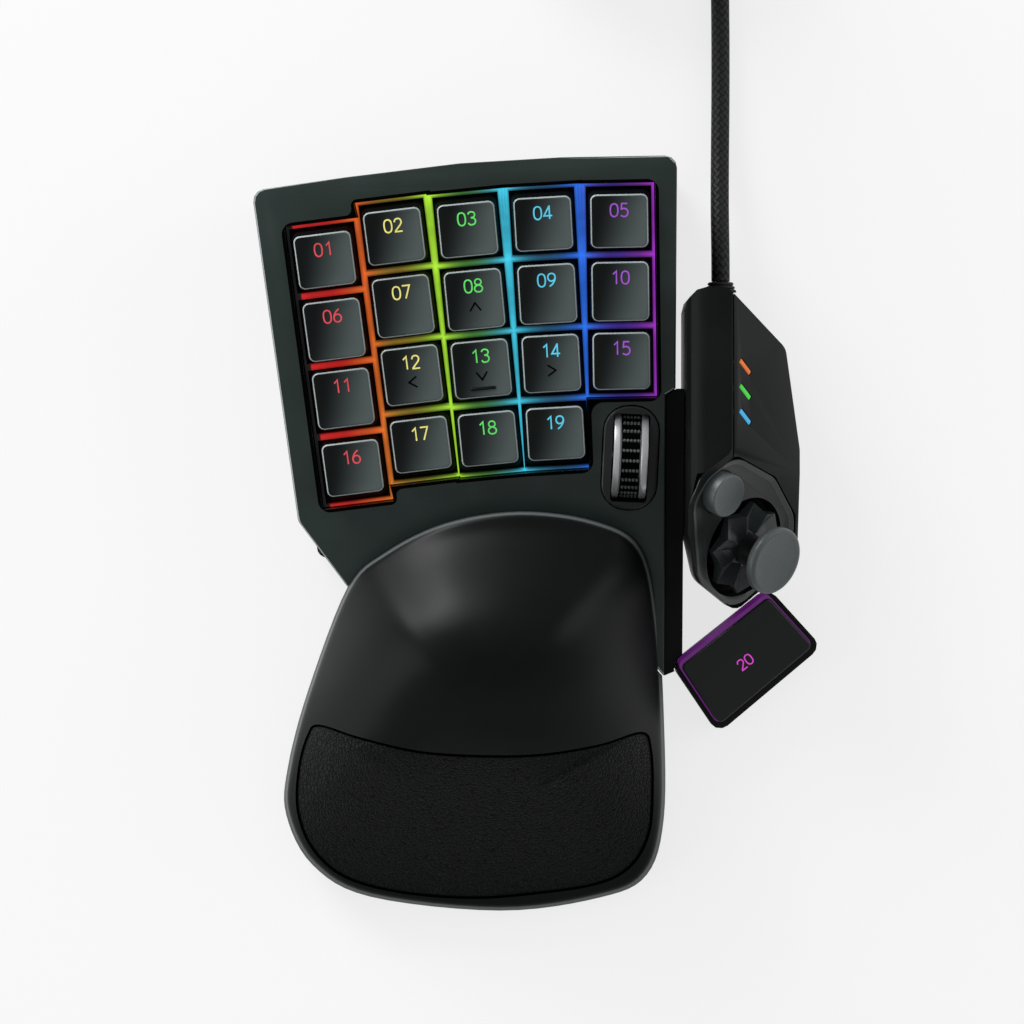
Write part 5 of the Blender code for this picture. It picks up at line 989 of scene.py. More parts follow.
def smooth_line(points: Sequence[Sequence[float]], steps: int, closed: bool = False) -> list[Vector]:
    """A smooth curve through the given points.

    Args:
        points: The points, in order.
        steps: How many steps lie between two points.
        closed: Whether it comes back to its start.

    Returns:
        The curve's points.
    """
    spots, last = [Vector(spot) for spot in points], len(points) - 1
    line: list[Vector] = []
    for index in range(last + closed):
        places = [index + shift for shift in (-1, 0, 1, 2)]
        a, b, c, d = (spots[place % (last + 1) if closed else min(max(place, 0), last)] for place in places)
        bend, twist = 2 * a - 5 * b + 4 * c - d, 3 * b - a - 3 * c + d
        for share in (step / steps for step in range(steps)):
            line.append(0.5 * (2 * b + (c - a) * share + bend * share ** 2 + twist * share ** 3))
    return line if closed else line + spots[-1:]


def even_path(points: Sequence[Vector], spacing: float) -> list[Vector]:
    """Points at equal distances along a path.

    Args:
        points: The path.
        spacing: About how far apart the new points lie.

    Returns:
        The new points, with the path's own two ends.
    """
    reach = [0.0]
    for start, end in zip(points, points[1:]):
        reach.append(reach[-1] + (end - start).length)
    count = max(2, round(reach[-1] / spacing))
    made: list[Vector] = []
    index = 0
    for step in range(count + 1):
        goal = reach[-1] * step / count
        while index < len(points) - 2 and reach[index + 1] < goal:
            index += 1
        span = reach[index + 1] - reach[index]
        made.append(points[index].lerp(points[index + 1], (goal - reach[index]) / span if span else 0.0))
    return made


def offset(outline: Sequence[Point], distance: float) -> list[Point]:
    """Moves each side of a closed outline out.

    Args:
        outline: The outline.
        distance: How far; a negative distance moves it in.

    Returns:
        The moved outline.
    """
    count = len(outline)
    area = sum(outline[i - 1][0] * outline[i][1] - outline[i][0] * outline[i - 1][1] for i in range(count))
    sign = 1.0 if area > 0 else -1.0
    moved: list[Point] = []
    for index in range(count):
        back = (Vector(outline[index]) - Vector(outline[index - 1])).normalized()
        ahead = (Vector(outline[(index + 1) % count]) - Vector(outline[index])).normalized()
        mitre = (Vector((back.y, -back.x)) + Vector((ahead.y, -ahead.x))) * sign
        scale = 2.0 / max(mitre.length_squared, 1.0)
        moved.append(tuple(Vector(outline[index]) + mitre * scale * distance))
    return moved


def read_curve(table: Sequence[Point], share: float) -> float:
    """Reads a smooth curve through a table whose first column falls.

    Args:
        table: Place and value of each point.
        share: The place to read.

    Returns:
        The value there.
    """
    share = min(max(share, table[-1][0]), table[0][0])
    index = next(i for i in range(len(table) - 1) if share >= table[i + 1][0])
    slopes = []
    for place in (index, index + 1):
        before, after = table[max(place - 1, 0)], table[min(place + 1, len(table) - 1)]
        slopes.append((after[1] - before[1]) / (after[0] - before[0]))
    (a, low), (b, high) = table[index], table[index + 1]
    span = b - a
    t = (share - a) / span
    return (
        (2 * t ** 3 - 3 * t ** 2 + 1) * low + (t ** 3 - 2 * t ** 2 + t) * span * slopes[0]
        + (3 * t ** 2 - 2 * t ** 3) * high + (t ** 3 - t ** 2) * span * slopes[1]
    )


def rolled(width: float, steps: int) -> Shares:
    """Shares of the rings that round an outline off over a width, close together at its edge."""
    return tuple(1.0 - width * (1 - math.cos(math.pi / 2 * step / steps)) for step in range(steps + 1))


def ease(share: float) -> float:
    """Starts and ends a climb softly."""
    share = min(max(share, 0.0), 1.0)
    return share * share * (3 - 2 * share)


STROKES: dict[str, tuple[tuple[Point, ...], ...]] = {
    "0": (((0.3, 1.0), (0.1, 0.9), (0.02, 0.66), (0.02, 0.34), (0.1, 0.1), (0.3, 0.0),
           (0.5, 0.1), (0.58, 0.34), (0.58, 0.66), (0.5, 0.9), (0.3, 1.0)),),
    "1": (((0.14, 0.76), (0.4, 1.0), (0.4, 0.0)),),
    "2": (((0.04, 0.74), (0.12, 0.93), (0.31, 1.0), (0.5, 0.93), (0.57, 0.73), (0.49, 0.53),
           (0.27, 0.28), (0.04, 0.02)),
          ((0.0, 0.0), (0.6, 0.0))),
    "3": (((0.03, 0.82), (0.14, 0.96), (0.32, 1.0), (0.5, 0.92), (0.55, 0.75), (0.46, 0.59), (0.24, 0.54)),
          ((0.24, 0.54), (0.47, 0.49), (0.58, 0.29), (0.5, 0.08), (0.3, 0.0), (0.12, 0.03), (0.02, 0.17))),
    "4": (((0.63, 0.25), (0.0, 0.25), (0.43, 1.0)), ((0.43, 1.04), (0.43, 0.0))),
    "5": (((0.54, 1.0), (0.11, 1.0), (0.07, 0.52)),
          ((0.07, 0.54), (0.22, 0.62), (0.42, 0.59), (0.56, 0.43), (0.56, 0.2), (0.43, 0.03),
           (0.22, 0.0), (0.03, 0.1))),
    "6": (((0.47, 1.0), (0.24, 0.82), (0.07, 0.55), (0.02, 0.3), (0.1, 0.08), (0.3, 0.0),
           (0.5, 0.08), (0.58, 0.3), (0.5, 0.52), (0.3, 0.6), (0.1, 0.5), (0.03, 0.34)),),
    "7": (((0.0, 1.0), (0.57, 1.0), (0.2, 0.0)),),
    "8": (((0.3, 0.54), (0.11, 0.62), (0.06, 0.78), (0.13, 0.94), (0.3, 1.0), (0.47, 0.94),
           (0.54, 0.78), (0.49, 0.62), (0.3, 0.54)),
          ((0.3, 0.54), (0.08, 0.44), (0.0, 0.26), (0.08, 0.07), (0.3, 0.0), (0.52, 0.07),
           (0.6, 0.26), (0.52, 0.44), (0.3, 0.54))),
}
STROKES["9"] = tuple(tuple((0.6 - x, 1.0 - y) for x, y in stroke) for stroke in STROKES["6"])


def dished(radius: float, top: float, depth: float, shares: Sequence[float]) -> list[Point]:
    """The hollow part of a turned top.

    Args:
        radius: The piece's radius.
        top: The height that the hollow rises to.
        depth: How deep it is in the middle.
        shares: The places of its points, as shares of the radius.

    Returns:
        Radius and height of each point, from the middle out.
    """
    return [(radius * share, top - depth * (1 - share ** 2)) for share in (0.0, *shares)]


def rod(radius: float, low: float, high: float, steps: int, work: Workpiece | None = None) -> Workpiece:
    """Turns an upright rod about the origin, into a mesh of its own or another one."""
    return (work or Workpiece()).turned([(0.0, high), (radius, high), (radius, low), (0.0, low)], steps)


def draw_stroke(work: Workpiece, points: Sequence[Point], width: float) -> None:
    """Adds one flat pen stroke of even width along a line of points.

    Args:
        work: The mesh that it joins.
        points: The stroke's middle line.
        width: The pen's width.
    """
    line = [Vector(spot).to_3d() for spot in points]
    ways = [(end - start).normalized() for start, end in zip(line, line[1:])]
    sides = []
    for back, ahead in zip(ways[:1] + ways, ways + ways[-1:]):
        way = (back + ahead).normalized()
        sides.append(Vector((-way.y, way.x, 0.0)) * width / max(2 * way.dot(ahead), 1.0))
    spots = [work.bm.verts.new(spot + side) for spot, side in zip(line, sides)]
    chain = [work.bm.edges.new(pair) for pair in zip(spots, spots[1:])]
    made = bmesh.ops.extrude_edge_only(work.bm, edges=chain)["geom"]
    for vert in (item for item in made if isinstance(item, bmesh.types.BMVert)):
        index = min(range(len(spots)), key=lambda place: (spots[place].co - vert.co).length_squared)
        vert.co -= 2 * sides[index]


def drawn_number(words: str, height: float, gap: float, pen: float) -> Workpiece:
    """Draws flat digits about the origin with an even pen.

    Args:
        words: The digits.
        height: Their height.
        gap: The space between them.
        pen: Width of the strokes.

    Returns:
        The digits.
    """
    work = Workpiece()
    step = 0.6 * height + gap
    left = -(step * len(words) - gap) / 2
    for index, digit in enumerate(words):
        for stroke in STROKES[digit]:
            line = [Vector(spot).to_3d() for spot in stroke]
            line = smooth_line(line, 4) if len(line) > 3 else line
            spots = [(left + index * step + spot.x * height, (spot.y - 0.5) * height) for spot in line]
            draw_stroke(work, spots, pen)
    return work


# Studio and cable, which come first

@dataclass
class Studio:
    """The camera over the object, the pale floor and the soft lamps."""

    camera_place: Spot = (-8.15 * MM, 7.25 * MM, 1168.5 * MM)
    lens: float = 150.0
    floor_size: float = 4.0
    floor_colour: Colour = ink(250, 250, 250)
    sky_strength: float = 0.35
    floor_shine: float = 0.75
    lamps: tuple[tuple[str, Spot, float, float], ...] = (
        ("key_lamp", (-0.9, 1.3, 0.6), 0.75, 24.0), ("left_lamp", (-1.3, -0.3, 0.6), 1.1, 6.0),
        ("side_lamp", (1.3, 0.3, 0.6), 1.0, 5.0),
    )

    def build(self) -> None:
        """Sets up the camera, the floor, the lamps and the sky."""
        scene = bpy.context.scene
        scene.view_settings.view_transform = "Standard"
        view = bpy.data.cameras.new("camera")
        view.lens = self.lens
        view.sensor_width = 36.0
        view.clip_start, view.clip_end = 0.05, 20.0
        scene.camera = linked("camera", view)
        scene.camera.location = self.camera_place
        self.floor()
        self.sky()
        for lamp in self.lamps:
            self.lamp(*lamp)

    def floor(self) -> None:
        """Lays the pale floor under the object."""
        work = Workpiece()
        bmesh.ops.create_grid(work.bm, x_segments=8, y_segments=8, size=self.floor_size)
        work.move(Matrix.Translation((0.0, 0.0, -0.05 * MM)))
        floor = work.as_object("floor")
        made = bpy.data.materials.new("pale_floor")
        made.use_nodes = True
        shader = made.node_tree.nodes["Principled BSDF"]
        fill(shader, {"Base Color": self.floor_colour, "Roughness": 0.9, "Specular IOR Level": 0.1})
        self.whiten(made.node_tree, shader)
        floor.data.materials.append(made)

    def whiten(self, tree: Tree, shader: Node) -> None:
        """Lets the camera and glossy surfaces see the floor paler than the lamps make it.

        Args:
            tree: The floor's nodes.
            shader: Its Principled shader.
        """
        white = tree.nodes.new("ShaderNodeEmission")
        path = tree.nodes.new("ShaderNodeLightPath")
        seen, share = tree.nodes.new("ShaderNodeMath"), tree.nodes.new("ShaderNodeMath")
        seen.operation, share.operation = "MAXIMUM", "MULTIPLY"
        tree.links.new(path.outputs["Is Camera Ray"], seen.inputs[0])
        tree.links.new(path.outputs["Is Glossy Ray"], seen.inputs[1])
        tree.links.new(seen.outputs[0], share.inputs[0])
        share.inputs[1].default_value = self.floor_shine
        self.choose(tree, share.outputs[0], shader, white, tree.nodes["Material Output"])

    @staticmethod
    def choose(tree: Tree, share: Socket, first: Node, second: Node, output: Node) -> None:
        """Blends two shaders into an output.

        Args:
            tree: The nodes that they are in.
            share: How much of the second shows.
            first: The first shader.
            second: The second shader.
            output: The output node.
        """
        choice = tree.nodes.new("ShaderNodeMixShader")
        for start, end in zip((share, first.outputs[0], second.outputs[0]), choice.inputs):
            tree.links.new(start, end)
        tree.links.new(choice.outputs[0], output.inputs["Surface"])

    def sky(self) -> None:
        """Lights the whole scene evenly, and shows white behind the floor."""
        world = bpy.data.worlds.new("sky")
        bpy.context.scene.world = world
        world.use_nodes = True
        tree = world.node_tree
        ground, white = tree.nodes["Background"], tree.nodes.new("ShaderNodeBackground")
        fill(ground, {"Color": (1.0, 1.0, 1.0, 1.0), "Strength": self.sky_strength})
        fill(white, {"Strength": 1.0})
        seen = tree.nodes.new("ShaderNodeLightPath").outputs["Is Camera Ray"]
        self.choose(tree, seen, ground, white, tree.nodes["World Output"])

    def lamp(self, name: str, place: Spot, size: float, power: float) -> None:
        """Hangs one soft lamp that points at the object.

        Args:
            name: The lamp's name.
            place: Where it hangs.
            size: Length of its sides.
            power: Its power in watts.
        """
        light = bpy.data.lights.new(name, "AREA")
        light.size = size
        light.energy = power
        lamp = linked(name, light)
        lamp.location = place
        lamp.rotation_euler = (-Vector(place)).to_track_quat("-Z", "Y").to_euler()


@dataclass
class Cable:
    """The braided cable: its way out of the thumb module, its coil, its plug and the tie."""

    diameter: float = 5.0 * MM
    exit_x: float = 48.4025 * MM
    exit_y: float = 66.5 * MM
    exit_z: float = 11.5 * MM
    route_start: float = 1.3 * MM
    turns_in_layer: int = 3
    layers: int = 4
    pitch: float = 5.5 * MM
    rise: float = 5.45 * MM
    inner_radius: float = 18.3 * MM
    coil_y: float = 196.0 * MM
    points_a_turn: int = 20
    tail_radius: float = 20.0 * MM
    tail_turns: float = 0.3
    gap: float = 0.3 * MM
    tie_thickness: float = 1.0 * MM
    plug_height: float = 7.6 * MM
    spacing: float = 2.4 * MM
    bore_gap: float = 0.02 * MM
    grip_round: float = 0.28
    groove_height: float = 0.62
    mouth_drop: float = 0.1 * MM
    mouth_share: float = 0.72
    neck: Point = (3.5 * MM, 0.3 * MM)
    ribs: int = 3
    rib_start: float = 0.35
    rib_spaces: float = 3.2
    rib_share: float = 0.8
    rib_growth: float = 0.08
    rib_step: Point = (0.35 * MM, 0.5 * MM)
    groove: float = 0.9 * MM
    groove_shares: Spot = (0.3, 0.42, 0.54)
    route: tuple[Spot, ...] = (
        (0.0, 2.0, 11.5), (0.0, 10.0, 10.6), (0.0, 22.0, 7.2), (0.2, 36.0, 3.9), (0.4, 52.0, 2.6),
        (0.4, 70.0, 2.6), (0.2, 88.0, 2.7), (0.0, 106.0, 3.3), (0.0, 118.0, 3.8),
    )

    def __post_init__(self) -> None:
        """Works out the coil's radius, its middle and the heights of its turns and of the plug."""
        self.outer_radius = self.inner_radius + self.turns_in_layer * self.pitch
        self.centre = Vector((self.exit_x - self.outer_radius, self.coil_y, 0.0))
        self.rest_z = self.diameter / 2 + self.tie_thickness + self.gap
        self.top_z = self.rest_z + (self.layers - 1) * self.rise
        self.plug_z = self.top_z + self.diameter / 2 + self.gap + self.plug_height / 2

    def centre_line(self) -> list[Vector]:
        """The cable's centre line from the module's rear to the plug.

        Returns:
            The line's points.
        """
        start = Vector((self.exit_x, self.exit_y + self.route_start, 0.0))
        lead = [start + Vector(spot) * MM for spot in self.route]
        return lead[:1] + smooth_line(lead + self.coil(), 3)[1:]

    def coil(self) -> list[Vector]:
        """The coil's loops, piled in layers that spiral in and out, and the rise to the plug.

        Returns:
            The points, a turn's worth at a time.
        """
        turns = self.layers * self.turns_in_layer
        climb = self.plug_z - self.top_z
        around = math.tau * self.outer_radius
        climb_length = self.tail_turns * around + math.radians(60.0) * self.tail_radius
        points = [self.centre + Vector((self.outer_radius, -self.diameter, self.rest_z))]
        for step in range(turns * self.points_a_turn + 1):
            turn = step / self.points_a_turn
            cycle = turn % (2 * self.turns_in_layer)
            away = min(cycle, 2 * self.turns_in_layer - cycle)
            radius = self.outer_radius - self.pitch * away
            z = self.rest_z
            for layer in range(1, self.layers):
                z += self.rise * min(max((turn - layer * self.turns_in_layer + 0.25) / 0.5, 0.0), 1.0)
            z += climb * ease((turn - turns + self.tail_turns) * around / climb_length)
            spot = Vector((radius * math.cos(math.tau * turn), radius * math.sin(math.tau * turn), z))
            points.append(self.centre + spot)
        hinge = self.centre + Vector((self.outer_radius - self.tail_radius, 0.0, 0.0))
        for step in range(1, 9):
            angle = math.pi / 2 * step / 8
            run = self.tail_turns * around + angle * self.tail_radius
            z = self.top_z + climb * ease(run / climb_length)
            spot = Vector((self.tail_radius * math.cos(angle), self.tail_radius * math.sin(angle), z))
            points.append(hinge + spot)
        points.append(points[-1] - Vector((self.diameter, 0.0, 0.0)))
        return points

    def build(self) -> None:
        path = even_path(self.centre_line(), self.spacing)
        length = sum((end - start).length for start, end in zip(path, path[1:]))
        cord = self.tube(path)
        finish = Braid("woven_cord", Slot.BRAID, ink(5, 6, 6), ink(27, 30, 29), length)
        dress(cord, finish, Body.CASE.value, ["cable_lead", "cable_coil"], 60.0)
        plug = self.plug_body(path[-1])
        shell = Refined("plug_shell", STEEL, 0.1 * MM).build()
        tie = Refined("cable_tie", RUBBER, 0.2 * MM).build()
        self.grommet()
        LOG.info("cable length %.2f m", length)

    def tube(self, path: Sequence[Vector]) -> Piece:
        """Makes the cord's round tube, whose UV map runs along and round it.

        Args:
            path: The centre line.

        Returns:
            The cord.
        """
        curve = bpy.data.curves.new("cable", "CURVE")
        curve.dimensions = "3D"
        curve.bevel_depth = self.diameter / 2
        curve.bevel_resolution = 4
        curve.use_fill_caps = True
        line = curve.splines.new("POLY")
        line.points.add(len(path) - 1)
        for point, spot in zip(line.points, path):
            point.co = (*spot, 1.0)
        carrier = linked("cable_carrier", curve)
        bpy.context.view_layer.update()
        mesh = bpy.data.meshes.new_from_object(carrier.evaluated_get(bpy.context.evaluated_depsgraph_get()))
        bpy.data.objects.remove(carrier)
        bpy.data.curves.remove(curve)
        return linked("cable", mesh)

    def plug_body(self, end: Vector) -> Piece:
        """Makes the plug's grip, rounded and ribbed.

        Args:
            end: Where the cable goes into it; not used.

        Returns:
            The grip.
        """
        low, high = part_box("plug_body")
        size = high - low
        work = Workpiece().block(size, (low + high) / 2)
        work.round_edges(work.bm.edges, size.z * self.grip_round, 4)
        grip = work.as_object("plug_grip")
        for share in self.groove_shares:
            for side in (low.y, high.y):
                place = (low.x + size.x * (1.0 - share), side, (low.z + high.z) / 2)
                carve(grip, Workpiece().block((self.groove, self.groove, size.z * self.groove_height), place))
        return dress(grip, RUBBER, Body.CASE.value, ["plug_body"])

    def grommet(self) -> None:
        """Makes the sleeve that the cable leaves the module through."""
        low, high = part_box("cable_grommet")
        reach, foot = high.y - self.exit_y, low.y - self.exit_y
        wide = (high.x - low.x) / 2
        bore, (neck, seat), (flat, drop) = self.diameter / 2 + self.bore_gap, self.neck, self.rib_step
        profile = [(bore, reach - self.mouth_drop), (wide * self.mouth_share, reach)]
        for rib in range(self.ribs):
            y = reach - (rib + self.rib_start) * reach / self.rib_spaces
            radius = wide * (self.rib_share + self.rib_growth * rib)
            profile += [(radius, y), (radius, y - flat), (radius - flat, y - drop)]
        profile += [(wide, seat), (neck, seat), (neck, foot), (bore, foot), profile[0]]
        place = Matrix.Translation((self.exit_x, self.exit_y, self.exit_z))
        work = Workpiece().turned(profile, 48).move(place @ Matrix.Rotation(-math.pi / 2, 4, "X"))
        dress(work.as_object("grommet_sleeve"), RUBBER, Body.CASE.value, ["cable_grommet"])


# Key deck

@dataclass
class Deck:
    """The sloping plane that carries the keys, the wheel and the case top."""

    tilt: float = math.radians(10.0)
    height: float = 26.1 * MM

    @property
    def matrix(self) -> Matrix:
        """Places a thing laid out on the deck into the object's frame."""
        return Matrix.Translation((0.0, 0.0, self.height)) @ Matrix.Rotation(self.tilt, 4, "X")

    def lean(self, work: Workpiece) -> Workpiece:
        """Shears a mesh so that what was level follows the deck, and upright walls stay upright.

        Args:
            work: The mesh, laid out level.

        Returns:
            The same mesh.
        """
        shear = Matrix.Identity(4)
        shear[2][1] = math.tan(self.tilt)
        shear[2][3] = self.height
        return work.move(shear)


@dataclass
class KeySlot:
    """One key's number and place."""

    number: int
    column: int
    row: int
    matrix: Matrix

    @property
    def label(self) -> str:
        """The number in two digits."""
        return "%02d" % self.number

    @property
    def body(self) -> str:
        """The body of the key's cap."""
        return "cap_" + self.label


@dataclass
class KeyField:
    """Nineteen dished keycaps with lit numbers, on the light guide between them."""

    deck: Deck
    middle: Point = (-17.1 * MM, 55.1 * MM)
    pitch: float = 19.05 * MM
    skirt: float = 16.8 * MM
    top: float = 4.0 * MM
    skirt_depth: float = 3.8 * MM
    wall: float = 1.4 * MM
    roof: float = 2.0 * MM
    corner: float = 1.9 * MM
    face_width: float = 15.2 * MM
    face_depths: Shares = (14.2 * MM, 15.8 * MM, 15.3 * MM, 14.2 * MM)
    face_shifts: Shares = (0.0, 0.38 * MM, 0.86 * MM, 1.14 * MM)
    rim: float = 0.55 * MM
    rim_share: float = 0.85
    rim_slopes: Point = (0.7, 0.95)
    dish: float = 0.5 * MM
    dish_rings: Shares = (0.93, 0.84, 0.72, 0.58, 0.43, 0.28, 0.13)
    dish_highlight_share: float = 0.42
    dish_highlight_fall: float = 0.25
    plunger: float = 6.0 * MM
    plunger_depth: float = 12.0 * MM
    angles: Shares = (7.2, 7.0, 5.5, 3.4, 1.1)
    x_shares: Shares = (-1.935, -0.976, 0.0, 0.991, 1.983)
    v_shares: Shares = (-0.42, -0.09, 0.0, 0.078, 0.113)
    rows_in_column: tuple[int, ...] = (4, 4, 4, 4, 3)
    digit_height: float = 3.45 * MM
    digit_gap: float = 0.6 * MM
    digit_pen: float = 0.4 * MM
    digit_drop: float = 4.2 * MM
    print_depth: float = 0.1 * MM
    print_rise: float = 0.05 * MM
    mark_half: Point = (1.45 * MM, 1.05 * MM)
    mark_pen: float = 0.42 * MM
    bar_half: Point = (3.4 * MM, 0.42 * MM)
    bar_rise: float = 0.45 * MM
    homing_key: int = 13
    mark_share: float = 0.62
    bar_share: float = 0.84
    number_inks: tuple[Colour, ...] = (
        ink(222, 66, 78), ink(240, 232, 128), ink(92, 226, 100), ink(84, 206, 236), ink(158, 76, 204),
    )
    well_margin: float = 0.2 * MM
    border: float = 0.9 * MM
    border_corner: float = 3.2 * MM
    guide_top: float = 2.0 * MM
    guide_cuts: Shares = (0.5 * MM, 1.1 * MM, 2.2 * MM)
    guide_steps: Shares = (2.2 * MM,) * 5 + (0.45 * MM,) * 3
    glow_depth: float = 3.0 * MM
    dark_share: float = 0.8
    upright_glow: Point = (0.62, 0.55 * MM)
    level_glow: Point = (0.36, 0.32 * MM)
    dimmest: float = 0.25
    chevrons: dict[int, float] = field(default_factory=lambda: {8: 0.0, 12: 90.0, 13: 180.0, 14: -90.0})

    def slots(self) -> list[KeySlot]:
        """Every key's number and place, row by row.

        Returns:
            The keys.
        """
        found: list[KeySlot] = []
        for row in range(4):
            for column in range(5):
                if row < self.rows_in_column[column]:
                    x = self.middle[0] + self.x_shares[column] * self.pitch
                    v = self.middle[1] + self.v_shares[column] * self.pitch
                    turn = Matrix.Rotation(math.radians(self.angles[column]), 4, "Z")
                    along = Matrix.Translation((0.0, (1.5 - row) * self.pitch, 0.0))
                    place = self.deck.matrix @ Matrix.Translation((x, v, 0.0)) @ turn @ along
                    found.append(KeySlot(len(found) + 1, column, row, place))
        return found

    def sink(self, row: int, x: float, y: float) -> float:
        """How far the dished face lies under its rim at a place on it.

        Args:
            row: The key's row.
            x: Place across the face.
            y: Place along the face.

        Returns:
            The depth, zero at the rim.
        """
        across = min(abs(x) / (self.face_width / 2 - self.rim), 1.0)
        along = min(abs(y - self.face_shifts[row]) / (self.face_depths[row] / 2 - self.rim), 1.0)
        return self.dish * (1.0 - across ** 2) * (1.0 - along ** 4)

    def cap(self, row: int) -> Workpiece:
        """Shapes one keycap, hollow from below, with its plunger.

        Args:
            row: The key's row, whose face has its own depth and shift.

        Returns:
            The cap about its own origin on the deck.
        """
        work = Workpiece()
        height = self.top + self.skirt_depth
        work.block((self.skirt, self.skirt, height), (0.0, 0.0, self.top - height / 2))
        upright = [
            edge for edge in work.bm.edges if abs(edge.verts[0].co.z - edge.verts[1].co.z) > height / 2
        ]
        work.round_edges(upright, self.corner, 6)
        shift = self.face_shifts[row]
        narrow, short = self.face_width / self.skirt, self.face_depths[row] / self.skirt
        face = work.highest()
        for vert in face.verts:
            vert.co.x *= narrow
            vert.co.y = vert.co.y * short + shift
        work.round_edges(face.edges, self.rim, 4)
        face = work.highest()
        sides = [edge for edge in face.edges if edge.calc_length() > self.face_width / 3]
        bmesh.ops.subdivide_edges(work.bm, edges=sides, cuts=9)
        work.rings(work.highest(), (0.0, shift), self.dish_rings)
        for vert in work.bm.verts:
            if abs(vert.co.z - self.top) < NEAR:
                vert.co.z -= self.sink(row, vert.co.x, vert.co.y)
        bottom = work.lowest()
        bmesh.ops.inset_region(work.bm, faces=[bottom], thickness=self.wall)
        roof = work.step_in(bottom, (0.0, 0.0), 1.0, height - self.roof)
        for vert in roof.verts:
            vert.co.x *= narrow
            vert.co.y = vert.co.y * short + shift
        bmesh.ops.inset_region(work.bm, faces=[roof], thickness=self.wall)
        reach = max(abs(vert.co.x) for vert in roof.verts)
        depth = max(vert.co.y for vert in roof.verts) - shift
        for vert in roof.verts:
            vert.co.x *= self.plunger / 2 / reach
            vert.co.y = (vert.co.y - shift) * self.plunger / 2 / depth
        work.step_in(roof, (0.0, 0.0), 1.0, -self.plunger_depth - self.top + self.roof)
        return work.outwards()

    def printed(self, slot: KeySlot, work: Workpiece, down: float, name: str, finish: Finish) -> None:
        """Lays flat print onto a key's dished face.

        Args:
            slot: The key.
            work: The print, flat about the origin.
            down: How far its middle lies from the face's rear edge.
            name: The print's name.
            finish: Its ink.
        """
        row = slot.row
        top_edge = self.face_shifts[row] + self.face_depths[row] / 2
        work.move(Matrix.Translation((0.0, top_edge - down, 0.0)))
        for vert in work.bm.verts:
            vert.co.z = self.top - self.sink(row, vert.co.x, vert.co.y)
        work.thicken(self.print_depth, self.print_rise).move(slot.matrix)
        dress(work.as_object(name + slot.label), finish, slot.body)

    def number(self, slot: KeySlot) -> None:
        """Prints a key's number on its cap.

        Args:
            slot: The key.
        """
        finish = Glow("number_ink_%d" % (slot.column + 1), Slot.LIGHT, self.number_inks[slot.column])
        work = drawn_number(slot.label, self.digit_height, self.digit_gap, self.digit_pen)
        self.printed(slot, work, self.digit_drop, "number_", finish)

    def chevron(self, slot: KeySlot) -> None:
        """Prints a dark direction mark under a key's number.

        Args:
            slot: The key.
        """
        half, rise = self.mark_half
        work = Workpiece()
        draw_stroke(work, [(-half, -rise), (0.0, rise), (half, -rise)], self.mark_pen)
        work.move(Matrix.Rotation(math.radians(self.chevrons[slot.number]), 4, "Z"))
        down = self.face_depths[slot.row] * self.mark_share
        self.printed(slot, work, down, "direction_mark_", DARK_MATTE_AND_SHADE)

    def homing_bar(self, slot: KeySlot) -> None:
        """Adds the raised bar that a finger finds the middle key by.

        Args:
            slot: The key.
        """
        y = self.face_shifts[slot.row] + self.face_depths[slot.row] * (0.5 - self.bar_share)
        outline = rounded_box(2 * self.bar_half[0], 2 * self.bar_half[1], 0.4 * MM, 6)
        work = Workpiece().prism(outline, -0.2 * MM, self.bar_rise)
        work.round_rim(self.bar_rise, 0.3 * MM, 3)
        work.move(slot.matrix @ Matrix.Translation((0.0, y, self.top - self.sink(slot.row, 0.0, y))))
        dress(work.as_object("homing_bar"), KEYCAP, slot.body)

    def keycap(self, slot: KeySlot) -> None:
        """Makes one keycap, with a painted highlight on its rim, painted shade on its skirt and a painted
        reflection across its face.

        Args:
            slot: The key.
        """
        work, wide = self.cap(slot.row), self.face_width
        rim_low, (skirt, rim) = self.top - self.rim * self.rim_share, self.rim_slopes
        # Painted shade: the skirt faces below the rim take the darker skirt finish.
        work.mark(2, lambda face: face.normal.z < skirt and face.calc_center_median().z < rim_low)
        # Painted highlight: the rounded rim faces take the light grey rim finish.
        work.mark(1, lambda face: face.normal.z < rim and face.calc_center_median().z >= rim_low)
        # Painted reflection: the face grows lighter towards its right and front, where the dish would mirror
        # the lamp.
        painted_highlight = work.bm.verts.layers.float.new("painted_highlight")
        for vert in work.bm.verts:
            vert[painted_highlight] = ease(self.dish_highlight_share + vert.co.x / wide - self.dish_highlight_fall * vert.co.y / wide)
        cap = work.move(slot.matrix).as_object("keycap_" + slot.label)
        dress(cap, KEYCAP, slot.body, ["key_" + slot.label], 30.0, [KEY_RIM_HIGHLIGHT, KEY_SKIRT_SHADE])

    def build(self) -> None:
        """Makes every key with its print, the light guide and the border, which is painted shade."""
        for slot in self.slots():
            self.keycap(slot)
            self.number(slot)
            if slot.number in self.chevrons:
                self.chevron(slot)
            if slot.number == self.homing_key:
                self.homing_bar(slot)
        self.lit_guide()
        self.well_shade_border()

    def column_spot(self, column: int, rows: float) -> Vector:
        """A place some rows up a column's middle line, laid out flat on the deck."""
        shares = Vector((self.x_shares[column], self.v_shares[column]))
        return Vector(self.middle) + (shares + self.column_turn(column) @ Vector((0.0, rows))) * self.pitch

    def column_turn(self, column: int) -> Matrix:
        """How far a column is turned on the deck."""
        return Matrix.Rotation(math.radians(self.angles[column]), 2)

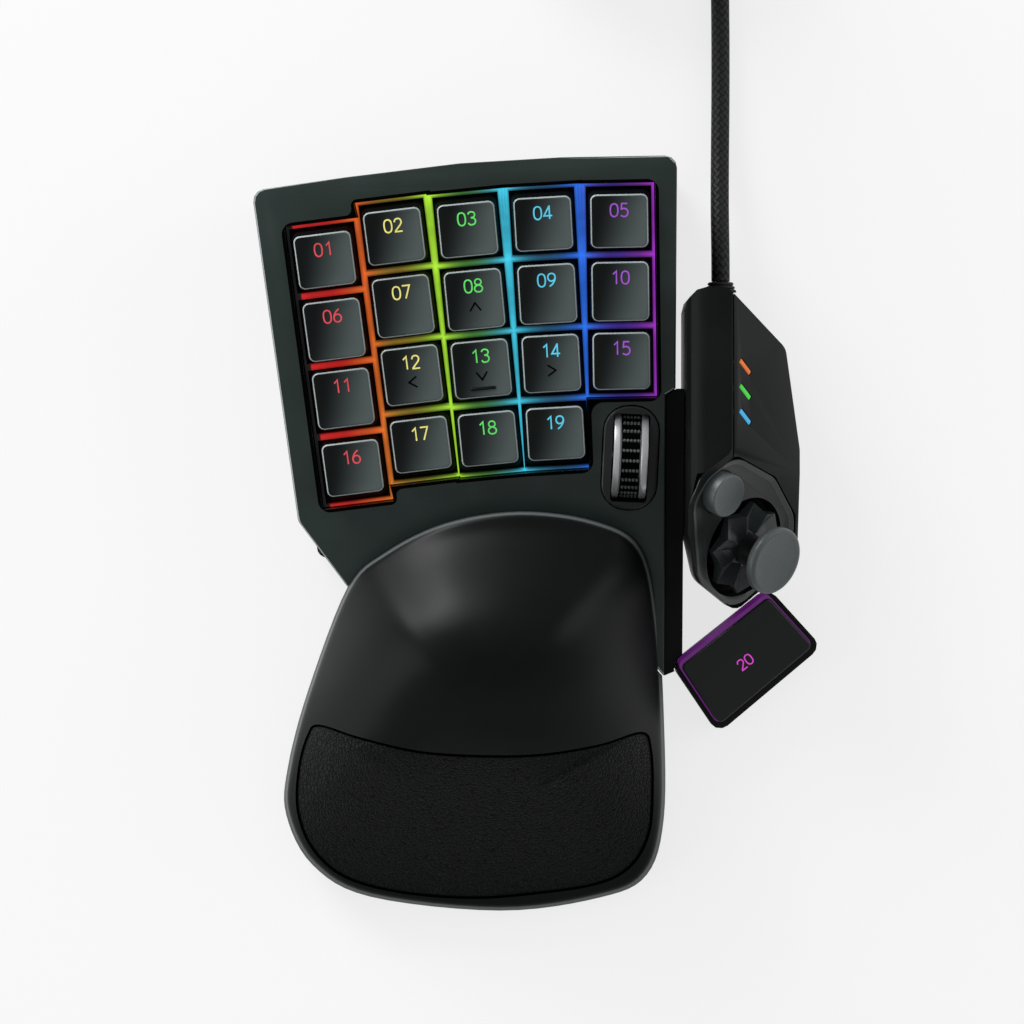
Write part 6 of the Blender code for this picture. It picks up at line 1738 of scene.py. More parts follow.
    def field_outline(self) -> list[Point]:
        """The stepped outline of the key field, column by column.

        Returns:
            The corners, along the rear edge and back along the front edge.
        """
        edges: list[list[Point]] = [[], []]
        for column, count in enumerate(self.rows_in_column):
            for rows, grow, edge in zip((2.0, 2.0 - count), (self.well_margin, -self.well_margin), edges):
                here = self.column_spot(column, rows)
                turn = self.column_turn(column)
                middle = here + turn @ Vector((0.0, grow))
                for side in (-1, 1):
                    reach = self.pitch / 2 + self.well_margin
                    if 0 <= column + side < len(self.rows_in_column):
                        reach = (self.column_spot(column + side, rows) - here).length / 2
                        reach = self.pitch / 2 if reach > self.pitch * 0.7 else reach
                    edge.append(tuple(middle + turn @ Vector((side * reach, 0.0))))
        return edges[0] + edges[1][::-1]

    def well_shade_border(self) -> None:
        """Makes the thin black border round the sunken key field: painted shade where the well's edge falls
        into shadow.
        """
        corners = self.field_outline()
        outer = round_corners(offset(corners, self.border), self.border_corner, 6)
        work = Workpiece().prism(outer, -0.8 * MM, 0.06 * MM)
        border = work.move(self.deck.matrix).as_object("well_shade_border")
        opening = Workpiece().prism(offset(corners, 0.02 * MM), -CUT_REACH, CUT_REACH)
        carve(border, opening.move(self.deck.matrix))
        dress(border, DARK_MATTE_AND_SHADE, Body.CASE.value)

    def shine_at(self, spot: Vector, ways: Sequence[tuple[KeySlot, Matrix]]) -> float:
        """How brightly the guide glows at a place: most where the gaps cross, none left of the first column.

        Args:
            spot: The place, in the object's frame.
            ways: Every key with the matrix that leads into its own frame.

        Returns:
            The brightness, from 0 to 1.
        """
        near = [(slot, way @ spot) for slot, way in ways]
        near.sort(key=lambda pair: max(abs(pair[1].x), abs(pair[1].y)))
        (slot, local), (_, other) = near[:2]
        half = self.pitch / 2
        along, away = sorted((abs(local.x), abs(local.y)))
        if slot.column == 0 and local.x < -half * self.dark_share:
            return 0.0
        crossing = min(along / half, 1.0) ** 3
        upright = abs(local.x) > abs(local.y)
        base, core = self.upright_glow if upright or slot.column == 0 else self.level_glow
        middle = min(abs(away - half + self.well_margin), (max(abs(other.x), abs(other.y)) - away) / 2)
        soft = self.dimmest + (1.0 - self.dimmest) * math.exp(-(middle / core) ** 2)
        depth = min(max((-self.guide_top - local.z) / self.glow_depth, 0.0), 1.0)
        return (base + (1.0 - base) * crossing) * soft * (1.0 - depth) ** 2

    def lit_guide(self) -> None:
        """Makes the light guide, with its brightness kept at every point."""
        work = Workpiece("light_guide")
        for depth in self.guide_cuts:
            bmesh.ops.bisect_plane(
                work.bm, geom=[*work.bm.verts, *work.bm.edges, *work.bm.faces], dist=NEAR,
                plane_co=self.deck.matrix @ Vector((0.0, 0.0, -self.guide_top - depth)),
                plane_no=self.deck.matrix.col[2].to_3d(),
            )
        flat = self.deck.matrix.inverted()
        for fine in self.guide_steps:
            anywhere, floor = fine > min(self.guide_steps), -self.guide_top - 0.01 * MM
            long_edges = [
                edge for edge in work.bm.edges
                if edge.calc_length() > fine
                and (anywhere or all((flat @ vert.co).z > floor for vert in edge.verts))
            ]
            bmesh.ops.subdivide_edges(work.bm, edges=long_edges, cuts=1)
            bmesh.ops.triangulate(work.bm, faces=[face for face in work.bm.faces if len(face.verts) > 3])
        ways = [(slot, slot.matrix.inverted()) for slot in self.slots()]
        shine = work.bm.verts.layers.float.new("shine")
        for vert in work.bm.verts:
            vert[shine] = self.shine_at(vert.co, ways)
        dress(work.as_object("lit_guide"), FIELD_LIGHT, Body.CASE.value, ["light_guide"], 20.0)


# Main case and scroll wheel

@dataclass
class MainCase:
    """The two case shells, their screws and what lies inside."""

    def build(self) -> None:
        """Carries the shells over and dresses the parts inside."""
        # The top shell's rounded edges, and its sloping rim faces that do not face right, take the pale
        # painted-highlight finish.
        Refined(
            "top_shell", SATIN, 0.3 * MM, 3, highlight_finish=CASE_EDGE_HIGHLIGHT, highlight_slopes=(0.72, 0.97), highlight_side=0.3,
        ).build()
        Refined("bottom_shell", BASE, 0.25 * MM).build()
        for node in ("case_screw_left", "case_screw_right"):
            Refined(node, DARK_STEEL, 0.15 * MM).build()
        paint_node("key_plate", BASE)
        paint_node("dome_sheet", DOME)
        paint_node("main_board", BOARD)
        for node in ("foot_rear", "foot_middle", "foot_thumb", "foot_palm"):
            Refined(node, RUBBER, 0.25 * MM, 3).build()


@dataclass
class ScrollWheel:
    """The wheel with silver rims and a studded tread, in its bezel."""

    deck: Deck
    place: Point = (23.38 * MM, 22.05 * MM)
    lean: float = math.radians(-2.4)
    radius: float = 12.0 * MM
    proud: float = 6.0 * MM
    width: float = 9.2 * MM
    rim_width: float = 1.9 * MM
    core_radius: float = 9.6 * MM
    axle_radius: float = 1.5 * MM
    axle_reach: float = 1.9 * MM
    tread_outer: float = 11.8 * MM
    tread_inner: float = 9.9 * MM
    stud_height: float = 0.55 * MM
    stud_radius: float = 0.52 * MM
    rows: int = 26
    studs_in_row: int = 5
    bezel_size: Point = (14.8 * MM, 28.1 * MM)
    bezel_levels: Point = (-2.3 * MM, 0.7 * MM)
    bezel_slopes: Point = (0.5, 0.95)
    opening_size: Point = (9.8 * MM, 23.9 * MM)
    edge: float = 0.35 * MM

    @property
    def face_matrix(self) -> Matrix:
        """The wheel's place on the deck's surface."""
        return self.deck.matrix @ Matrix.Translation((*self.place, 0.0)) @ Matrix.Rotation(self.lean, 4, "Z")

    @property
    def axle_matrix(self) -> Matrix:
        """The wheel's middle, with Z along its axle."""
        drop = Matrix.Translation((0.0, 0.0, self.proud - self.radius))
        return self.face_matrix @ drop @ Matrix.Rotation(math.pi / 2, 4, "Y")

    def build(self) -> None:
        """Makes the bezel, the wheel and the tread."""
        self.bezel()
        half, rim = self.width / 2, self.width / 2 - self.rim_width
        end, axle, radius, edge = half + self.axle_reach, self.axle_radius, self.radius, self.edge
        side = [
            (0.0, end), (axle, end), (axle, half), (radius * 0.55, half - 0.5 * MM),
            (radius - 1.6 * MM, half - 0.4 * MM), (radius - 1.2 * MM, half), (radius - edge, half),
            (radius - edge * 0.3, half - edge * 0.3), (radius, half - edge), (radius, rim + edge),
            (radius - edge, rim), (self.core_radius, rim),
        ]
        profile = side + [(radius, -z) for radius, z in reversed(side)]
        wheel = Workpiece().turned(profile, 96).move(self.axle_matrix).as_object("wheel_rims")
        dress(wheel, SILVER, Body.WHEEL.value, ["wheel_rim"], 40.0)
        self.tread(rim)
        paint_node("wheel_carrier", BASE)

    def tread(self, rim: float) -> None:
        """Makes the rubber tread with its rows of studs.

        Args:
            rim: Half the space between the rims.
        """
        half, inner, soft = rim - 0.3 * MM, self.tread_inner, 0.2 * MM
        base = self.tread_outer - self.stud_height
        profile = [
            (inner, half), (base - soft, half), (base, half - soft), (base, soft - half),
            (base - soft, -half), (inner, -half), (inner, half),
        ]
        band = Workpiece().turned(profile, 104).move(self.axle_matrix).as_object("wheel_band")
        dress(band, DARK_MATTE_AND_SHADE, Body.WHEEL.value, ["wheel_tread"])
        work = Workpiece()
        spacing = 2 * (half - self.stud_radius) / (self.studs_in_row - 1)
        for row in range(self.rows):
            turn = Matrix.Rotation(math.tau * row / self.rows, 4, "Z")
            for stud in range(self.studs_in_row):
                z = self.stud_radius - half + stud * spacing
                stand = Matrix.Translation((base + self.stud_height * 0.35, 0.0, z))
                place = turn @ stand @ Matrix.Rotation(math.pi / 2, 4, "Y")
                bmesh.ops.create_cone(
                    work.bm, cap_ends=True, segments=8, radius1=self.stud_radius,
                    radius2=self.stud_radius * 0.55, depth=self.stud_height * 1.3, matrix=place,
                )
        work.move(self.axle_matrix)
        dress(work.as_object("wheel_studs"), STUD, Body.WHEEL.value, (), 50.0)

    def bezel(self) -> None:
        """Makes the raised ring round the wheel's opening."""
        outer = rounded_box(*self.bezel_size, self.bezel_size[0] * 0.46, 16)
        inner = rounded_box(*self.opening_size, 1.0 * MM, 8)
        work = Workpiece().prism(outer, *self.bezel_levels)
        work.round_rim(self.bezel_levels[1], 0.6 * MM, 5)
        low, high = self.bezel_slopes
        # Painted highlight on the ring's rounded rim.
        work.mark(1, lambda face: low < face.normal.z < high)
        ring = work.move(self.face_matrix).as_object("bezel_ring")
        carve(ring, Workpiece().prism(inner, -CUT_REACH, CUT_REACH).move(self.face_matrix))
        dress(ring, PLATE, Body.CASE.value, ["wheel_bezel"], more=[PLATE_LIP_HIGHLIGHT])


# Thumb module and its key

def turned_edge(radius: float, level: float, edge: Sequence[Point]) -> list[Point]:
    """Points of a turned edge, given as shares of its radius and heights over a level."""
    return [(radius * share, level + rise) for share, rise in edge]


@dataclass
class ThumbModule:
    """The thumb module's shells, its sloping plate and the controls on it."""

    face_place: Spot = (54.3 * MM, -2.4 * MM, 29.0 * MM)
    face_turn: float = math.radians(65.0)
    face_tilt: float = math.radians(48.0)
    plate_size: Point = (37.2 * MM, 48.2 * MM)
    plate_corner: float = 9.0 * MM
    plate_thickness: float = 2.0 * MM
    plate_shares: tuple[Point, ...] = (
        (0.556, 0.415), (0.32, 0.546), (0.11, 0.573), (-0.357, 0.255), (-0.4435, -0.141), (0.078, -0.427),
        (0.371, -0.27), (0.546, 0.027),
    )
    lip: float = 1.5 * MM
    lip_depth: float = 0.7 * MM
    lip_round: float = 0.45 * MM
    lip_slopes: Point = (0.1, 0.98)
    play: float = 0.3 * MM
    well_radius: float = 14.0 * MM
    mode_place: Point = (10.2 * MM, 19.4 * MM)
    mode_radius: float = 5.8 * MM
    mode_proud: float = 3.3 * MM
    mode_dish: float = 0.7 * MM
    mode_rings: Shares = (0.2, 0.4, 0.6, 0.75, 0.88)
    mode_edge: tuple[Point, ...] = ((0.94, -0.06 * MM), (0.985, -0.22 * MM), (1.0, -0.5 * MM))
    mode_flange: Point = (0.6 * MM, 0.8 * MM)
    pivot_depth: float = 5.2 * MM
    pad_radius: float = 12.8 * MM
    pad_proud: float = 0.9 * MM
    pad_thickness: float = 2.4 * MM
    notch: float = 0.82
    facet_rings: tuple[Spot, ...] = (
        (1.0, 2.0 * MM, 0.2 * MM), (0.68, -0.4 * MM, -0.6 * MM), (0.6, -0.6 * MM, 0.3 * MM),
    )
    hub_radius: float = 3.4 * MM
    ring_radius: float = 7.2 * MM
    ring_height: float = 2.6 * MM
    pin_radius: float = 0.9 * MM
    cap_radius: float = 9.25 * MM
    cap_height: float = 11.7 * MM
    cap_thickness: float = 3.0 * MM
    cap_dish: float = 0.45 * MM
    cap_rings: Shares = (0.15, 0.3, 0.45, 0.6, 0.72, 0.82)
    cap_edge: tuple[Point, ...] = (
        (0.9, -0.02 * MM), (0.955, -0.22 * MM), (0.99, -0.6 * MM), (1.0, -1.0 * MM),
    )
    cap_foot: tuple[Point, ...] = ((1.0, 0.9 * MM), (0.98, 0.5 * MM), (0.93, 0.1 * MM), (0.86, 0.0))
    cap_socket: Point = (1.9 * MM, 1.5 * MM)
    ridge: Spot = (50.19 * MM, 0.0, 46.0 * MM)
    facet_tilt: float = math.radians(50.0)
    light_x: float = 5.2 * MM
    light_rows: Shares = (45.6 * MM, 39.0 * MM, 32.4 * MM)
    light_size: Spot = (5.2 * MM, 1.1 * MM, 3.0 * MM)
    light_turn: float = math.radians(-38.0)
    strip_size: Spot = (6.4 * MM, 20.5 * MM, 1.1 * MM)
    strip_depth: float = 2.15 * MM
    strip_round: float = 0.15 * MM
    light_round: float = 0.12 * MM
    light_inks: tuple[Colour, ...] = (ink(232, 112, 26), ink(64, 206, 60), ink(56, 176, 232))

    @property
    def light_matrix(self) -> Matrix:
        """The lit facet's own frame, with X down it from the ridge and Z out of it."""
        return Matrix.Translation(self.ridge) @ Matrix.Rotation(self.facet_tilt, 4, "Y")

    @property
    def face_matrix(self) -> Matrix:
        """The sloping plate's own frame, with Z out of it."""
        turn = Matrix.Rotation(self.face_turn, 4, "Z") @ Matrix.Rotation(self.face_tilt, 4, "X")
        return Matrix.Translation(self.face_place) @ turn

    def build(self) -> None:
        """Makes the shells, the plate and every control."""
        # The rounded edges of both shells take the lighter painted-highlight finish.
        Refined("thumb_inner_shell", THUMB_PLASTIC, 0.5 * MM, 3, highlight_finish=THUMB_EDGE_HIGHLIGHT).build()
        Refined("thumb_side_cover", THUMB_PLASTIC, 0.4 * MM, 3, highlight_finish=THUMB_EDGE_HIGHLIGHT, merge=0.0).build()
        Refined("thumb_base", BASE, 0.3 * MM).build()
        self.plate()
        self.mode_button()
        self.direction_pad()
        self.stick()
        paint_node("gimbal_base", BASE)
        paint_node("gimbal_ring", BASE)
        paint_node("thumb_board", BOARD)
        self.status_lights()

    def plate(self) -> None:
        """Makes the plate with a thick rounded lip and its two openings."""
        corners = [(x * self.plate_size[0], y * self.plate_size[1]) for x, y in self.plate_shares]
        outline = round_corners(corners, self.plate_corner, 8)
        work = Workpiece().prism(outline, -self.plate_thickness, 0.0)
        face = work.highest()
        bmesh.ops.inset_region(work.bm, faces=[face], thickness=self.lip)
        work.lift(face.verts, -self.lip_depth)
        work.round_rim(0.0, self.lip_round, 4)
        low, high = self.lip_slopes
        # Painted highlight on the plate's sloping lip.
        work.mark(1, lambda face: low < face.normal.z < high)
        plate = work.move(self.face_matrix).as_object("face_plate")
        well = self.drill(self.well_radius)
        hole = self.drill(self.mode_radius + self.play).move(Matrix.Translation((*self.mode_place, 0.0)))
        carve(plate, well.move(self.face_matrix), hole.move(self.face_matrix))
        dress(plate, PLATE, Body.CASE.value, ["thumb_face_plate"], more=[PLATE_LIP_HIGHLIGHT])

    @staticmethod
    def drill(radius: float) -> Workpiece:
        """A round cutter through the plate."""
        return rod(radius, -CUT_REACH, CUT_REACH, 96)

    def mode_button(self) -> None:
        """Makes the round button with its dished top."""
        low, wide = -self.plate_thickness - self.play, self.mode_radius + self.mode_flange[0]
        top, radius, foot = self.mode_proud, self.mode_radius, low - self.mode_flange[1]
        profile = dished(radius, top, self.mode_dish, self.mode_rings)
        profile += turned_edge(radius, top, self.mode_edge)
        profile += [(radius, low), (wide, low), (wide, foot), (0.0, foot)]
        work = Workpiece().turned(profile, 64).move(Matrix.Translation((*self.mode_place, 0.0)))
        button = work.move(self.face_matrix).as_object("mode_cap")
        dress(button, CONTROL, Body.MODE.value, ["mode_button"])

    def direction_pad(self) -> None:
        """Makes the eight-way pad of pointed facets round its hub."""
        work = Workpiece()
        made = bmesh.ops.create_circle(work.bm, cap_ends=True, segments=16, radius=self.pad_radius)["verts"]
        around = sorted(made, key=lambda spot: math.atan2(spot.co.y, spot.co.x))
        bmesh.ops.scale(work.bm, vec=(self.notch, self.notch, 1.0), verts=around[1::2])
        work.lift(made, self.pad_proud - self.pad_thickness)
        face = work.extrude([work.highest()], self.pad_thickness - 1.1 * MM)
        for ratio, tips, notches in self.facet_rings:
            face = work.step_in(face, (0.0, 0.0), ratio) if ratio < 1.0 else face
            for vert in face.verts:
                step = round(math.atan2(vert.co.y, vert.co.x) / (math.pi / 8))
                vert.co.z += notches if step % 2 else tips
        work.outwards()
        rod(self.hub_radius, -self.pivot_depth - self.ring_height / 2, 0.0, 24, work)
        reach = self.ring_radius - self.play
        pins = rod(self.pin_radius, -reach, reach, 16)
        pins.move(Matrix.Translation((0.0, 0.0, -self.pivot_depth)) @ Matrix.Rotation(math.pi / 2, 4, "X"))
        dress(pins.move(self.face_matrix).as_object("hub_pins"), BASE, Body.PAD.value)
        pad = work.move(self.face_matrix).as_object("direction_disc")
        dress(pad, PAD_FACETS, Body.PAD.value, ["direction_pad"], 4.0)

    def stick(self) -> None:
        """Makes the stick and its thick domed cap."""
        low = self.cap_height - self.cap_thickness
        seat, foot, core = self.pad_proud + self.play, self.pad_proud - 2.0 * MM, 1.6 * MM
        stem = [
            (0.0, low + 1.2 * MM), (core, low + 1.2 * MM), (core, low - 0.3 * MM), (3.0 * MM, low - 0.3 * MM),
            (3.2 * MM, low - 0.6 * MM), (3.3 * MM, low - 2.5 * MM), (3.7 * MM, seat + 1.0 * MM),
            (4.4 * MM, seat), (core, seat), (core, foot), (0.0, foot),
        ]
        post = Workpiece().turned(stem, 48).move(self.face_matrix).as_object("stick_post")
        dress(post, BASE, Body.PAD.value, ["thumb_stick"])
        radius, top = self.cap_radius, self.cap_height
        face = dished(radius, top, self.cap_dish, self.cap_rings)
        face += turned_edge(radius, top, self.cap_edge) + turned_edge(radius, low, self.cap_foot)
        bore, deep = self.cap_socket
        face += [(bore, low), (bore, low + deep), (0.0, low + deep)]
        cap = Workpiece().turned(face, 96).move(self.face_matrix).as_object("stick_disc")
        dress(cap, CONTROL, Body.PAD.value, ["stick_cap"], 50.0)

    def status_lights(self) -> None:
        """Makes the three slanted lit bars and the dark strip that carries them under the cover."""
        size, middle = self.strip_size, self.light_rows[1]
        strip = Workpiece().block(size, (self.light_x, middle, -self.strip_depth - size[2] / 2))
        strip.round_edges(strip.bm.edges, self.strip_round, 2)
        strip = strip.move(self.light_matrix).as_object("light_strip")
        dress(strip, BASE, Body.CASE.value, ["status_light_pipe"])
        for number, (y, colour) in enumerate(zip(self.light_rows, self.light_inks), 1):
            work = Workpiece().block(self.light_size, (0.0, 0.0, -self.light_size[2] / 2))
            work.round_rim(0.0, self.light_round, 2)
            work.move(Matrix.Translation((self.light_x, y, 0.0)) @ Matrix.Rotation(self.light_turn, 4, "Z"))
            bar = work.move(self.light_matrix).as_object("status_light_%d" % number)
            dress(bar, Glow("status_ink_%d" % number, Slot.LIGHT, colour, 0.95), Body.CASE.value)


@dataclass
class ThumbKey:
    """Key 20 in its tray, with a lit frame round it."""

    place: Spot = (55.2 * MM, -32.7 * MM, 15.5 * MM)
    turn: float = math.radians(38.4)
    tilt: float = math.radians(24.0)
    size: Point = (33.0 * MM, 21.2 * MM)
    corner: float = 1.6 * MM
    shares: tuple[Point, ...] = ((-0.5, -0.5), (0.5, -0.45), (0.455, 0.5), (-0.455, 0.5))
    height: float = 4.4 * MM
    rim: float = 0.55 * MM
    dish_steps: tuple[Point, ...] = (
        (0.94, 0.03 * MM), (0.8, 0.09 * MM), (0.6, 0.08 * MM), (0.4, 0.05 * MM), (0.2, 0.03 * MM),
    )
    number_place: Spot = (-0.6 * MM, -0.4 * MM, -0.27 * MM)
    digit_height: float = 3.15 * MM
    digit_gap: float = 0.5 * MM
    digit_pen: float = 0.36 * MM
    number_ink: Colour = ink(214, 60, 200)
    glow_ink: Colour = ink(126, 26, 146)
    peg_radius: float = 2.0 * MM
    peg_depth: float = 3.6 * MM
    clearance: float = 0.5 * MM
    rear_glow: float = 0.8 * MM
    glow_levels: Point = (-2.6 * MM, -1.7 * MM)
    glow_climb: float = 1.3 * MM
    glow_gap: float = 0.12 * MM

    @property
    def matrix(self) -> Matrix:
        """The key's own frame, with Z out of its face."""
        turn = Matrix.Rotation(self.turn, 4, "Z") @ Matrix.Rotation(self.tilt, 4, "X")
        return Matrix.Translation(self.place) @ turn

    def outline(self, grow: float = 0.0) -> list[Point]:
        """The key's outline.

        Args:
            grow: How far it is grown.

        Returns:
            The outline.
        """
        corners = [(x * self.size[0], y * self.size[1]) for x, y in self.shares]
        outline = round_corners(corners, self.corner, 8)
        return offset(outline, grow) if grow else outline

    def build(self) -> None:
        """Makes the key, its number, the lit frame and the tray."""
        work = Workpiece().prism(self.outline(), -self.height, 0.0)
        face = work.highest()
        work.round_edges(face.edges, self.rim, 4)
        face, done = work.highest(), 1.0
        for share, depth in self.dish_steps:
            face = work.step_in(face, (0.0, 0.0), share / done, -depth)
            done = share
        work.outwards()
        rod(self.peg_radius, -self.height - self.peg_depth, -self.height + 0.5 * MM, 32, work)
        dress(work.move(self.matrix).as_object("thumb_keycap"), THUMB_CAP, Body.THUMB_KEY.value, ["key_20"])
        words = drawn_number("20", self.digit_height, self.digit_gap, self.digit_pen)
        words.move(Matrix.Translation(self.number_place))
        words.thicken(0.05 * MM, 0.06 * MM).move(self.matrix)
        finish = Glow("number_ink_20", Slot.LIGHT, self.number_ink)
        dress(words.as_object("number_20"), finish, Body.THUMB_KEY.value)
        Refined("key_20_tray", BASE, 0.3 * MM).build()
        self.glow_frame()

    def glow_frame(self) -> None:
        """Makes the lit strip that shows round the key."""
        work = Workpiece().prism(self.outline(self.clearance - 0.05 * MM), *self.glow_levels)
        for vert in work.bm.verts:
            run = vert.co.y / self.size[1]
            if vert.co.z > sum(self.glow_levels) / 2:
                vert.co.z += self.glow_climb * ease(run + 0.5)
            vert.co.y += self.rear_glow * ease((run - 0.4) * 10.0)
        ring = work.as_object("thumb_key_glow")
        carve(ring, Workpiece().prism(self.outline(self.glow_gap), -CUT_REACH, CUT_REACH))
        ring.data.transform(self.matrix)
        dress(ring, Glow("thumb_key_light", Slot.LIGHT, self.glow_ink, 0.42), Body.CASE.value)


# Palm rest

@dataclass
class PalmRest:
    """The palm rest: a domed shell, a thin leather-look pad, the base and the latch."""

    deck: Deck
    width: float = 102.7 * MM
    length: float = 109.1 * MM
    right_x: float = 33.156 * MM
    rear_y: float = 7.737 * MM
    height: float = 60.0 * MM
    seam_z: float = 3.8 * MM
    wall: float = 2.2 * MM
    fillet: float = 3.2 * MM
    fillet_share: float = 0.045
    dome_power: float = 2.7
    edge_share: float = 0.985
    centre_shares: Point = (-0.49, -0.5)
    pad_centre_shares: Point = (-0.5, -0.76)
    pad_depth: float = 2.6 * MM
    pad_crown: float = 1.0 * MM
    outline_shares: tuple[Point, ...] = (
        (-0.832, -0.190), (-0.733, -0.101), (-0.576, -0.029), (-0.381, 0.0), (-0.186, -0.024),
        (-0.066, -0.091), (-0.020, -0.271), (-0.001, -0.521), (0.0, -0.768), (-0.045, -0.910),
        (-0.169, -0.967), (-0.434, -1.0), (-0.778, -0.965), (-0.931, -0.885), (-1.0, -0.759),
        (-0.995, -0.640), (-0.939, -0.445),
    )
    pad_shares: tuple[Point, ...] = (
        (-0.905, -0.531), (-0.80, -0.556), (-0.641, -0.588), (-0.485, -0.598), (-0.33, -0.596),
        (-0.174, -0.575), (-0.064, -0.549), (-0.040, -0.59), (-0.034, -0.688), (-0.043, -0.802),
        (-0.092, -0.885), (-0.184, -0.929), (-0.355, -0.953), (-0.513, -0.963), (-0.697, -0.949),
        (-0.842, -0.911), (-0.927, -0.840), (-0.965, -0.744), (-0.960, -0.637), (-0.935, -0.556),
    )
    edge_table: tuple[Point, ...] = (
        (0.0, 0.60), (-0.1, 0.5), (-0.3, 0.30), (-0.5, 0.21), (-0.75, 0.14), (-1.0, 0.10),
    )
    ridge_table: tuple[Point, ...] = (
        (0.0, 0.74), (-0.1, 0.92), (-0.22, 1.0), (-0.36, 0.96), (-0.52, 0.77), (-0.7, 0.53),
        (-0.86, 0.35), (-1.0, 0.2),
    )
    shell_rings: Shares = (
        0.93, 0.9, 0.86, 0.81, 0.75, 0.68, 0.6, 0.51, 0.42, 0.33, 0.24, 0.15, 0.07,
    )
    room_rings: Shares = (1.0, 0.97, 0.92, 0.86, 0.78, 0.68, 0.56, 0.44, 0.3, 0.15)
    recess_rings: Shares = (1.0, 0.96, 0.9, 0.8, 0.68, 0.54, 0.4, 0.25, 0.1)
    pad_rings: Shares = (0.965, 0.94, 0.9, 0.84, 0.76, 0.66, 0.55, 0.43, 0.3, 0.16)
    pad_floor_rings: Shares = (1.0, 0.9, 0.75, 0.55, 0.3)
    pad_roll_share: float = 0.018
    pad_roll: float = 1.1 * MM
    pad_sink: float = 0.25 * MM
    rim_highlight_width: float = 0.006

    def __post_init__(self) -> None:
        """Works out the two outlines once."""
        self.centre = Vector(self.point(self.centre_shares))
        self.pad_centre = self.point(self.pad_centre_shares)
        self.outline, self.pad_outline = (
            [tuple(spot) for spot in smooth_line([self.point(share) for share in shares], steps, True)]
            for shares, steps in ((self.outline_shares, 6), (self.pad_shares, 5))
        )

    def point(self, shares: Point) -> Point:
        """A place given as shares of the palm rest's width and length."""
        return (self.right_x + shares[0] * self.width, self.rear_y + shares[1] * self.length)

    def share_at(self, x: float, y: float) -> float:
        """How far a place lies from the middle to the outline.

        Args:
            x: The place across the palm rest.
            y: The place along it.

        Returns:
            The share, from 0 to 1.
        """
        ray = Vector((x, y)) - self.centre
        if ray.length < 2 * NEAR:
            return 0.0
        for a, b in zip(self.outline, self.outline[1:] + self.outline[:1]):
            start = Vector(a) - self.centre
            side = Vector(b) - Vector(a)
            cross = ray.x * side.y - ray.y * side.x
            if abs(cross) < 1e-18:
                continue
            reach = (start.x * side.y - start.y * side.x) / cross
            along = (start.x * ray.y - start.y * ray.x) / cross
            if reach > 0 and -1e-6 <= along <= 1 + 1e-6:
                return min(1.0 / reach, 1.0)
        return 1.0

    def height_at(self, y: float, share: float) -> float:
        """Height of the upper surface: an edge, a rounded shoulder and a dome.

        Args:
            y: The place along the palm rest.
            share: How far it lies from the middle to the outline.

        Returns:
            The height over the desk.
        """
        run = (y - self.rear_y) / self.length
        edge = read_curve(self.edge_table, run) * self.height
        ridge = read_curve(self.ridge_table, run) * self.height
        shoulder = min(1.0, (1.0 - share) / self.fillet_share)
        rounding = self.fillet * math.sqrt(1.0 - (1.0 - shoulder) ** 2)
        return edge + rounding + (ridge - edge - self.fillet) * (1.0 - share ** self.dome_power)

    def surface(self, x: float, y: float) -> float:
        """Height of the upper surface over a place on the desk."""
        return self.height_at(y, self.share_at(x, y))

    @staticmethod
    def loft(
        outline: Sequence[Point], centre: Vector, low: float, shares: Sequence[float], height: Height,
    ) -> Workpiece:
        """Raises a closed solid from a flat floor, ring by shrinking ring.

        Args:
            outline: The floor's outline.
            centre: The place that the rings shrink towards.
            low: Height of the floor.
            shares: Size of each ring against the outline.
            height: Height of a point, from its x, y and share.

        Returns:
            The solid.
        """
        work = Workpiece()
        face = work.face(outline, low)
        bmesh.ops.reverse_faces(work.bm, faces=[face])
        face = work.rings(work.extrude([face]), tuple(centre), shares, height)
        middle = face.calc_center_median()
        bmesh.ops.poke(work.bm, faces=[face])
        nearest = min(work.bm.verts, key=lambda vert: (vert.co - middle).length)
        nearest.co.z = height(nearest.co.x, nearest.co.y, 0.0)
        return work.outwards()

    def build(self) -> None:
        """Makes the shell and the pad, and dresses the base and the latch."""
        self.shell()
        self.pad()
        Refined("palm_base", BASE, 0.2 * MM).build()
        Refined("palm_latch", BASE, 0.2 * MM).build()

    def shell(self) -> None:
        """Makes the domed shell, hollow from below and recessed for the pad, with a painted highlight along
        its upper rim.
        """
        shares = rolled(self.fillet_share, 7) + self.shell_rings
        work = self.loft(
            self.outline, self.centre, self.seam_z, shares, lambda x, y, share: self.height_at(y, share),
        )
        shell = work.as_object("palm_dome")
        start = self.point((0.0, -0.48))[1]

        def inside(x: float, y: float, share: float) -> float:
            """Height of the shell's inner surface."""
            sink = (self.pad_depth + 0.3 * MM) * ease((start - y) / (self.length * 0.05))
            return max(self.surface(x, y) - self.wall - sink, self.seam_z + self.wall / 2)

        low = self.seam_z - 20.0 * MM
        room = self.loft(offset(self.outline, -self.wall), self.centre, low, self.room_rings, inside)
        carve(shell, room, self.recess(), self.case_clearance())
        # Painted highlight: a thin pale band along the top of the rim, where the rounded edge would catch the
        # lamps.
        painted_highlight = shell.data.attributes.new("painted_highlight", "FLOAT", "POINT")
        for vert, mark in zip(shell.data.vertices, painted_highlight.data):
            share = self.share_at(vert.co.x, vert.co.y)
            high = vert.co.z > self.seam_z + self.fillet
            mark.value = math.exp(-((share - self.edge_share) / self.rim_highlight_width) ** 2) if high else 0.0
        dress(shell, GLOSS_PALM, Body.PALM.value, ["palm_shell"], 38.0)

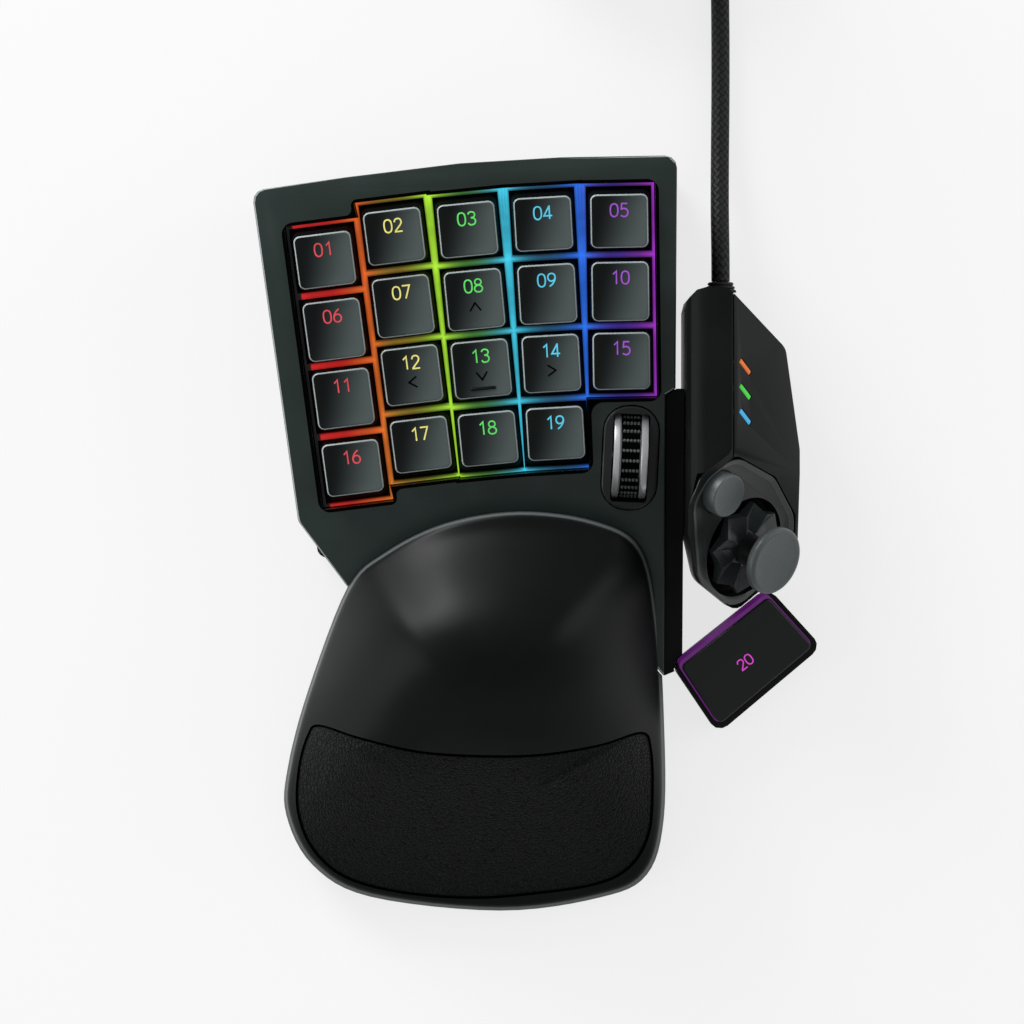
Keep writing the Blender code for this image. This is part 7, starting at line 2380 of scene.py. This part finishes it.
    def recess(self) -> Workpiece:
        """The space that the pad lies in, open at its top.

        Returns:
            The space.
        """
        work = Workpiece()
        face = work.face(offset(self.pad_outline, 0.5 * MM), self.height + 20.0 * MM)
        floor = -self.pad_depth - 0.6 * MM
        work.rings(
            work.extrude([face]), self.pad_centre, self.recess_rings,
            lambda x, y, share: self.surface(x, y) + floor,
        )
        return work.outwards()

    def case_clearance(self) -> Workpiece:
        """The space of the main case in front of which the shell stops.

        Returns:
            The space.
        """
        x0, y0, wide, deep = -17.1 * MM, 54.263 * MM, 112.3 * MM, 138.242 * MM
        rear = [(-0.5325, 0.2735), (-0.3126, 0.2988), (-0.0427, 0.3253), (0.1923, 0.3365), (0.4675, 0.3403)]
        front = [(0.397, -0.6136), (0.366, -0.5702), (-0.236, -0.5702), (-0.4301, -0.358)]
        side = [(0.4675, -0.102), (0.4444, -0.102), (0.4444, -0.66)]
        corners = [(x0 + x * wide, y0 + y * deep) for x, y in rear + side + front]
        corners[6] = (corners[6][0], corners[6][1] - 1.6 * MM)
        radii = [3.2 * MM if index in (0, 4, 11) else 0.0 for index in range(12)]
        outline = offset(round_corners(corners, radii, 5), 0.525 * MM)
        return self.deck.lean(Workpiece().prism(outline, -150.0 * MM, 0.4 * MM))

    def pad_height(self, x: float, y: float, share: float) -> float:
        """Height of the pad's covering, crowned, and rolled over at its edge.

        Args:
            x: The place across the palm rest.
            y: The place along it.
            share: How far it lies from the pad's middle to its outline.

        Returns:
            The height over the desk.
        """
        roll = max(0.0, 1.0 - (1.0 - share) / self.pad_roll_share)
        drop = self.pad_sink + self.pad_roll * (1.0 - math.sqrt(1.0 - roll ** 2))
        return self.surface(x, y) + self.pad_crown * (1.0 - share ** 3) - drop

    def pad(self) -> None:
        work, centre = Workpiece(), self.pad_centre
        face = work.face(self.pad_outline, 0.0)
        top = work.extrude([face])
        work.rings(
            face, centre, self.pad_floor_rings, lambda x, y, share: self.surface(x, y) - self.pad_depth,
        )
        work.rings(top, centre, rolled(self.pad_roll_share, 5) + self.pad_rings, self.pad_height)
        pad = work.outwards().as_object("palm_cushion")
        dress(pad, PAD_LEATHER, Body.PALM.value, ["palm_pad"], 60.0)


def main() -> None:
    """Builds the dressed keypad, piece by piece."""
    logging.basicConfig(level=logging.INFO, format="%(message)s")
    Studio().build()
    Cable().build()
    deck = Deck()
    KeyField(deck).build()
    MainCase().build()
    ScrollWheel(deck).build()
    ThumbModule().build()
    ThumbKey().build()
    PalmRest(deck).build()


if __name__ == "__main__":
    main()
